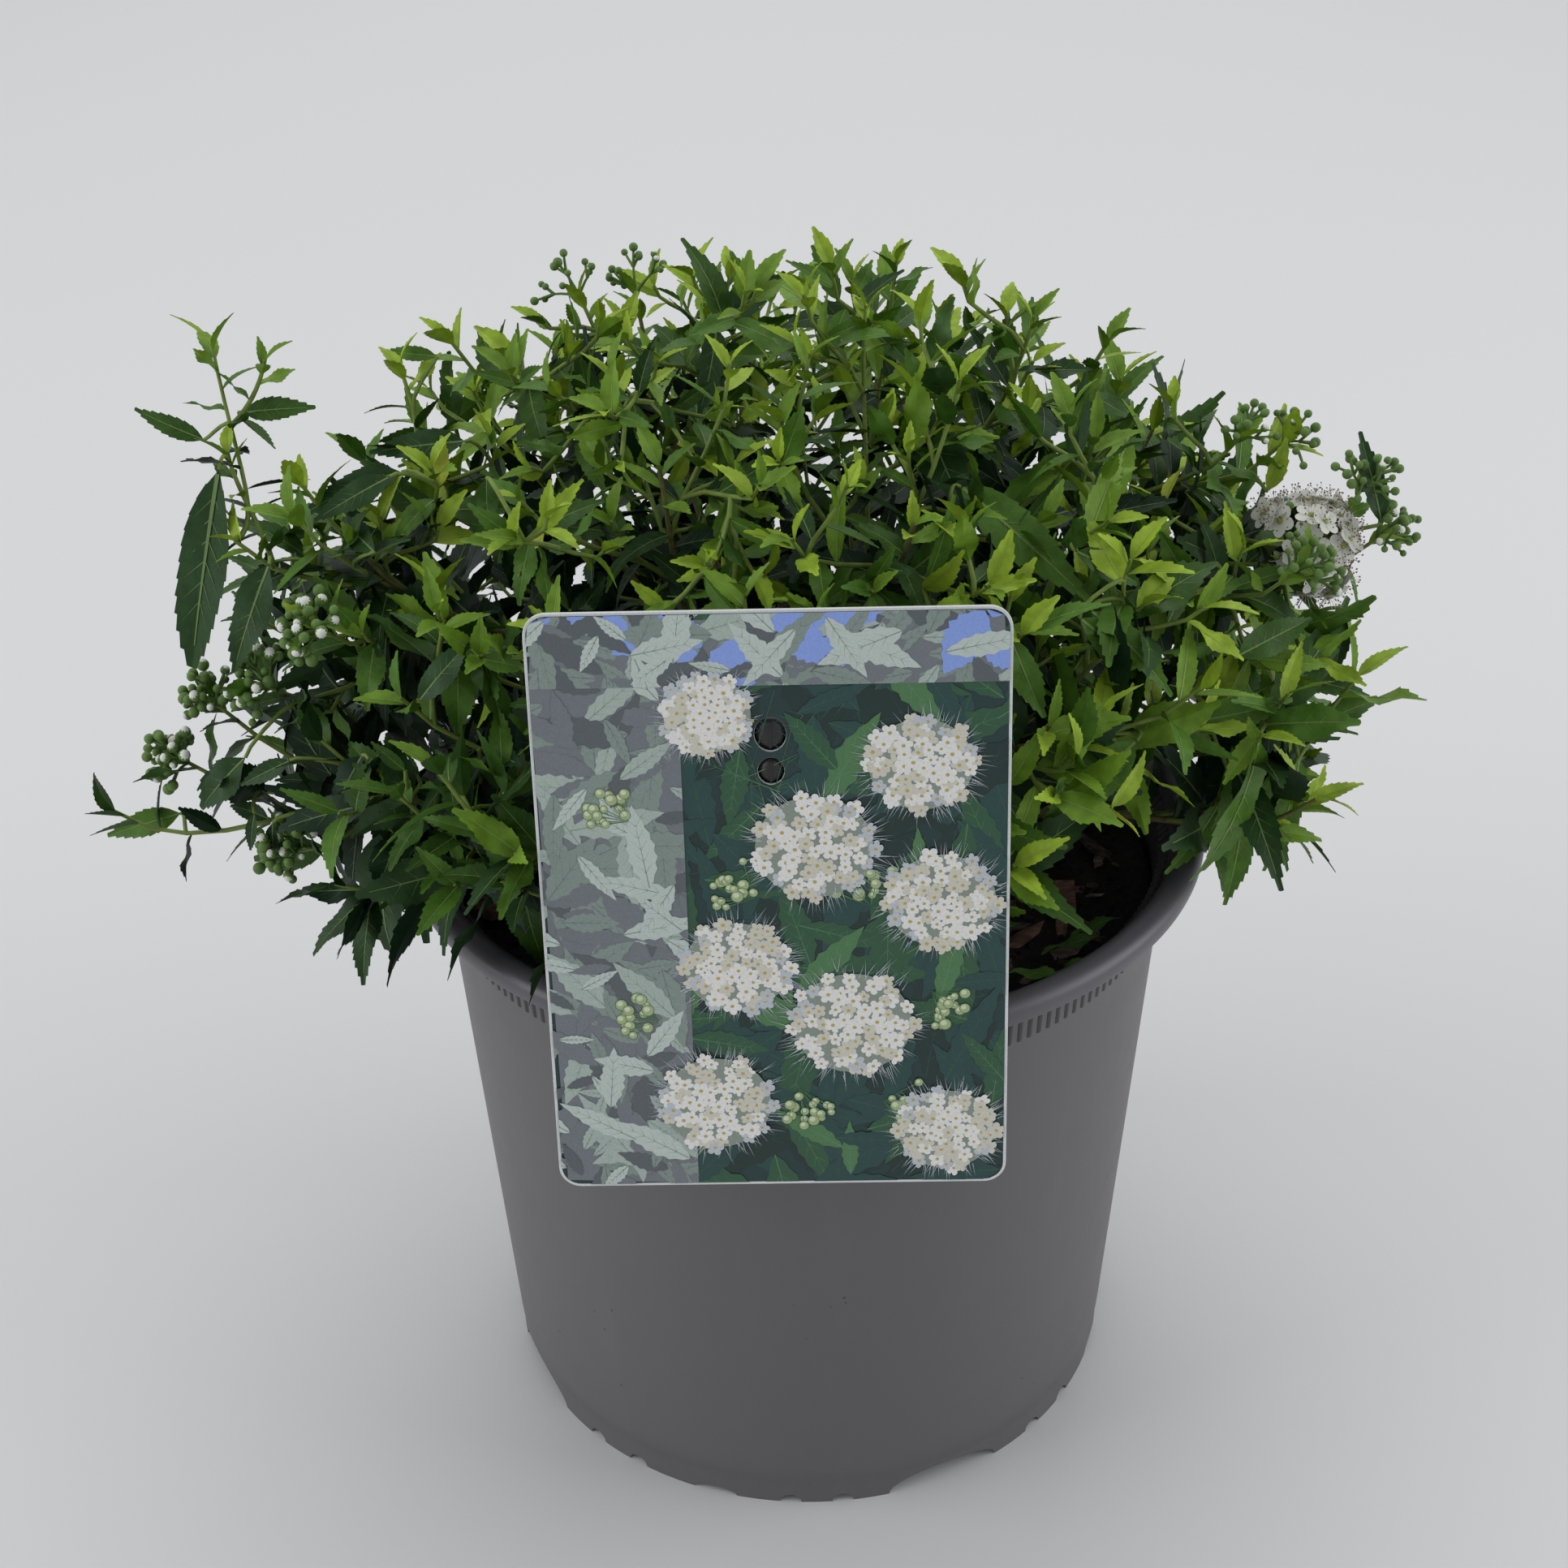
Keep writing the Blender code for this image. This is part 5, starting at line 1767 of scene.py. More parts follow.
@dataclass(frozen=True)
class LeafShape:
    """A toothed leaf of unit length along +X, its upper face to +Z."""

    width: float
    widest: float = 0.42
    teeth: int = 7
    tooth: float = 0.020
    fold: float = 0.30
    arch: float = 0.15
    twist: float = 0.0
    wave: float = 0.0
    fullness: float = 1.0
    TOOTH_PLACE = 0.72
    TOOTH_REACH = 0.02
    RIB_STEPS = 5
    RIB_FROM = 0.02
    RIB_SPAN = 0.86
    RIB_HALF = 0.011
    RIB_TAPER = 0.75
    RIB_LIFT = 0.0035
    VEIN_FROM = 0.14
    VEIN_SPAN = 0.62
    VEIN_HALF = 0.004
    VEIN_REACH = 0.13
    VEIN_LIFTS = (0.003, 0.0025)

    def half(self, t: float) -> float:
        """Half the blade's width.

        Args:
            t: The place, as a share of its length.

        Returns:
            The half width.
        """
        power = math.log(0.5) / math.log(self.widest)
        sharpness = (1.06 if t > self.widest else 1.0) * self.fullness
        return self.width / 2 * math.sin(math.pi * t**power) ** sharpness

    def spot(self, t: float, across: float, lift: float = 0.0) -> Vector:
        """A point of the blade.

        Args:
            t: Share of the length.
            across: Distance from the midrib, to the left if positive.
            lift: Height over the blade.

        Returns:
            The point.
        """
        z = abs(across) * self.fold - self.arch * t * t + lift
        z += self.wave * math.sin(9.0 * t + (1.4 if across > 0 else 0.0)) * abs(across) * 2
        point = Vector((t - 0.12 * self.arch * t * t, across, z))
        if self.twist:
            point.rotate(Matrix.Rotation(self.twist * t, 3, "X"))
        return point

    def mesh(self) -> Mesh:
        """The blade: two toothed halves that meet in a crease at the midrib.

        Returns:
            The mesh, shaded round on each half.
        """
        bm = bmesh.new()
        middle = [bm.verts.new(self.spot(k / self.teeth, 0.0)) for k in range(self.teeth + 1)]
        for side in (-1, 1):
            valleys = [middle[0]]
            for k in range(1, self.teeth):
                t = k / self.teeth
                valleys.append(bm.verts.new(self.spot(t, side * self.half(t))))
            valleys.append(middle[-1])
            for k in range(self.teeth):
                t = (k + self.TOOTH_PLACE) / self.teeth
                out = self.half(t) + self.tooth * (0.4 if k == 0 else 1.0)
                tip = bm.verts.new(self.spot(t + self.TOOTH_REACH, side * out))
                loop = [middle[k], valleys[k], tip, valleys[k + 1], middle[k + 1]]
                corners = [v for n, v in enumerate(loop) if v not in loop[:n]]
                if side > 0:
                    corners.reverse()
                bm.faces.new(corners)
        for edge in bm.edges:
            if edge.verts[0] in middle and edge.verts[1] in middle:
                edge.smooth = False
        for face in bm.faces:
            face.smooth = True
        bmesh.ops.triangulate(bm, faces=bm.faces)
        return mesh_from(bm)

    def rib(self) -> Mesh:
        """A thin raised midrib for the same leaf, with side veins.

        Returns:
            The mesh.
        """
        bm = bmesh.new()
        rows = []
        for step in range(self.RIB_STEPS + 1):
            t = self.RIB_FROM + self.RIB_SPAN * step / self.RIB_STEPS
            half = self.RIB_HALF * (1 - self.RIB_TAPER * step / self.RIB_STEPS)
            lift = self.RIB_LIFT + half * self.fold
            rows.append([bm.verts.new(self.spot(t, side * half, lift)) for side in (-1, 1)])
        for before, after in pairwise(rows):
            bm.faces.new((before[0], after[0], after[1], before[1]))
        pairs = self.teeth // 2
        low, high = self.VEIN_LIFTS
        for number in range(pairs):
            t = self.VEIN_FROM + self.VEIN_SPAN * number / pairs
            for side in (-1, 1):
                across, thick = side * self.VEIN_HALF, (-self.VEIN_HALF, self.VEIN_HALF)
                places = [self.spot(t + shift, across, low) for shift in thick]
                t_end = t + self.VEIN_REACH
                places.append(self.spot(t_end, side * self.half(t_end) * self.RIB_SPAN, high))
                *foot, end = [bm.verts.new(place) for place in places]
                bm.faces.new((*foot, end) if side > 0 else (*reversed(foot), end))
        return mesh_from(bm)


LEAF_SHAPES = (
    LeafShape(0.32, 0.42, 6, 0.022, 0.42, 0.16),
    LeafShape(0.38, 0.44, 6, 0.024, 0.34, 0.26),
    LeafShape(0.31, 0.40, 9, 0.019, 0.26, 0.10),
    LeafShape(0.39, 0.43, 9, 0.021, 0.20, 0.20, 0.0, 0.16),
    LeafShape(0.33, 0.41, 9, 0.019, 0.26, 0.38, 0.10),
    LeafShape(0.25, 0.39, 9, 0.017, 0.34, 0.22, -0.25),
    LeafShape(0.34, 0.43, 9, 0.020, 0.18, 0.10, 0.45, 0.20),
    LeafShape(0.28, 0.39, 12, 0.014, 0.20, 0.32, 0.12, 0.10),
    LeafShape(0.32, 0.41, 12, 0.015, 0.16, 0.18, -0.10, 0.12),
    LeafShape(0.25, 0.50, 12, 0.009, 0.20, 0.05, 0.0, 0.06, 0.7),
)
YOUNG_SHAPES = (0, 1)
GROWN_SHAPES = (2, 3, 4, 5, 6)
LONG_SHAPES = (7, 8)


@dataclass(frozen=True)
class Dome:
    """The crown's outer form: a dome round its heart, shallower at the front, behind the label."""

    heart: Point3 = (-0.004, 0.0, 0.155)
    half_width: float = 0.132
    half_front: float = 0.097
    half_back: float = 0.122
    rise: float = 0.122
    drop: float = 0.045
    roundness: float = 1.8
    lowest_front: float = math.radians(12)
    lowest_back: float = math.radians(-13)

    def share(self, ahead: Vector) -> float:
        """How far the dome reaches from its heart.

        Args:
            ahead: The direction, of unit length.

        Returns:
            The distance.
        """
        half_depth = self.half_back if ahead.y > 0 else self.half_front
        half_height = self.rise if ahead.z > 0 else self.drop
        level = math.hypot(ahead.x / self.half_width, ahead.y / half_depth)
        upright = abs(ahead.z / half_height)
        total = level**self.roundness + upright**self.roundness
        return total ** (-1 / self.roundness)

    def point(self, azimuth: float, elevation: float, reach: float = 1.0) -> Vector:
        """A point of the dome, or a share of the way to it."""
        ahead = heading(azimuth, elevation)
        return Vector(self.heart) + ahead * (reach * self.share(ahead))

    def at(self, spot: Point3) -> Vector:
        """A point by its azimuth and elevation in degrees, and its reach."""
        return self.point(math.radians(spot[0]), math.radians(spot[1]), spot[2])

    def depth(self, point: Vector) -> float:
        """How far out a point is, from 0 at the heart to 1 on the dome."""
        offset = point - Vector(self.heart)
        return offset.length / self.share(offset.normalized())

    def lowest(self, azimuth: float) -> float:
        """The lowest elevation that shoots reach on one side."""
        front = (1 - math.sin(azimuth)) / 2
        return self.lowest_back + (self.lowest_front - self.lowest_back) * front


def heading(azimuth: float, elevation: float) -> Vector:
    """A unit vector from two angles."""
    flat = math.cos(elevation)
    return Vector((flat * math.cos(azimuth), flat * math.sin(azimuth), math.sin(elevation)))


def bend(start: Vector, first: Vector, last: Vector, end: Vector, count: int) -> list[Vector]:
    """Points along a cubic curve.

    Args:
        start: Where it starts.
        first: What it heads for at its start.
        last: What it comes from at its end.
        end: Where it ends.
        count: How many points are wanted.

    Returns:
        The points, both ends among them.
    """
    points = []
    for step in range(count):
        t = step / (count - 1)
        s = 1 - t
        points.append(s**3 * start + 3 * s * s * t * first + 3 * s * t * t * last + t**3 * end)
    return points


def axes_along(ahead: Vector, face: Vector) -> Quaternion:
    """A turn with +X ahead and +Z as near to a facing as can be.

    Args:
        ahead: Where +X goes.
        face: Where +Z would go if it could.

    Returns:
        The turn.
    """
    ahead = ahead.normalized()
    side = face.cross(ahead)
    if side.length < 1e-4:
        side = Vector((1, 0, 0)).cross(ahead)
    side.normalize()
    return Matrix((ahead, side, ahead.cross(side))).transposed().to_quaternion()


class Bough:
    """One limb from the root crown to the foot of its own mass of foliage."""

    RADIUS = 0.0022
    TIP_SHARE = 0.62
    POINTS = 13
    SITE_REACH = 0.80
    TIP_REACH = 0.46
    ROOT_SHARE = 0.55
    START_PULL = 0.35
    END_PULL = 0.30
    RISE = 0.35

    def __init__(self, name: str, angles: Point3, dome: Dome, knob: Knob) -> None:
        """Works out the limb's course.

        Args:
            name: Ring and number.
            angles: Azimuth, elevation of the foliage and elevation at the root crown, in radians.
            dome: The crown's outer form.
            knob: The root crown.
        """
        azimuth, elevation, start_elevation = angles
        self.name = name
        self.site = dome.point(azimuth, elevation, self.SITE_REACH)
        self.tip = dome.point(azimuth, elevation, self.TIP_REACH)
        ahead = heading(azimuth, start_elevation)
        start = Vector(knob.centre) + ahead * (knob.radius + GAP)
        length = (self.tip - start).length
        leaving = ((self.site - self.tip).normalized() + UP * self.RISE).normalized()
        first = start + ahead * length * self.START_PULL
        last = self.tip - leaving * length * self.END_PULL
        coarse = bend(start, first, last, self.tip, 5)
        self.ahead = (coarse[-1] - coarse[-2]).normalized()
        self.points = bend(start, first, last, self.tip, self.POINTS)
        self.root = Vector(knob.centre) + ahead * (knob.radius * self.ROOT_SHARE)

    def radius(self, share: float) -> float:
        """The limb's radius at a share of its length."""
        return self.RADIUS * (1 - (1 - self.TIP_SHARE) * share)


@dataclass
class Knob:
    """The root crown that every limb rises from."""

    centre: Point3 = (-0.002, 0.004, 0.1445)
    radius: float = 0.0140
    soil_level: float = 0.1385
    fullness: float = 0.985
    gnarl_depth: float = 0.020
    gnarl_waves: float = 2.4
    ridge_depth: float = 0.018
    ridge_count: float = 9.0

    def mesh(self) -> Mesh:
        """A gnarled knob, sunk into the soil.

        Returns:
            The mesh, in place.
        """
        bm = bmesh.new()
        bmesh.ops.create_icosphere(bm, subdivisions=4, radius=1.0)
        for vert in bm.verts:
            out = vert.co.normalized()
            gnarl = noise.fractal(out * self.gnarl_waves + Vector((3.1, 0.0, 0.0)), 0.9, 2.0, 4)
            ridges = math.sin(self.ridge_count * math.atan2(out.y, out.x) + 2.0 * gnarl)
            share = self.fullness + self.gnarl_depth * gnarl
            share += self.ridge_depth * ridges * (1 - out.z**2)
            vert.co = Vector(self.centre) + out * (self.radius * share)
            vert.co.z = max(vert.co.z, self.soil_level + GAP)
        return mesh_from(bm)


@dataclass
class Wood:
    """Root crown and boughs as one mesh with the bark's relief."""

    knob: Knob
    boughs: list[Bough]
    sides: int = 12
    foot_swell: float = 1.25
    swell_step: float = 0.12
    ridge_depth: float = 0.10
    ridge_waves: float = 2.2
    finish: Bark = Bark()

    def limb(self, bough: Bough, seed: int) -> Mesh:
        """One tapering limb with ridges along it.

        Args:
            bough: The limb's course.
            seed: Which of the many patterns of ridges it has.

        Returns:
            The closed mesh, in place.
        """
        bm = bmesh.new()
        centres = [bough.root, *bough.points]
        last = len(centres) - 1
        rows = []
        side = (centres[1] - centres[0]).orthogonal().normalized()
        for number, centre in enumerate(centres):
            along = (centres[min(number + 1, last)] - centres[max(number - 1, 0)]).normalized()
            side = (side - along * side.dot(along)).normalized()
            across = along.cross(side)
            thick = bough.radius(max(0, number - 1) / (last - 1))
            thick *= 1.0 if number > 1 else self.foot_swell - self.swell_step * number
            row = []
            for step in range(self.sides):
                turn = math.tau * step / self.sides
                c, s = math.cos(turn), math.sin(turn)
                around = c * self.ridge_waves, s * self.ridge_waves
                ridge = noise.noise(Vector((*around, number * 0.5 + seed * 7.3)))
                offset = (side * c + across * s) * (thick * (1.0 + self.ridge_depth * ridge))
                row.append(bm.verts.new(centre + offset))
            rows.append(row)
        for lower, upper in pairwise(rows):
            for step in range(self.sides):
                bm.faces.new((lower[step - 1], lower[step], upper[step], upper[step - 1]))
        bm.faces.new(list(reversed(rows[0])))
        bm.faces.new(rows[-1])
        bmesh.ops.recalc_face_normals(bm, faces=bm.faces)
        return mesh_from(bm)

    def build(self) -> None:
        """Makes the one piece that stands for root crown and boughs."""
        limbs = [self.limb(bough, seed) for seed, bough in enumerate(self.boughs)]
        whole = smooth(joined([self.knob.mesh(), *limbs]), 50.0)
        names = [f"bough_{bough.name}" for bough in self.boughs]
        show("woody_stems", whole, self.finish, ["root_crown", *names])


@dataclass(frozen=True)
class LongLeaf:
    """A large leaf in its own place, by azimuth and elevation in degrees and reach."""

    foot: Point3
    tip: Point3
    age: Age
    shape: int


LONG_LEAVES = tuple(
    LongLeaf(*row)
    for row in (
        ((-173, 38, 1.24), (-171, 20, 1.12), Age.DEEP, 9),
        ((-178, 54, 0.96), (-175, 47, 1.07), Age.DEEP, 8),
        ((-172, 48, 1.01), (-169, 40, 1.13), Age.DEEP, 7),
        ((-166, 48, 1.05), (-164, 41, 1.12), Age.DEEP, 8),
        ((171, 55, 1.09), (171, 51, 1.16), Age.FRESH, 5),
        ((-146, 55, 1.07), (-145, 51, 1.01), Age.MATURE, 3),
        ((-3, 37, 1.08), (-3, 40, 1.17), Age.TIP, 0),
        ((62, 63, 1.01), (66, 62, 1.12), Age.YOUNG, 0),
        ((58, 66, 0.97), (52, 65, 1.07), Age.FRESH, 2),
        ((84, 64, 0.99), (80, 62, 1.09), Age.YOUNG, 1),
        ((98, 67, 0.98), (102, 67, 1.08), Age.FRESH, 0),
        ((-33, 49, 0.98), (-19, 53, 1.05), Age.YOUNG, 5),
        ((-37, 49, 0.99), (-30, 41, 1.01), Age.MATURE, 7),
        ((-42, 43, 0.98), (-34, 31, 0.98), Age.FRESH, 7),
        ((-22, 29, 0.98), (-15, 28, 1.09), Age.MATURE, 8),
        ((-7, 24, 1.08), (-9, 17, 1.03), Age.DEEP, 5),
        ((-161, 17, 1.04), (-163, 10, 1.10), Age.DEEP, 3),
        ((-157, 19, 1.00), (-159, 15, 1.06), Age.DEEP, 2),
        ((-151, 23, 0.94), (-153, 15, 0.95), Age.SHADE, 3),
        ((-139, 25, 0.84), (-144, 17, 0.86), Age.DEEP, 3),
        ((-142, 25, 0.97), (-144, 27, 1.03), Age.MATURE, 2),
        ((-141, 33, 1.01), (-136, 41, 1.05), Age.DEEP, 8),
        ((-164, 9, 0.98), (-164, 4, 0.99), Age.DEEP, 5),
        ((-162, 9, 0.96), (-162, 3, 0.96), Age.SHADE, 5),
        ((-165, 35, 1.12), (-163, 24, 1.11), Age.DEEP, 8),
        ((180, 37, 1.27), (180, 36, 1.40), Age.MATURE, 5),
        ((180, 41, 1.25), (-178, 46, 1.18), Age.MATURE, 2),
        ((-150, 18, 0.83), (-142, 1, 0.88), Age.DEEP, 8),
        ((-154, 12, 0.82), (-154, -10, 1.00), Age.DEEP, 7),
        ((-132, 19, 0.90), (-127, 7, 0.90), Age.SHADE, 7),
        ((-176, 2, 1.08), (-176, 0, 1.22), Age.FRESH, 2),
        ((-160, 42, 1.02), (-170, 41, 1.06), Age.DEEP, 8),
        ((-39, 63, 0.90), (-39, 45, 1.00), Age.FRESH, 7),
        ((-39, 43, 0.97), (-38, 32, 1.06), Age.FRESH, 5),
        ((-40, 28, 0.95), (-55, 22, 0.93), Age.FRESH, 8),
        ((-28, 25, 0.89), (-23, 23, 1.06), Age.FRESH, 7),
        ((-10, 20, 0.96), (-9, 16, 1.09), Age.MATURE, 5),
        ((-16, 19, 0.93), (-9, 25, 1.14), Age.MATURE, 7),
        ((-16, 15, 0.90), (-26, 10, 0.88), Age.FRESH, 8),
        ((-19, 10, 0.87), (-25, -2, 0.90), Age.FRESH, 7),
        ((-16, 8, 0.87), (-17, 0, 0.95), Age.MATURE, 5),
        ((-20, 10, 0.83), (-31, 6, 0.84), Age.FRESH, 5),
        ((-23, 73, 0.90), (-43, 61, 0.92), Age.DEEP, 3),
        ((89, 75, 1.00), (58, 80, 0.96), Age.YOUNG, 2),
        ((-8, 31, 1.22), (-7, 38, 1.29), Age.DEEP, 5),
        ((-8, 52, 1.01), (-25, 49, 0.94), Age.YOUNG, 5),
    )
)


class Surroundings:
    """What a twig or a leaf may not touch."""

    def __init__(self, boughs: list[Bough], soil: Soil, holder: Holder, knob: Knob) -> None:
        """Keeps the others' places as arrays.

        Args:
            boughs: All the limbs.
            soil: The soil, which knows its pot.
            holder: The label's holder, which knows its label.
            knob: The root crown.
        """
        self.soil, self.pot = soil, soil.pot
        self.holder = holder
        self.knob = knob
        self.sites = np.array([bough.site for bough in boughs])
        self.starts = np.array([point for bough in boughs for point in bough.points[:-1]])
        ends = np.array([point for bough in boughs for point in bough.points[1:]])
        self.spans = ends - self.starts
        self.lengths = (self.spans**2).sum(axis=1)
        self.to_label = np.array(holder.label.frame().inverted())
        self.to_holder = np.array(holder.frame().inverted())
        low, high = CAD_BOX
        self.low = np.array(low) + 0.0005
        self.high = np.array(high) - 0.0005

    def in_space(self, points: np.ndarray, own: int, margin: float) -> bool:
        """Whether points lie on the own side of every plane halfway to another mass.

        Args:
            points: The points.
            own: The mass that they belong to.
            margin: How far inside, or outside if negative.

        Returns:
            True where all do.
        """
        others = np.delete(self.sites, own, axis=0)
        across = others - self.sites[own]
        distance = np.linalg.norm(across, axis=1)
        middle = (others + self.sites[own]) / 2
        beyond = ((points[:, None] - middle) * across).sum(axis=2) / distance
        return bool((beyond.max(axis=1) < -margin).all())

    def clear(self, points: np.ndarray, margin: float, limb_margin: float) -> bool:
        """Whether points touch nothing that is fixed and lie in the solids' box.

        Args:
            points: The points.
            margin: How far they keep from pot, soil, root crown, label and holder.
            limb_margin: How far they keep from the limbs.

        Returns:
            True where all do.
        """
        if (points < self.low).any() or (points > self.high).any():
            return False
        out = np.hypot(points[:, 0], points[:, 1])
        height = points[:, 2]
        lip = self.pot.rim_inner_radius - self.pot.lip_undercut
        inner = np.where(height > self.pot.neck_height, lip, self.pot.inner(height))
        in_wall = (height < self.pot.height + margin) & (out > inner - margin)
        in_wall &= out < self.pot.rim_radius + margin
        top = self.soil.level + self.soil.unevenness + margin
        if (in_wall | ((out < inner) & (height < top))).any():
            return False
        from_knob = np.linalg.norm(points - np.array(self.knob.centre), axis=1)
        if (from_knob < self.knob.radius + margin).any():
            return False
        whole = np.column_stack([points, np.ones(len(points))])
        local = (whole @ self.to_label.T)[:, :3]
        label = self.holder.label
        behind = (np.abs(local[:, 0]) < label.width / 2 + margin) & (local[:, 2] > -margin)
        behind &= np.abs(local[:, 1]) < label.height / 2 + margin
        local = np.abs((whole @ self.to_holder.T)[:, :3])
        on_blade = local[:, 0] < self.holder.width / 2 + margin
        on_blade &= local[:, 1] < self.holder.thickness / 2 + margin
        on_blade &= local[:, 2] < (self.holder.top - self.holder.foot) / 2 + margin
        if (behind | on_blade).any():
            return False
        offset = points[:, None] - self.starts
        share = np.clip((offset * self.spans).sum(axis=2) / self.lengths, 0.0, 1.0)
        away = np.linalg.norm(offset - share[..., None] * self.spans, axis=2)
        return bool((away.min(axis=1) > Bough.RADIUS + limb_margin).all())


@dataclass
class Shoot:
    """One twig with its leaves' plan."""

    points: list[Vector]
    foot_radius: float
    tip_radius: float
    tip: Tip
    own: int
    leafless: float

    def length(self) -> float:
        """The shoot's length."""
        return sum((after - before).length for before, after in pairwise(self.points))

    def at(self, from_tip: float) -> tuple[Vector, Vector]:
        """A place on the shoot.

        Args:
            from_tip: Its distance from the tip.

        Returns:
            The place, and the shoot's direction there.
        """
        left = from_tip
        for after, before in pairwise(reversed(self.points)):
            span = (after - before).length
            if left <= span:
                return after.lerp(before, left / span), (after - before).normalized()
            left -= span
        return self.points[0], (self.points[1] - self.points[0]).normalized()


@dataclass
class Crown:
    """The leafy crown, grown from the boughs by the source's rule and carried to finer shoots.

    The finer shoots come in two rounds, each with a number, the least and greatest reach, and how
    far their ends keep apart. A pair of numbers is a least and a greatest value, apart from
    leaf_margins, the distances to fixed things and to limbs, and stalk_radii, at foot and tip.
    """

    dome: Dome
    boughs: list[Bough]
    around: Surroundings
    coarse_shoots: int = 90
    coarse_reach: Point2 = (0.90, 1.0)
    fine_plans: tuple[tuple[int, float, float, float], ...] = (
        (390, 0.86, 1.07, 0.0085),
        (120, 0.50, 0.80, 0.0125),
    )
    fine_attempts: int = 9000
    low_drawn: float = 0.11
    drawn_below: float = math.radians(27)
    drawn_over: float = math.radians(17)
    stem_radius: float = 0.00110
    twig_radius: float = 0.00066
    tip_radius: float = 0.00043
    collar: float = 0.0025
    stem_pull: float = 0.35
    twig_pull: float = 0.30
    curve_step: float = 0.008
    twig_margin: float = 0.0014
    stem_limb_margin: float = -0.0012
    twig_limb_margin: float = 0.0006
    twig_overlap: float = 0.006
    foot_shares: Point2 = (0.12, 0.80)
    shortest_twig: float = 0.012
    easy_angle: float = 0.6
    widest_angle: float = 1.35
    coarse_spacing: float = 0.014
    longer_reach: float = 1.055
    window_azimuth: float = -41.0
    window_half: float = 17.0
    window_top: float = 0.190
    window_detour: float = 0.05
    window_share: float = 0.85
    window_step: float = 0.004
    first_leaf: float = 0.0004
    longest_leaf: Point2 = (0.0145, 0.0215)
    longest_low_more: Point2 = (0.008, 0.020)
    shortest_leaf: Point2 = (0.0068, 0.0105)
    shortest_low_more: float = 0.004
    full_size_from: float = 0.022
    full_spread_from: float = 0.012
    young_until: float = 0.0045
    leaf_attempts: int = 5
    attempt_turn: float = 1.15
    attempt_less: float = 0.12
    long_from: float = 0.027
    age_step: float = 0.0062
    rare_leaf: float = 0.002
    leaf_margins: Point2 = (0.0008, 0.0006)
    leaf_overlap: float = 0.014
    lone_leaf: float = 0.0135
    bare_lip: Point3 = (-80.0, -20.0, 0.157)
    shortest_stalk: float = 0.0008
    stalk_radii: Point2 = (0.00052, 0.00042)
    leaf_probes: tuple[tuple[float, int], ...] = (
        *((0.35, 1), (0.35, -1), (0.6, 1), (0.6, -1)),
        *((0.6, 0), (0.85, 0), (1.0, 0), (0.3, 0)),
    )
    pale: Colour = (0.30, 0.42, 0.14)
    wood: Foliage = Foliage("stem_olive", (0.130, 0.120, 0.045), 0.6, 0.25)
    green: Foliage = Foliage("shoot_green", (0.160, 0.225, 0.045), 0.5, 0.15)
    fallen_leaves: int = 12
    fallen_circle: Point2 = (0.058, 0.066)
    fallen_sizes: Point2 = (0.013, 0.018)
    fallen_lift: float = 0.0028
    lone_shoots: tuple[tuple[Point3, ...], ...] = (
        ((-172, 36, 1.12), (-178, 38, 1.22), (-180, 44, 1.37)),
        ((-179, 40, 1.25), (-179, 43, 1.25), (-179, 46, 1.29)),
        ((-171, 35, 1.10), (-174, 37, 1.20), (-175, 39, 1.24)),
    )
    wall_leaves: tuple[tuple[Point3, Point3, Age], ...] = (
        ((0.0440, -0.0560, 0.1432), (0.0560, -0.0605, 0.1478), Age.FRESH),
        ((0.0520, -0.0500, 0.1436), (0.0665, -0.0455, 0.1486), Age.MATURE),
        ((0.0540, -0.0580, 0.1430), (0.0625, -0.0520, 0.1466), Age.FRESH),
        ((0.0590, -0.0440, 0.1436), (0.0700, -0.0400, 0.1492), Age.MATURE),
    )
    leaves: dict[Age, Placements] = field(default_factory=dict)
    shoots: list[Shoot] = field(default_factory=list)
    standing_out: tuple[tuple[float, float, float, Tip], ...] = (
        (-170, 34, 1.10, Tip.LEAFY),
        (-175, 3, 1.13, Tip.LEAFY),
        (-172, 10, 1.07, Tip.BUDS),
        (-173, 16, 1.04, Tip.BUDS),
        (-165, 23, 1.01, Tip.BUDS),
        (-158, 33, 1.04, Tip.BUDS),
        (-163, 5, 0.90, Tip.BUDS),
        (136, 60, 1.06, Tip.BUDS),
        (126, 63, 1.03, Tip.BUDS),
        (164, 55, 1.04, Tip.LEAFY),
        (173, 52, 1.06, Tip.LEAFY),
        (-172, 41, 1.06, Tip.LEAFY),
        (-165, 40, 1.08, Tip.LEAFY),
        (50, 71, 1.01, Tip.LEAFY),
        (103, 67, 0.98, Tip.LEAFY),
        (16, 54, 1.03, Tip.LEAFY),
        (-7, 32, 1.09, Tip.FLOWERS),
        (-7, 34, 1.22, Tip.BUDS),
        (-6, 29, 1.19, Tip.BUDS),
        (-16, 33, 1.10, Tip.BUDS),
        (0, 42, 1.10, Tip.BUDS),
        (0, 39, 1.15, Tip.BUDS),
        (-9, 18, 1.01, Tip.LEAFY),
        (-17, 9, 0.93, Tip.LEAFY),
    )
    reaching_lengths: Point2 = (0.020, 0.046)
    reaching_tips: tuple[Point3, ...] = (
        (-142, 1, 1.02),
        (-154, -2, 0.99),
        (-134, 8, 1.00),
        (-30, 2, 0.93),
        (-20, 1, 0.94),
        (-8, 16, 1.10),
        (-50, 45, 1.17),
        (-51, 13, 0.89),
        (4, 46, 1.09),
    )

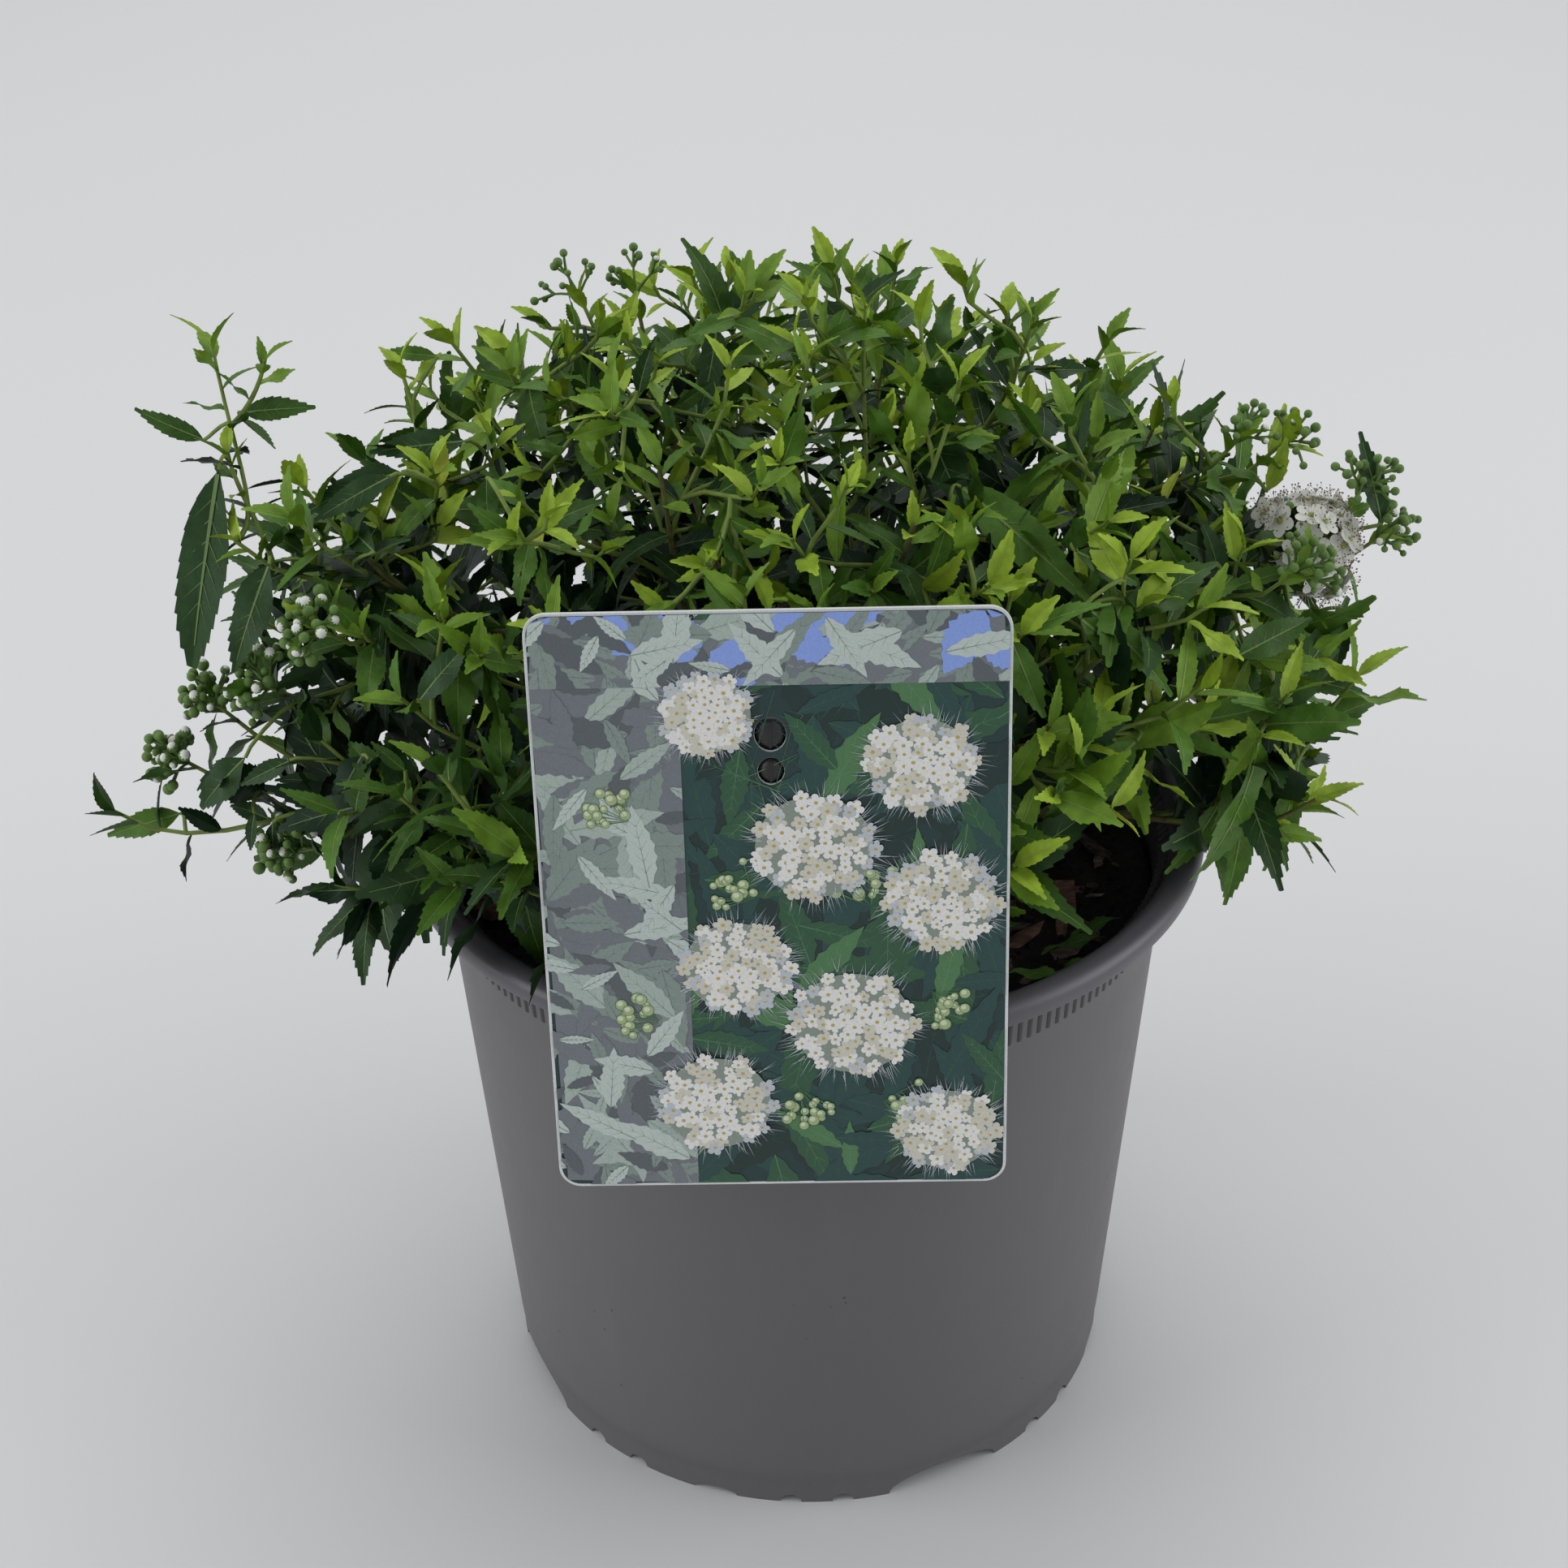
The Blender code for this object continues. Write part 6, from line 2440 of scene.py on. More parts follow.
    def coarse_targets(self) -> list[Target]:
        """Where the source's shoots end: those that stand out, then a golden-angle lattice.

        Returns:
            The ends, each with what its shoot carries.
        """
        chance = random.Random(7)
        targets = []
        for azimuth, elevation, reach, tip in self.standing_out:
            longer = self.longer_reach if tip is Tip.LEAFY and reach < 1.2 else 1.0
            targets.append((self.dome.at((azimuth, elevation, reach * longer)), tip))
        number = 0
        while len(targets) < self.coarse_shoots + len(self.standing_out):
            azimuth = number * GOLDEN_ANGLE + chance.uniform(-0.10, 0.10)
            level = 1 - 1.20 * (number + 0.5) / self.coarse_shoots
            number += 1
            if level < -1:
                break
            elevation = math.asin(level) + chance.uniform(-0.05, 0.05)
            if elevation < self.dome.lowest(azimuth):
                continue
            reach = chance.uniform(*self.coarse_reach) * self.longer_reach
            end = self.dome.point(azimuth, elevation, reach * self.drawn_in(elevation))
            if all((end - other).length > self.coarse_spacing for other, _ in targets):
                targets.append((end, Tip.LEAFY))
        return targets

    def drawn_in(self, elevation: float) -> float:
        """The share of the reach that low shoots keep, as their leaves are longer."""
        return 1 - self.low_drawn * clamp((self.drawn_below - elevation) / self.drawn_over)

    def fine_targets(self, coarse: list[Target]) -> list[Target]:
        """Where the finer shoots end, between the others on the dome and a little inside it.

        Args:
            coarse: Where the source's shoots end.

        Returns:
            The ends, each with what its shoot carries.
        """
        chance = random.Random(19)
        kept = [end for end, _ in coarse]
        targets: list[Target] = []
        for count, low, high, spacing in self.fine_plans:
            wanted = len(targets) + count
            for _ in range(self.fine_attempts):
                if len(targets) >= wanted:
                    break
                azimuth = chance.uniform(-math.pi, math.pi)
                elevation = math.asin(chance.uniform(-0.22, 1.0))
                if elevation < self.dome.lowest(azimuth) + math.radians(2):
                    continue
                reach = chance.uniform(low, high) * self.drawn_in(elevation)
                end = self.dome.point(azimuth, elevation, reach)
                free = all((end - other).length > spacing for other in kept)
                if free and not self.over_window(end):
                    kept.append(end)
                    targets.append((end, Tip.LEAFY))
        return targets

    def curve_between(
        self, start: Vector, ahead: Vector, end: Vector, pull: float
    ) -> list[Vector]:
        """Points of a bend that turns up towards its end.

        Args:
            start: Where it starts.
            ahead: Where it leaves to.
            end: Where it ends.
            pull: How long it keeps to that direction, as a share of its length.

        Returns:
            The points, about a step apart.
        """
        length = (end - start).length
        lift = 3.0 if self.dome.depth(end) > 1.2 else 1.0
        upward = ((end - Vector(self.dome.heart)).normalized() + UP * lift).normalized()
        last = end - upward * length * 0.35 * lift**0.5
        count = max(5, min(14, round(length / self.curve_step)))
        return bend(start, start + ahead * length * pull, last, end, count)

    def trimmed(
        self, points: list[Vector], own: int, limb_margin: float, kept: int
    ) -> list[Vector]:
        """The stretch of a twig that is free all the way.

        Args:
            points: The twig's points.
            own: The mass that it belongs to.
            limb_margin: How far it keeps from the limbs.
            kept: How many of its first points are kept in any case.

        Returns:
            The points of that stretch.
        """
        for before, after in zip(points[kept - 1 :], points[kept:]):
            spots = np.array([before.lerp(after, (step + 1) / 4) for step in range(4)])
            free = self.around.clear(spots, self.twig_margin, limb_margin)
            if not (free and self.around.in_space(spots, own, -self.twig_overlap)):
                break
            kept += 1
        return points[:kept]

    def foothold(self, shoots: list[Shoot], end: Vector) -> tuple[float, Shoot, float] | None:
        """The best place for a finer twig to leave from: near, and at an easy angle.

        Args:
            shoots: The shoots that it may leave from.
            end: Where it ends.

        Returns:
            The place's cost, its shoot and its share of the shoot's length, or None.
        """
        best = None
        low, high = self.foot_shares
        for shoot in shoots:
            last = len(shoot.points) - 1
            for number in range(1, last):
                share = number / last
                foot = shoot.points[number]
                along = (shoot.points[number + 1] - foot).normalized()
                toward = end - foot
                angle = along.angle(toward) if toward.length > 1e-5 else 3.0
                near = toward.length <= self.shortest_twig
                if low <= share <= high and not near and angle < self.widest_angle:
                    cost = toward.length * (1 + 0.8 * abs(angle - self.easy_angle))
                    if best is None or cost < best[0]:
                        best = (cost, shoot, share)
        return best

    def grow_mass(self, own: int, coarse: list[Target], fine: list[Target]) -> None:
        """Grows one mass: its stem, the source's twigs, and the finer ones from them.

        Args:
            own: The mass's number, which is its bough's.
            coarse: Ends of the source's shoots in its space.
            fine: Ends of the finer shoots in its space.
        """
        bough = self.boughs[own]
        start = bough.tip + bough.ahead * GAP

        def from_site(target: Target) -> float:
            """How far a target is from the middle of the mass, and further over bare soil."""
            detour = self.window_detour * self.over_window(target[0])
            return (target[0] - bough.site).length + detour

        lead = min(coarse, key=from_site)
        collar = start + bough.ahead * self.collar
        stem = [start, *self.curve_between(collar, bough.ahead, lead[0], self.stem_pull)]
        stem = self.trimmed(stem, own, self.stem_limb_margin, 2)
        stem = stem[:4] + [point for point in stem[4:] if not self.over_window(point)]
        mine = [Shoot(stem, self.stem_radius, self.tip_radius, lead[1], own, 0.10)]
        axis = stem[-1] - stem[0]
        for target in coarse:
            if target is not lead:
                share = (target[0] - stem[0]).dot(axis) / axis.length_squared - 0.42
                share = min(0.72, max(0.06, share))
                mine += self.branch(stem, share, target, own, self.twig_radius * 1.1)
        for target in sorted(fine, key=lambda pair: -(pair[0] - bough.site).length):
            best = self.foothold(mine, target[0])
            if best is not None:
                mine += self.branch(best[1].points, best[2], target, own, self.twig_radius * 0.9)
        self.shoots += mine

    def branch(
        self, parent: list[Vector], share: float, target: Target, own: int, radius: float
    ) -> list[Shoot]:
        """One twig from a place on another.

        Args:
            parent: Points of the other.
            share: The place, as a share of the other's length.
            target: Where the twig ends and what it carries.
            own: The mass that it belongs to.
            radius: Its radius at its foot.

        Returns:
            The twig, or nothing where it has no room.
        """
        end, tip = target
        place = share * (len(parent) - 1)
        segment = min(int(place), len(parent) - 2)
        along = parent[segment + 1] - parent[segment]
        start = parent[segment] + along * (place - segment)
        toward = (end - start).normalized()
        leaving = (along.normalized() + toward).normalized()
        points = self.curve_between(start, leaving, end, self.twig_pull)
        points = self.trimmed(points, own, self.twig_limb_margin, 1)
        if len(points) < 4 or any(self.over_window(point) for point in points[2:]):
            return []
        return [Shoot(points, radius, self.tip_radius, tip, own, 0.14)]

    def age_of(self, from_tip: float, vigour: float, place: Vector, chance: random.Random) -> Age:
        """The leaf's colour group by its age on the shoot and its place in the crown, with painted
        shade deep inside it.

        Args:
            from_tip: Distance from the shoot's tip.
            vigour: How bright the shoot is, about 0 to 1.
            place: Where the leaf's foot is.
            chance: Where a draw comes from.

        Returns:
            The group.
        """
        # painted shade: the deeper a leaf lies inside the crown, the darker its group
        inside = max(0.0, 0.88 - self.dome.depth(place)) * 6.5
        low = clamp((0.228 - place.z) / 0.040)
        left = clamp((-place.x - 0.02) / 0.07)
        right = clamp((place.x - 0.03) / 0.05)
        rank = from_tip / self.age_step + 1.3 * (1 - vigour) + inside
        rank += low * (1.0 - 0.9 * right + 2.0 * left)
        rank += chance.uniform(-1.0, 1.0)
        if chance.random() < self.rare_leaf:
            return Age.GOLD if inside < 0.5 else Age.BROWN
        return LEAF_ORDER[int(min(len(LEAF_ORDER) - 1, max(0, rank)))]

    def leaf_is_free(
        self, root: Vector, turn: Quaternion, length: float, shape: int, own: int
    ) -> bool:
        """Whether a leaf keeps clear of all that is fixed, and near its own mass.

        Args:
            root: Where its foot is.
            turn: How it is turned.
            length: Its length.
            shape: Its shape's number.
            own: The mass that it belongs to.

        Returns:
            True where it does.
        """
        blade = LEAF_SHAPES[shape]
        spots = []
        for t, side in self.leaf_probes:
            across = side * blade.half(min(t, 0.99))
            spots.append(root + turn @ (blade.spot(t, across) * length))
        points = np.array(spots)
        if not self.around.clear(points, *self.leaf_margins) or self.hangs_beside_label(points):
            return False
        return self.around.in_space(points, own, -self.leaf_overlap)

    def hangs_beside_label(self, points: np.ndarray) -> bool:
        """Whether a leaf hangs over the lip where it is bare, to the right of the label.

        Args:
            points: The leaf's points.

        Returns:
            True where one of them does.
        """
        first, last, top = self.bare_lip
        azimuth = np.degrees(np.arctan2(points[:, 1], points[:, 0]))
        return bool(((points[:, 2] < top) & (azimuth > first) & (azimuth < last)).any())

    def over_window(self, point: Vector) -> bool:
        """Whether a low point lies over the soil that shows beside the label."""
        azimuth = math.degrees(math.atan2(point.y, point.x))
        return abs(azimuth - self.window_azimuth) < self.window_half and point.z < self.window_top

    def put_leaf(self, root: Vector, turn: Quaternion, length: float, shape: int, age: Age) -> None:
        """Adds a leaf to its colour group."""
        self.leaves.setdefault(age, Placements()).add(root, turn, float(length), shape)

    def dress_shoot(self, shoot: Shoot, chance: random.Random) -> None:
        """Sets leaves in a spiral: small, upright and crowded at the tip, long and spreading below.

        Args:
            shoot: The shoot.
            chance: Where the draws come from.
        """
        total = shoot.length()
        vigour = chance.uniform(0.15, 1.0)
        end = shoot.points[-1]
        low = clamp((0.245 + 0.015 * (end.x > 0.03) - end.z) / 0.060)
        longest = chance.uniform(*self.longest_leaf) + low * chance.uniform(*self.longest_low_more)
        longest = self.lone_leaf if self.dome.depth(end) > 1.16 else longest
        shortest = chance.uniform(*self.shortest_leaf) + low * self.shortest_low_more
        turn = chance.uniform(0, math.tau)
        from_tip = self.first_leaf
        while from_tip < total * (1 - shoot.leafless):
            age_share = min(1.0, from_tip / self.full_size_from)
            length = (shortest + (longest - shortest) * age_share) * chance.uniform(0.82, 1.15)
            root, along = shoot.at(from_tip)
            if self.over_window(root) and chance.random() < self.window_share:
                from_tip += self.window_step
                continue
            spread = math.radians(24 + 46 * min(1.0, from_tip / self.full_spread_from))
            spread *= chance.uniform(0.8, 1.2)
            young = from_tip < self.young_until and low < 0.6
            kinds = YOUNG_SHAPES if young else GROWN_SHAPES
            shape = chance.choice(LONG_SHAPES if length > self.long_from else kinds)
            age = self.age_of(from_tip, vigour, root, chance)
            for attempt in range(self.leaf_attempts):
                side = along.orthogonal().normalized()
                side.rotate(Matrix.Rotation(turn + attempt * self.attempt_turn, 3, along))
                less = 1.0 - self.attempt_less * attempt
                ahead = along * math.cos(spread * less) + side * math.sin(spread * less)
                face = along * 0.9 + UP * 0.45 - side * 0.35
                face += Vector((chance.uniform(-0.2, 0.2), chance.uniform(-0.2, 0.2), 0.0))
                leaf = root, axes_along(ahead, face), length * less, shape
                if self.leaf_is_free(*leaf, shoot.own):
                    self.put_leaf(*leaf, age)
                    break
            turn += GOLDEN_ANGLE + chance.uniform(-0.15, 0.15)
            from_tip += 0.0011 + 0.0012 * low + min(0.0032 + 0.0020 * low, 0.45 * from_tip)

    def add_reaching_leaves(self) -> None:
        """Adds the long leaves that reach past their shoots, as the source has them."""
        chance = random.Random(5)
        for spot in self.reaching_tips:
            tip = self.dome.at(spot)
            own = int(np.linalg.norm(self.around.sites - np.array(tip), axis=1).argmin())
            mine = [shoot for shoot in self.shoots if shoot.own == own]
            feet = [point for shoot in mine for point in shoot.points[1:-1]]
            low, high = self.reaching_lengths
            feet = [point for point in feet if low < (tip - point).length < high]
            for root in sorted(feet, key=lambda foot: (tip - foot).length):
                ahead = tip - root
                face = UP + (root - Vector(self.dome.heart)).normalized() * 0.6
                shape = chance.choice(LONG_SHAPES)
                leaf = root, axes_along(ahead, face), ahead.length, shape
                if self.leaf_is_free(*leaf, own):
                    fresh = spot[1] > 30 or spot[0] > -60
                    self.put_leaf(*leaf, Age.FRESH if fresh else Age.DEEP)
                    break

    def add_lone_shoots(self) -> None:
        """Adds the shoots that stand clear of the crown, each from the nearest shoot."""
        for places in self.lone_shoots:
            foot, middle, tip = (self.dome.at(place) for place in places)
            feet = [(point, shoot.own) for shoot in self.shoots for point in shoot.points[2:]]
            start, own = min(feet, key=lambda pair: (pair[0] - foot).length)
            points = bend(start, foot, middle, tip, 12)
            lone = Shoot(points, self.twig_radius, self.tip_radius, Tip.LEAFY, own, 0.05)
            self.shoots.append(lone)

    def add_long_leaves(self) -> None:
        """Adds the large leaves, each in its place on a short stalk from the nearest shoot."""
        feet = [(point, shoot) for shoot in self.shoots for point in shoot.points[1:-1]]
        for leaf in LONG_LEAVES:
            root, tip = self.dome.at(leaf.foot), self.dome.at(leaf.tip)
            near, shoot = min(feet, key=lambda pair: (pair[0] - root).length)
            ahead = tip - root
            outward = (root - Vector(self.dome.heart)).normalized()
            turn = axes_along(ahead, UP * 0.5 + outward * 0.3 + Vector((0.0, -0.8, 0.0)))
            self.put_leaf(root, turn, ahead.length, leaf.shape, leaf.age)
            if (near - root).length > self.shortest_stalk:
                upward = (outward + UP) * (near - root).length * 0.3
                points = bend(near, near + upward * 0.4, root - ahead * 0.1 + upward * 0.2, root, 6)
                self.shoots.append(Shoot(points, *self.stalk_radii, Tip.LEAFY, shoot.own, 1.0))

    def add_fallen_leaves(self) -> None:
        """Lays dull leaves on the soil by the wall."""
        chance = random.Random(77)
        soil = self.around.soil
        for number in range(self.fallen_leaves):
            azimuth = math.radians(-62 + 29 * number + chance.uniform(-6, 6))
            out = chance.uniform(*self.fallen_circle)
            x, y = out * math.cos(azimuth), out * math.sin(azimuth)
            root = Vector((x, y, soil.level + soil.unevenness + self.fallen_lift))
            ahead = heading(chance.uniform(0, math.tau), 0.05)
            face = UP + Vector((-x, -y, 0.0)) * 6
            age = (Age.FRESH, Age.MATURE, Age.DEEP)[number % 3]
            self.put_leaf(root, axes_along(ahead, face), chance.uniform(*self.fallen_sizes), 3, age)
        for foot, tip, age in self.wall_leaves:
            root, ahead = Vector(foot), Vector(tip) - Vector(foot)
            turn = axes_along(ahead, UP + Vector((-foot[0], -foot[1], 0.0)) * 6)
            self.put_leaf(root, turn, ahead.length, 3, age)

    @staticmethod
    def tubes(shoots: list[Shoot], finish: Finish, sides: int) -> Mesh:
        """The twigs as round tubes in one mesh.

        Args:
            shoots: The twigs.
            finish: What they are made of.
            sides: How many sides a tube has.

        Returns:
            The tubes.
        """
        places, edges, radii = [], [], []
        for shoot in shoots:
            count = len(shoot.points)
            for number, point in enumerate(shoot.points):
                share = number / (count - 1)
                if number:
                    edges.append((len(places) - 1, len(places)))
                places.append(tuple(point))
                radii.append(shoot.foot_radius + (shoot.tip_radius - shoot.foot_radius) * share)
        mesh = bpy.data.meshes.new("courses")
        mesh.from_pydata(places, edges, [])
        radius = mesh.attributes.new("radius", "FLOAT", "POINT")
        radius.data.foreach_set("value", np.array(radii, np.float32))
        return tube_recipe().cast(mesh, finish, Count=sides)

    def nearest(self, targets: list[Target]) -> np.ndarray:
        """The number of the mass that each target belongs to."""
        ends = np.array([end for end, _ in targets])
        return np.linalg.norm(ends[:, None] - self.around.sites, axis=2).argmin(axis=1)

    def grow(self) -> None:
        """Grows all masses and plans their leaves."""
        coarse = self.coarse_targets()
        fine = self.fine_targets(coarse)
        coarse_owner, fine_owner = self.nearest(coarse), self.nearest(fine)
        for own in range(len(self.boughs)):
            mine = [target for target, owner in zip(coarse, coarse_owner) if owner == own]
            finer = [target for target, owner in zip(fine, fine_owner) if owner == own]
            self.grow_mass(own, mine, finer)
        self.add_lone_shoots()
        self.add_reaching_leaves()
        grown = list(self.shoots)
        self.add_long_leaves()
        self.add_fallen_leaves()
        for number, shoot in enumerate(grown):
            self.dress_shoot(shoot, random.Random(500 + number))
        count = sum(len(placed.rows) for placed in self.leaves.values())
        log.info("%d shoots, %d leaves", len(self.shoots), count)

    def build(self) -> None:
        """Makes stems, shoots, leaves and midribs."""
        stems = [shoot for shoot in self.shoots if shoot.foot_radius == self.stem_radius]
        twigs = [shoot for shoot in self.shoots if shoot.foot_radius != self.stem_radius]
        names = [f"foliage_{bough.name}" for bough in self.boughs]
        stems = self.tubes(stems, self.wood, 7)
        show("leafy_stems", stems, None, names)
        show("green_shoots", self.tubes(twigs, self.green, 6))
        blades = [shape.mesh() for shape in LEAF_SHAPES]
        ribs = [shape.rib() for shape in LEAF_SHAPES]
        for age, placed in self.leaves.items():
            label = age.name.lower()
            pale = tuple(0.60 * part + 0.40 * light for part, light in zip(age.value, self.pale))
            finish = Foliage(f"leaf_{label}", age.value)
            vein = Foliage(f"midrib_{label}", pale, 0.5, 0.0)
            for name, shapes, skin in (("leaves", blades, finish), ("midribs", ribs, vein)):
                name = f"{name}_{label}"
                show(name, placed.cast(shapes, skin))


@dataclass
class Blossom:
    """Bud clusters and open flowers at the shoots that carry them.

    A head is a number of rays, how far the outermost leans in degrees, and how long they are.
    """

    crown: Crown
    stalk_radius: float = 0.00030
    bud_radius: float = 0.00122
    petal_length: float = 0.0036
    green: Foliage = Foliage("bud_green", (0.105, 0.185, 0.045), 0.5)
    white: Foliage = Foliage("petal_white", (0.680, 0.690, 0.630), 0.55, 0.05, 0.1)
    pollen: Foliage = Foliage("flower_heart", (0.330, 0.340, 0.060), 0.6)
    anther: Foliage = Foliage("stamen_brown", (0.200, 0.130, 0.090), 0.7)
    open_from: float = -0.08
    sparse_from: float = -0.008
    bud_head: tuple[int, float, Point2] = (8, 70.0, (0.0030, 0.0066))
    flower_head: tuple[int, float, Point2] = (17, 112.0, (0.0055, 0.0085))
    sparse_rays: int = 4
    ray_stalks: int = 4
    ray_bow: float = 0.0006
    open_flowers: int = 3
    end_reach: float = 0.003
    end_margin: float = 0.001
    stalks: list[Shoot] = field(default_factory=list)
    buds: Placements = field(default_factory=Placements)
    sepals: Placements = field(default_factory=Placements)
    petals: Placements = field(default_factory=Placements)
    flowers: Placements = field(default_factory=Placements)
    hearts: Placements = field(default_factory=Placements)

    @staticmethod
    def ball(sides: int, bands: int, low: float) -> Mesh:
        """A round body of unit radius, cut off at its foot.

        Args:
            sides: How many sides it has round its axis.
            bands: How many bands it has from foot to top.
            low: The height of its foot, from -1 for a whole ball.

        Returns:
            The mesh, shaded round.
        """
        bm = bmesh.new()
        bmesh.ops.create_uvsphere(bm, u_segments=sides, v_segments=bands, radius=1.0)
        drop = [v for v in bm.verts if v.co.z < low - 1e-4]
        bmesh.ops.delete(bm, geom=drop, context="VERTS")
        for face in bm.faces:
            face.smooth = True
        return mesh_from(bm)

    @staticmethod
    def sepal_star() -> Mesh:
        """Five short pointed sepals round an opening bud.

        Returns:
            The mesh, for a bud of unit radius.
        """
        bm = bmesh.new()
        for number in range(5):
            out = []
            for swing, height, reach in ((-0.5, 0.25, 0.80), (0.5, 0.25, 0.80), (0.0, 0.72, 0.62)):
                angle = math.tau * number / 5 + swing * 0.9
                out.append(bm.verts.new((reach * math.cos(angle), reach * math.sin(angle), height)))
            bm.faces.new(out)
        return mesh_from(bm)

    @staticmethod
    def flower() -> Mesh:
        """Five round cupped petals, open to +Z.

        Returns:
            The mesh, with petals of unit length.
        """
        bm = bmesh.new()
        for number in range(5):
            spots = [Vector((0.56, 0.0, 0.06))]
            for step in range(10):
                t = math.tau * step / 10
                along, across = 0.56 + 0.46 * math.cos(t), 0.40 * math.sin(t)
                height = 0.10 + 0.16 * (along - 0.3) ** 2 + 0.25 * across**2
                spots.append(Vector((along, across, height)))
            for spot in spots:
                spot.rotate(Matrix.Rotation(math.tau * number / 5, 3, "Z"))
            centre, *ring = [bm.verts.new(spot) for spot in spots]
            for before, after in pairwise([*ring, ring[0]]):
                bm.faces.new((before, after, centre)).smooth = True
        bmesh.ops.recalc_face_normals(bm, faces=bm.faces)
        return mesh_from(bm)

    @staticmethod
    def stamens(balls: bool) -> Mesh:
        """Thin hairs that stand out of a flower, or the dots at their ends.

        Args:
            balls: Whether the dots are wanted.

        Returns:
            The mesh, for petals of unit length.
        """
        chance = random.Random(3)
        bm = bmesh.new()
        for number in range(15):
            lean = math.radians(18 + 48 * chance.random())
            ahead = heading(number * GOLDEN_ANGLE, math.pi / 2 - lean)
            length = chance.uniform(0.8, 1.25)
            if balls:
                bmesh.ops.create_cube(bm, size=0.075, matrix=Matrix.Translation(ahead * length))
                continue
            side = ahead.orthogonal().normalized() * 0.016
            corners = (side, ahead.cross(side.normalized()) * 0.016, -side)
            foot = [bm.verts.new(ahead * 0.1 + corner) for corner in corners]
            head = [bm.verts.new(ahead * length + corner) for corner in corners]
            for step in range(3):
                bm.faces.new((foot[step - 1], foot[step], head[step], head[step - 1]))
        return mesh_from(bm)

    def stalk(self, start: Vector, end: Vector, bow: float = 0.0) -> None:
        """Adds one thin stalk.

        Args:
            start: Its foot.
            end: Its upper end.
            bow: How far its middle is raised.
        """
        middle = (start + end) / 2 + UP * bow
        points = bend(start, start.lerp(middle, 0.7), end.lerp(middle, 0.5), end, 4)
        radii = self.stalk_radius * 1.25, self.stalk_radius
        self.stalks.append(Shoot(points, *radii, Tip.BUDS, 0, 0.0))

    def plan_end(
        self, shoot: Shoot, knot: Vector, ahead: Vector, twig: int, chance: random.Random
    ) -> None:
        """Plans the bud or flower at the end of one thin stalk.

        Args:
            shoot: The shoot that carries the head.
            knot: Where the stalk leaves.
            ahead: The way that its ray goes.
            twig: The stalk's number on the ray.
            chance: Where the draws come from.
        """
        open_side = shoot.points[-1].x < self.open_from
        turn = twig * math.tau / self.ray_stalks + chance.random()
        out = ahead.orthogonal().normalized()
        out.rotate(Matrix.Rotation(turn, 3, ahead))
        away = (ahead + out * chance.uniform(0.5, 0.9)).normalized()
        end = knot + away * chance.uniform(0.0022, 0.0046)
        bare = shoot.tip is Tip.BUDS and chance.random() < 0.2 and not open_side
        outermost = np.array([end + away * self.end_reach])
        if bare or not self.crown.around.clear(outermost, self.end_margin, 0.0):
            return
        self.stalk(knot, end)
        upright = away.to_track_quat("Z", "Y")
        if shoot.tip is Tip.FLOWERS and twig < self.open_flowers:
            size = self.petal_length * chance.uniform(0.85, 1.1)
            self.flowers.add(end, upright, size)
            self.hearts.add(end, upright, size * 0.26)
            return
        size = self.bud_radius * chance.uniform(0.70, 1.15) * (1.05 if open_side else 0.84)
        self.buds.add(end + away * size * 0.5, upright, size)
        self.sepals.add(end + away * size * 0.5, upright, size * 1.08)
        if chance.random() < (0.5 if open_side else 0.12):
            self.petals.add(end + away * size * 0.66, upright, size * 0.92)

    def plan(self) -> None:
        """Plans the heads, ray by ray."""
        for number, shoot in enumerate(self.crown.shoots):
            if shoot.tip is Tip.LEAFY:
                continue
            chance = random.Random(900 + number)
            tip, along = shoot.at(0.0)
            rays, widest, spread = self.bud_head
            if shoot.tip is Tip.FLOWERS:
                rays, widest, spread = self.flower_head
            elif tip.y > self.sparse_from:
                rays = self.sparse_rays
            for ray in range(rays):
                lean = math.radians(widest) * math.sqrt((ray + 0.2) / rays)
                side = along.orthogonal().normalized()
                side.rotate(Matrix.Rotation(ray * GOLDEN_ANGLE + number, 3, along))
                ahead = (along * math.cos(lean) + side * math.sin(lean)).normalized()
                knot = tip + ahead * chance.uniform(*spread)
                self.stalk(tip, knot, self.ray_bow)
                for twig in range(self.ray_stalks):
                    self.plan_end(shoot, knot, ahead, twig, chance)

    def build(self) -> None:
        """Makes stalks, buds, petals and stamens."""
        self.plan()
        green = [
            self.crown.tubes(self.stalks, self.green, 5),
            self.buds.cast([self.ball(10, 7, -1.0)], self.green),
            self.sepals.cast([self.sepal_star()], self.green),
        ]
        white = [
            self.petals.cast([self.ball(9, 6, -0.6)], self.white),
            self.flowers.cast([self.flower()], self.white),
            self.flowers.cast([self.stamens(False)], self.white),
        ]
        hearts = [
            self.flowers.cast([self.stamens(True)], self.anther),
            self.hearts.cast([self.ball(9, 6, -0.2)], self.pollen),
        ]
        pieces = {"bud_clusters": green, "white_petals": white, "flower_hearts": hearts}
        for name, parts in pieces.items():
            show(name, joined(parts))


# Stage


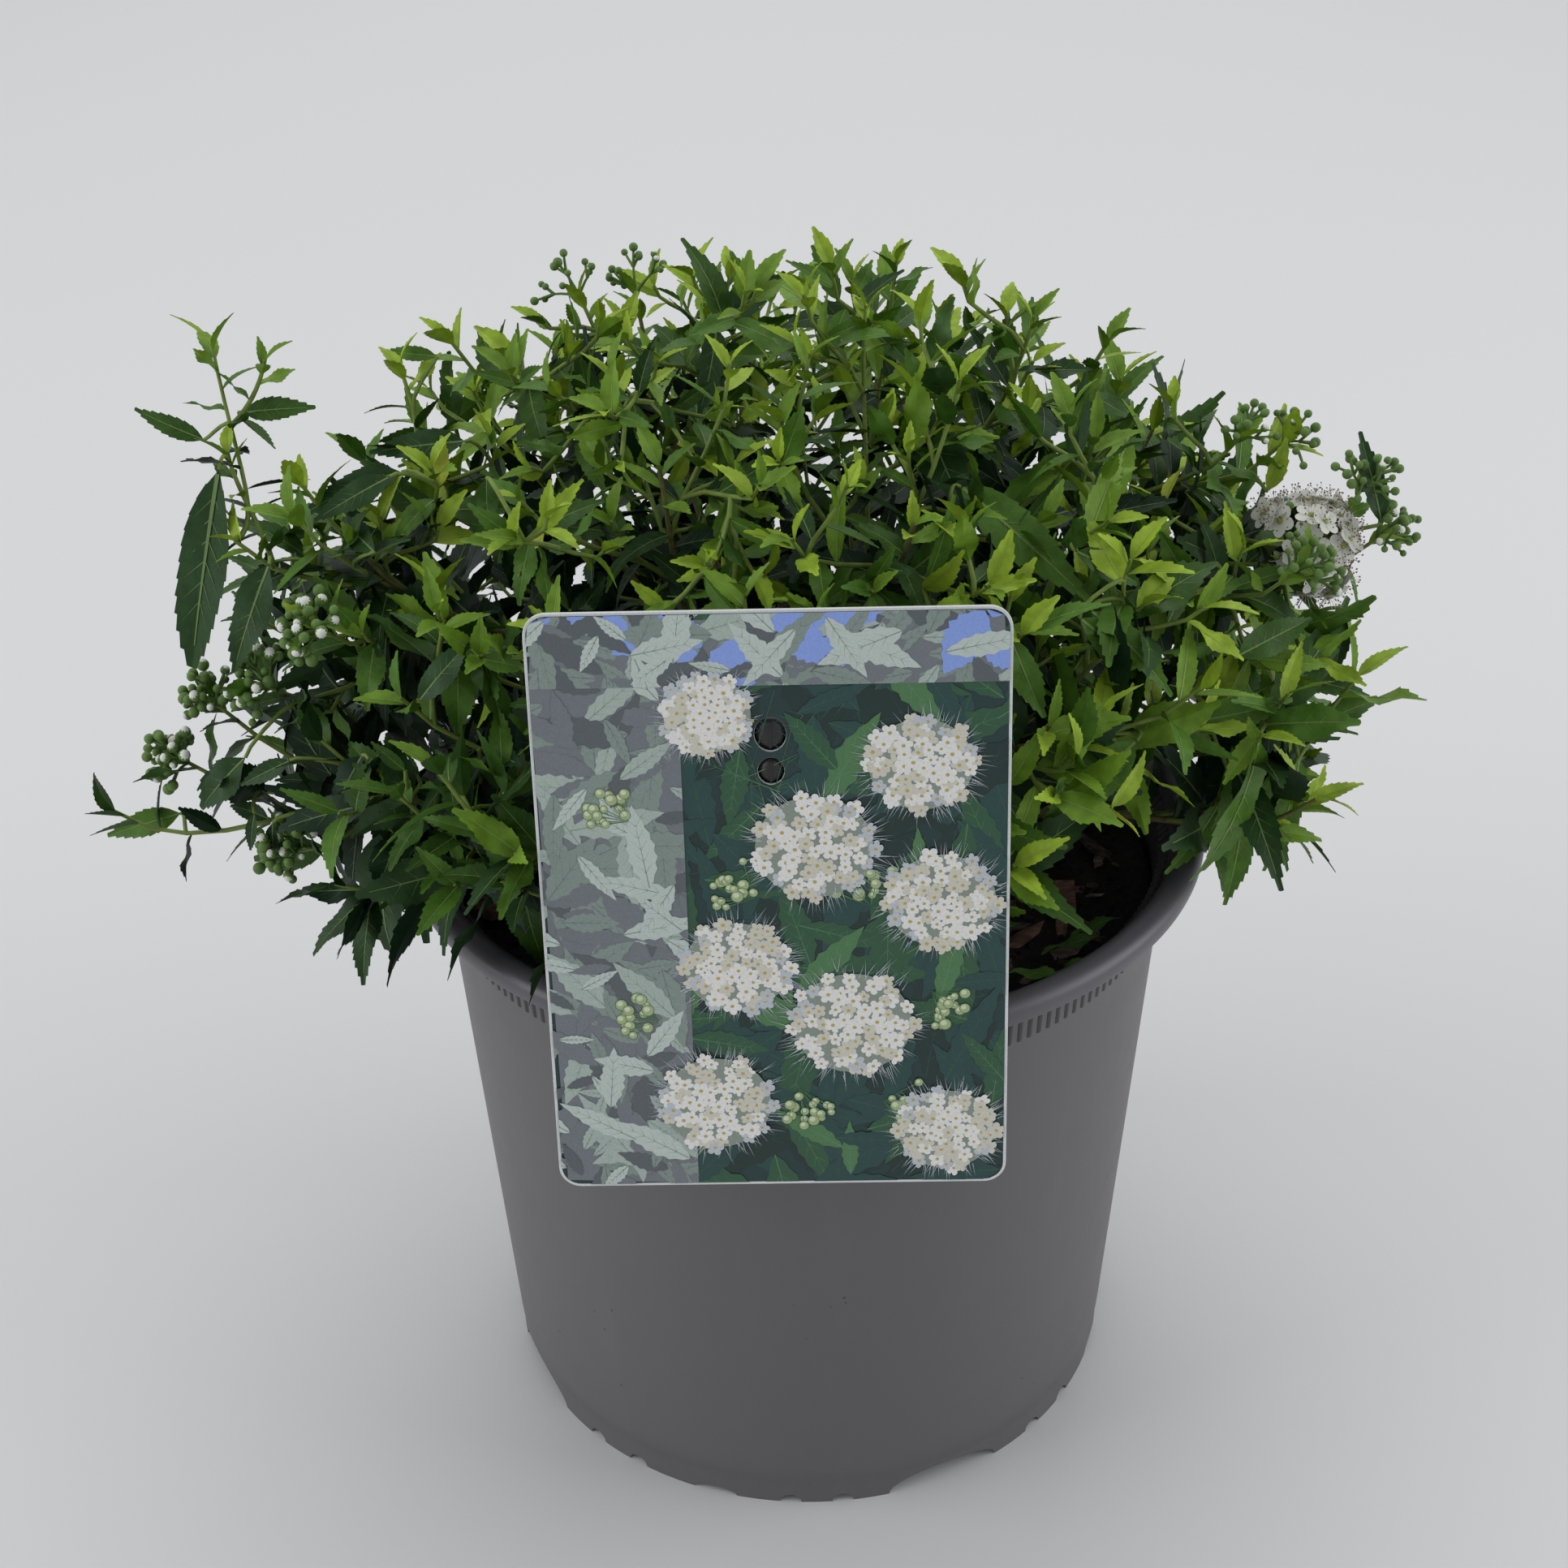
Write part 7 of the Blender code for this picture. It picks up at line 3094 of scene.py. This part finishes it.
@dataclass
class Stage:
    """Camera, lights and floor."""

    eye: Point3 = (-0.00448, -0.46880, 0.44646)
    ahead: Point3 = (0.0, 0.85244, -0.52282)
    roll: float = -0.01796
    focal_pixels: float = 2850.0
    frame_pixels: float = 1932.0
    sensor: float = 36.0
    floor_size: float = 9.0
    sky: Colour = (0.95, 0.97, 1.0)
    sky_strength: float = 0.60
    lamps: tuple[tuple[str, Point3, Point3, float, float], ...] = (
        ("overhead", (0.0, 1.7, 2.4), (0.0, 1.4, 0.0), 2.0, 27.0),
        ("left", (-1.4, -0.3, 0.75), (0.0, 0.0, 0.18), 1.0, 8.2),
        ("right", (1.4, -0.1, 0.75), (0.0, 0.0, 0.18), 1.0, 7.7),
    )

    def camera(self) -> None:
        """The camera at the photo's place and angle."""
        lens = bpy.data.cameras.new("camera")
        lens.sensor_width = self.sensor
        lens.lens = self.focal_pixels / self.frame_pixels * self.sensor
        lens.clip_start = 0.01
        camera = on_bench("camera", lens)
        ahead = Vector(self.ahead).normalized()
        level = ahead.cross(UP).normalized()
        over = level.cross(ahead)
        right = level * math.cos(self.roll) + over * math.sin(self.roll)
        up = over * math.cos(self.roll) - level * math.sin(self.roll)
        axes = Matrix((right, up, -ahead)).transposed().to_4x4()
        camera.matrix_world = Matrix.Translation(self.eye) @ axes
        bpy.context.scene.camera = camera

    def floor(self) -> None:
        """A plain pale floor."""
        bm = bmesh.new()
        bmesh.ops.create_grid(bm, x_segments=8, y_segments=8, size=self.floor_size / 2)
        mesh = mesh_from(bm)
        mesh.materials.append(StageFloor().material())
        on_bench("floor", mesh)

    @staticmethod
    def lamp(name: str, place: Point3, target: Point3, size: float, power: float) -> None:
        """One square soft light.

        Args:
            name: Its name.
            place: Where it hangs.
            target: What it points at.
            size: Its side.
            power: Its power in watts.
        """
        light = bpy.data.lights.new(name, "AREA")
        light.size = size
        light.energy = power
        lamp = on_bench(name, light)
        lamp.location = place
        ahead = Vector(target) - Vector(place)
        lamp.rotation_euler = ahead.to_track_quat("-Z", "Y").to_euler()

    def build(self) -> None:
        """Sets the stage."""
        self.camera()
        self.floor()
        for lamp in self.lamps:
            self.lamp(*lamp)
        world = bpy.data.worlds.new("studio")
        world.use_nodes = True
        ground = world.node_tree.nodes["Background"]
        ground.inputs["Color"].default_value = (*self.sky, 1.0)
        ground.inputs["Strength"].default_value = self.sky_strength
        bpy.context.scene.world = world
        bpy.context.scene.view_settings.view_transform = "Standard"


def plan_boughs(dome: Dome, knob: Knob) -> list[Bough]:
    """Works out every limb, ring by ring, as the source does.

    Args:
        dome: The crown's outer form.
        knob: The root crown.

    Returns:
        The limbs.
    """
    rings = (
        ("low", 11, 180.0, 6.0, 13.0),
        ("mid", 8, 0.0, 36.0, 42.0),
        ("top", 4, 45.0, 66.0, 70.0),
    )
    boughs = []
    for ring, count, first, elevation, start_elevation in rings:
        for number in range(count):
            azimuth = math.radians(first + 360 * number / count)
            raised = elevation + 3.0 * math.sin(2.4 * number)
            if ring == "low" and math.sin(azimuth) < -0.3:
                raised += 6.0
            angles = azimuth, math.radians(raised), math.radians(start_elevation)
            boughs.append(Bough(f"{ring}_{number + 1:02d}", angles, dome, knob))
    return boughs


def main() -> None:
    """Builds everything in order."""
    logging.basicConfig(level=logging.INFO, format="%(name)s: %(message)s")
    Stage().build()
    pot = Pot()
    pot.build()
    soil = Soil(pot)
    soil.build()
    label = Label()
    label.build()
    holder = Holder(label)
    holder.build()
    knob = Knob()
    dome = Dome()
    boughs = plan_boughs(dome, knob)
    Wood(knob, boughs).build()
    around = Surroundings(boughs, soil, holder, knob)
    crown = Crown(dome, boughs, around)
    crown.grow()
    crown.build()
    Blossom(crown).build()


if __name__ == "__main__":
    main()
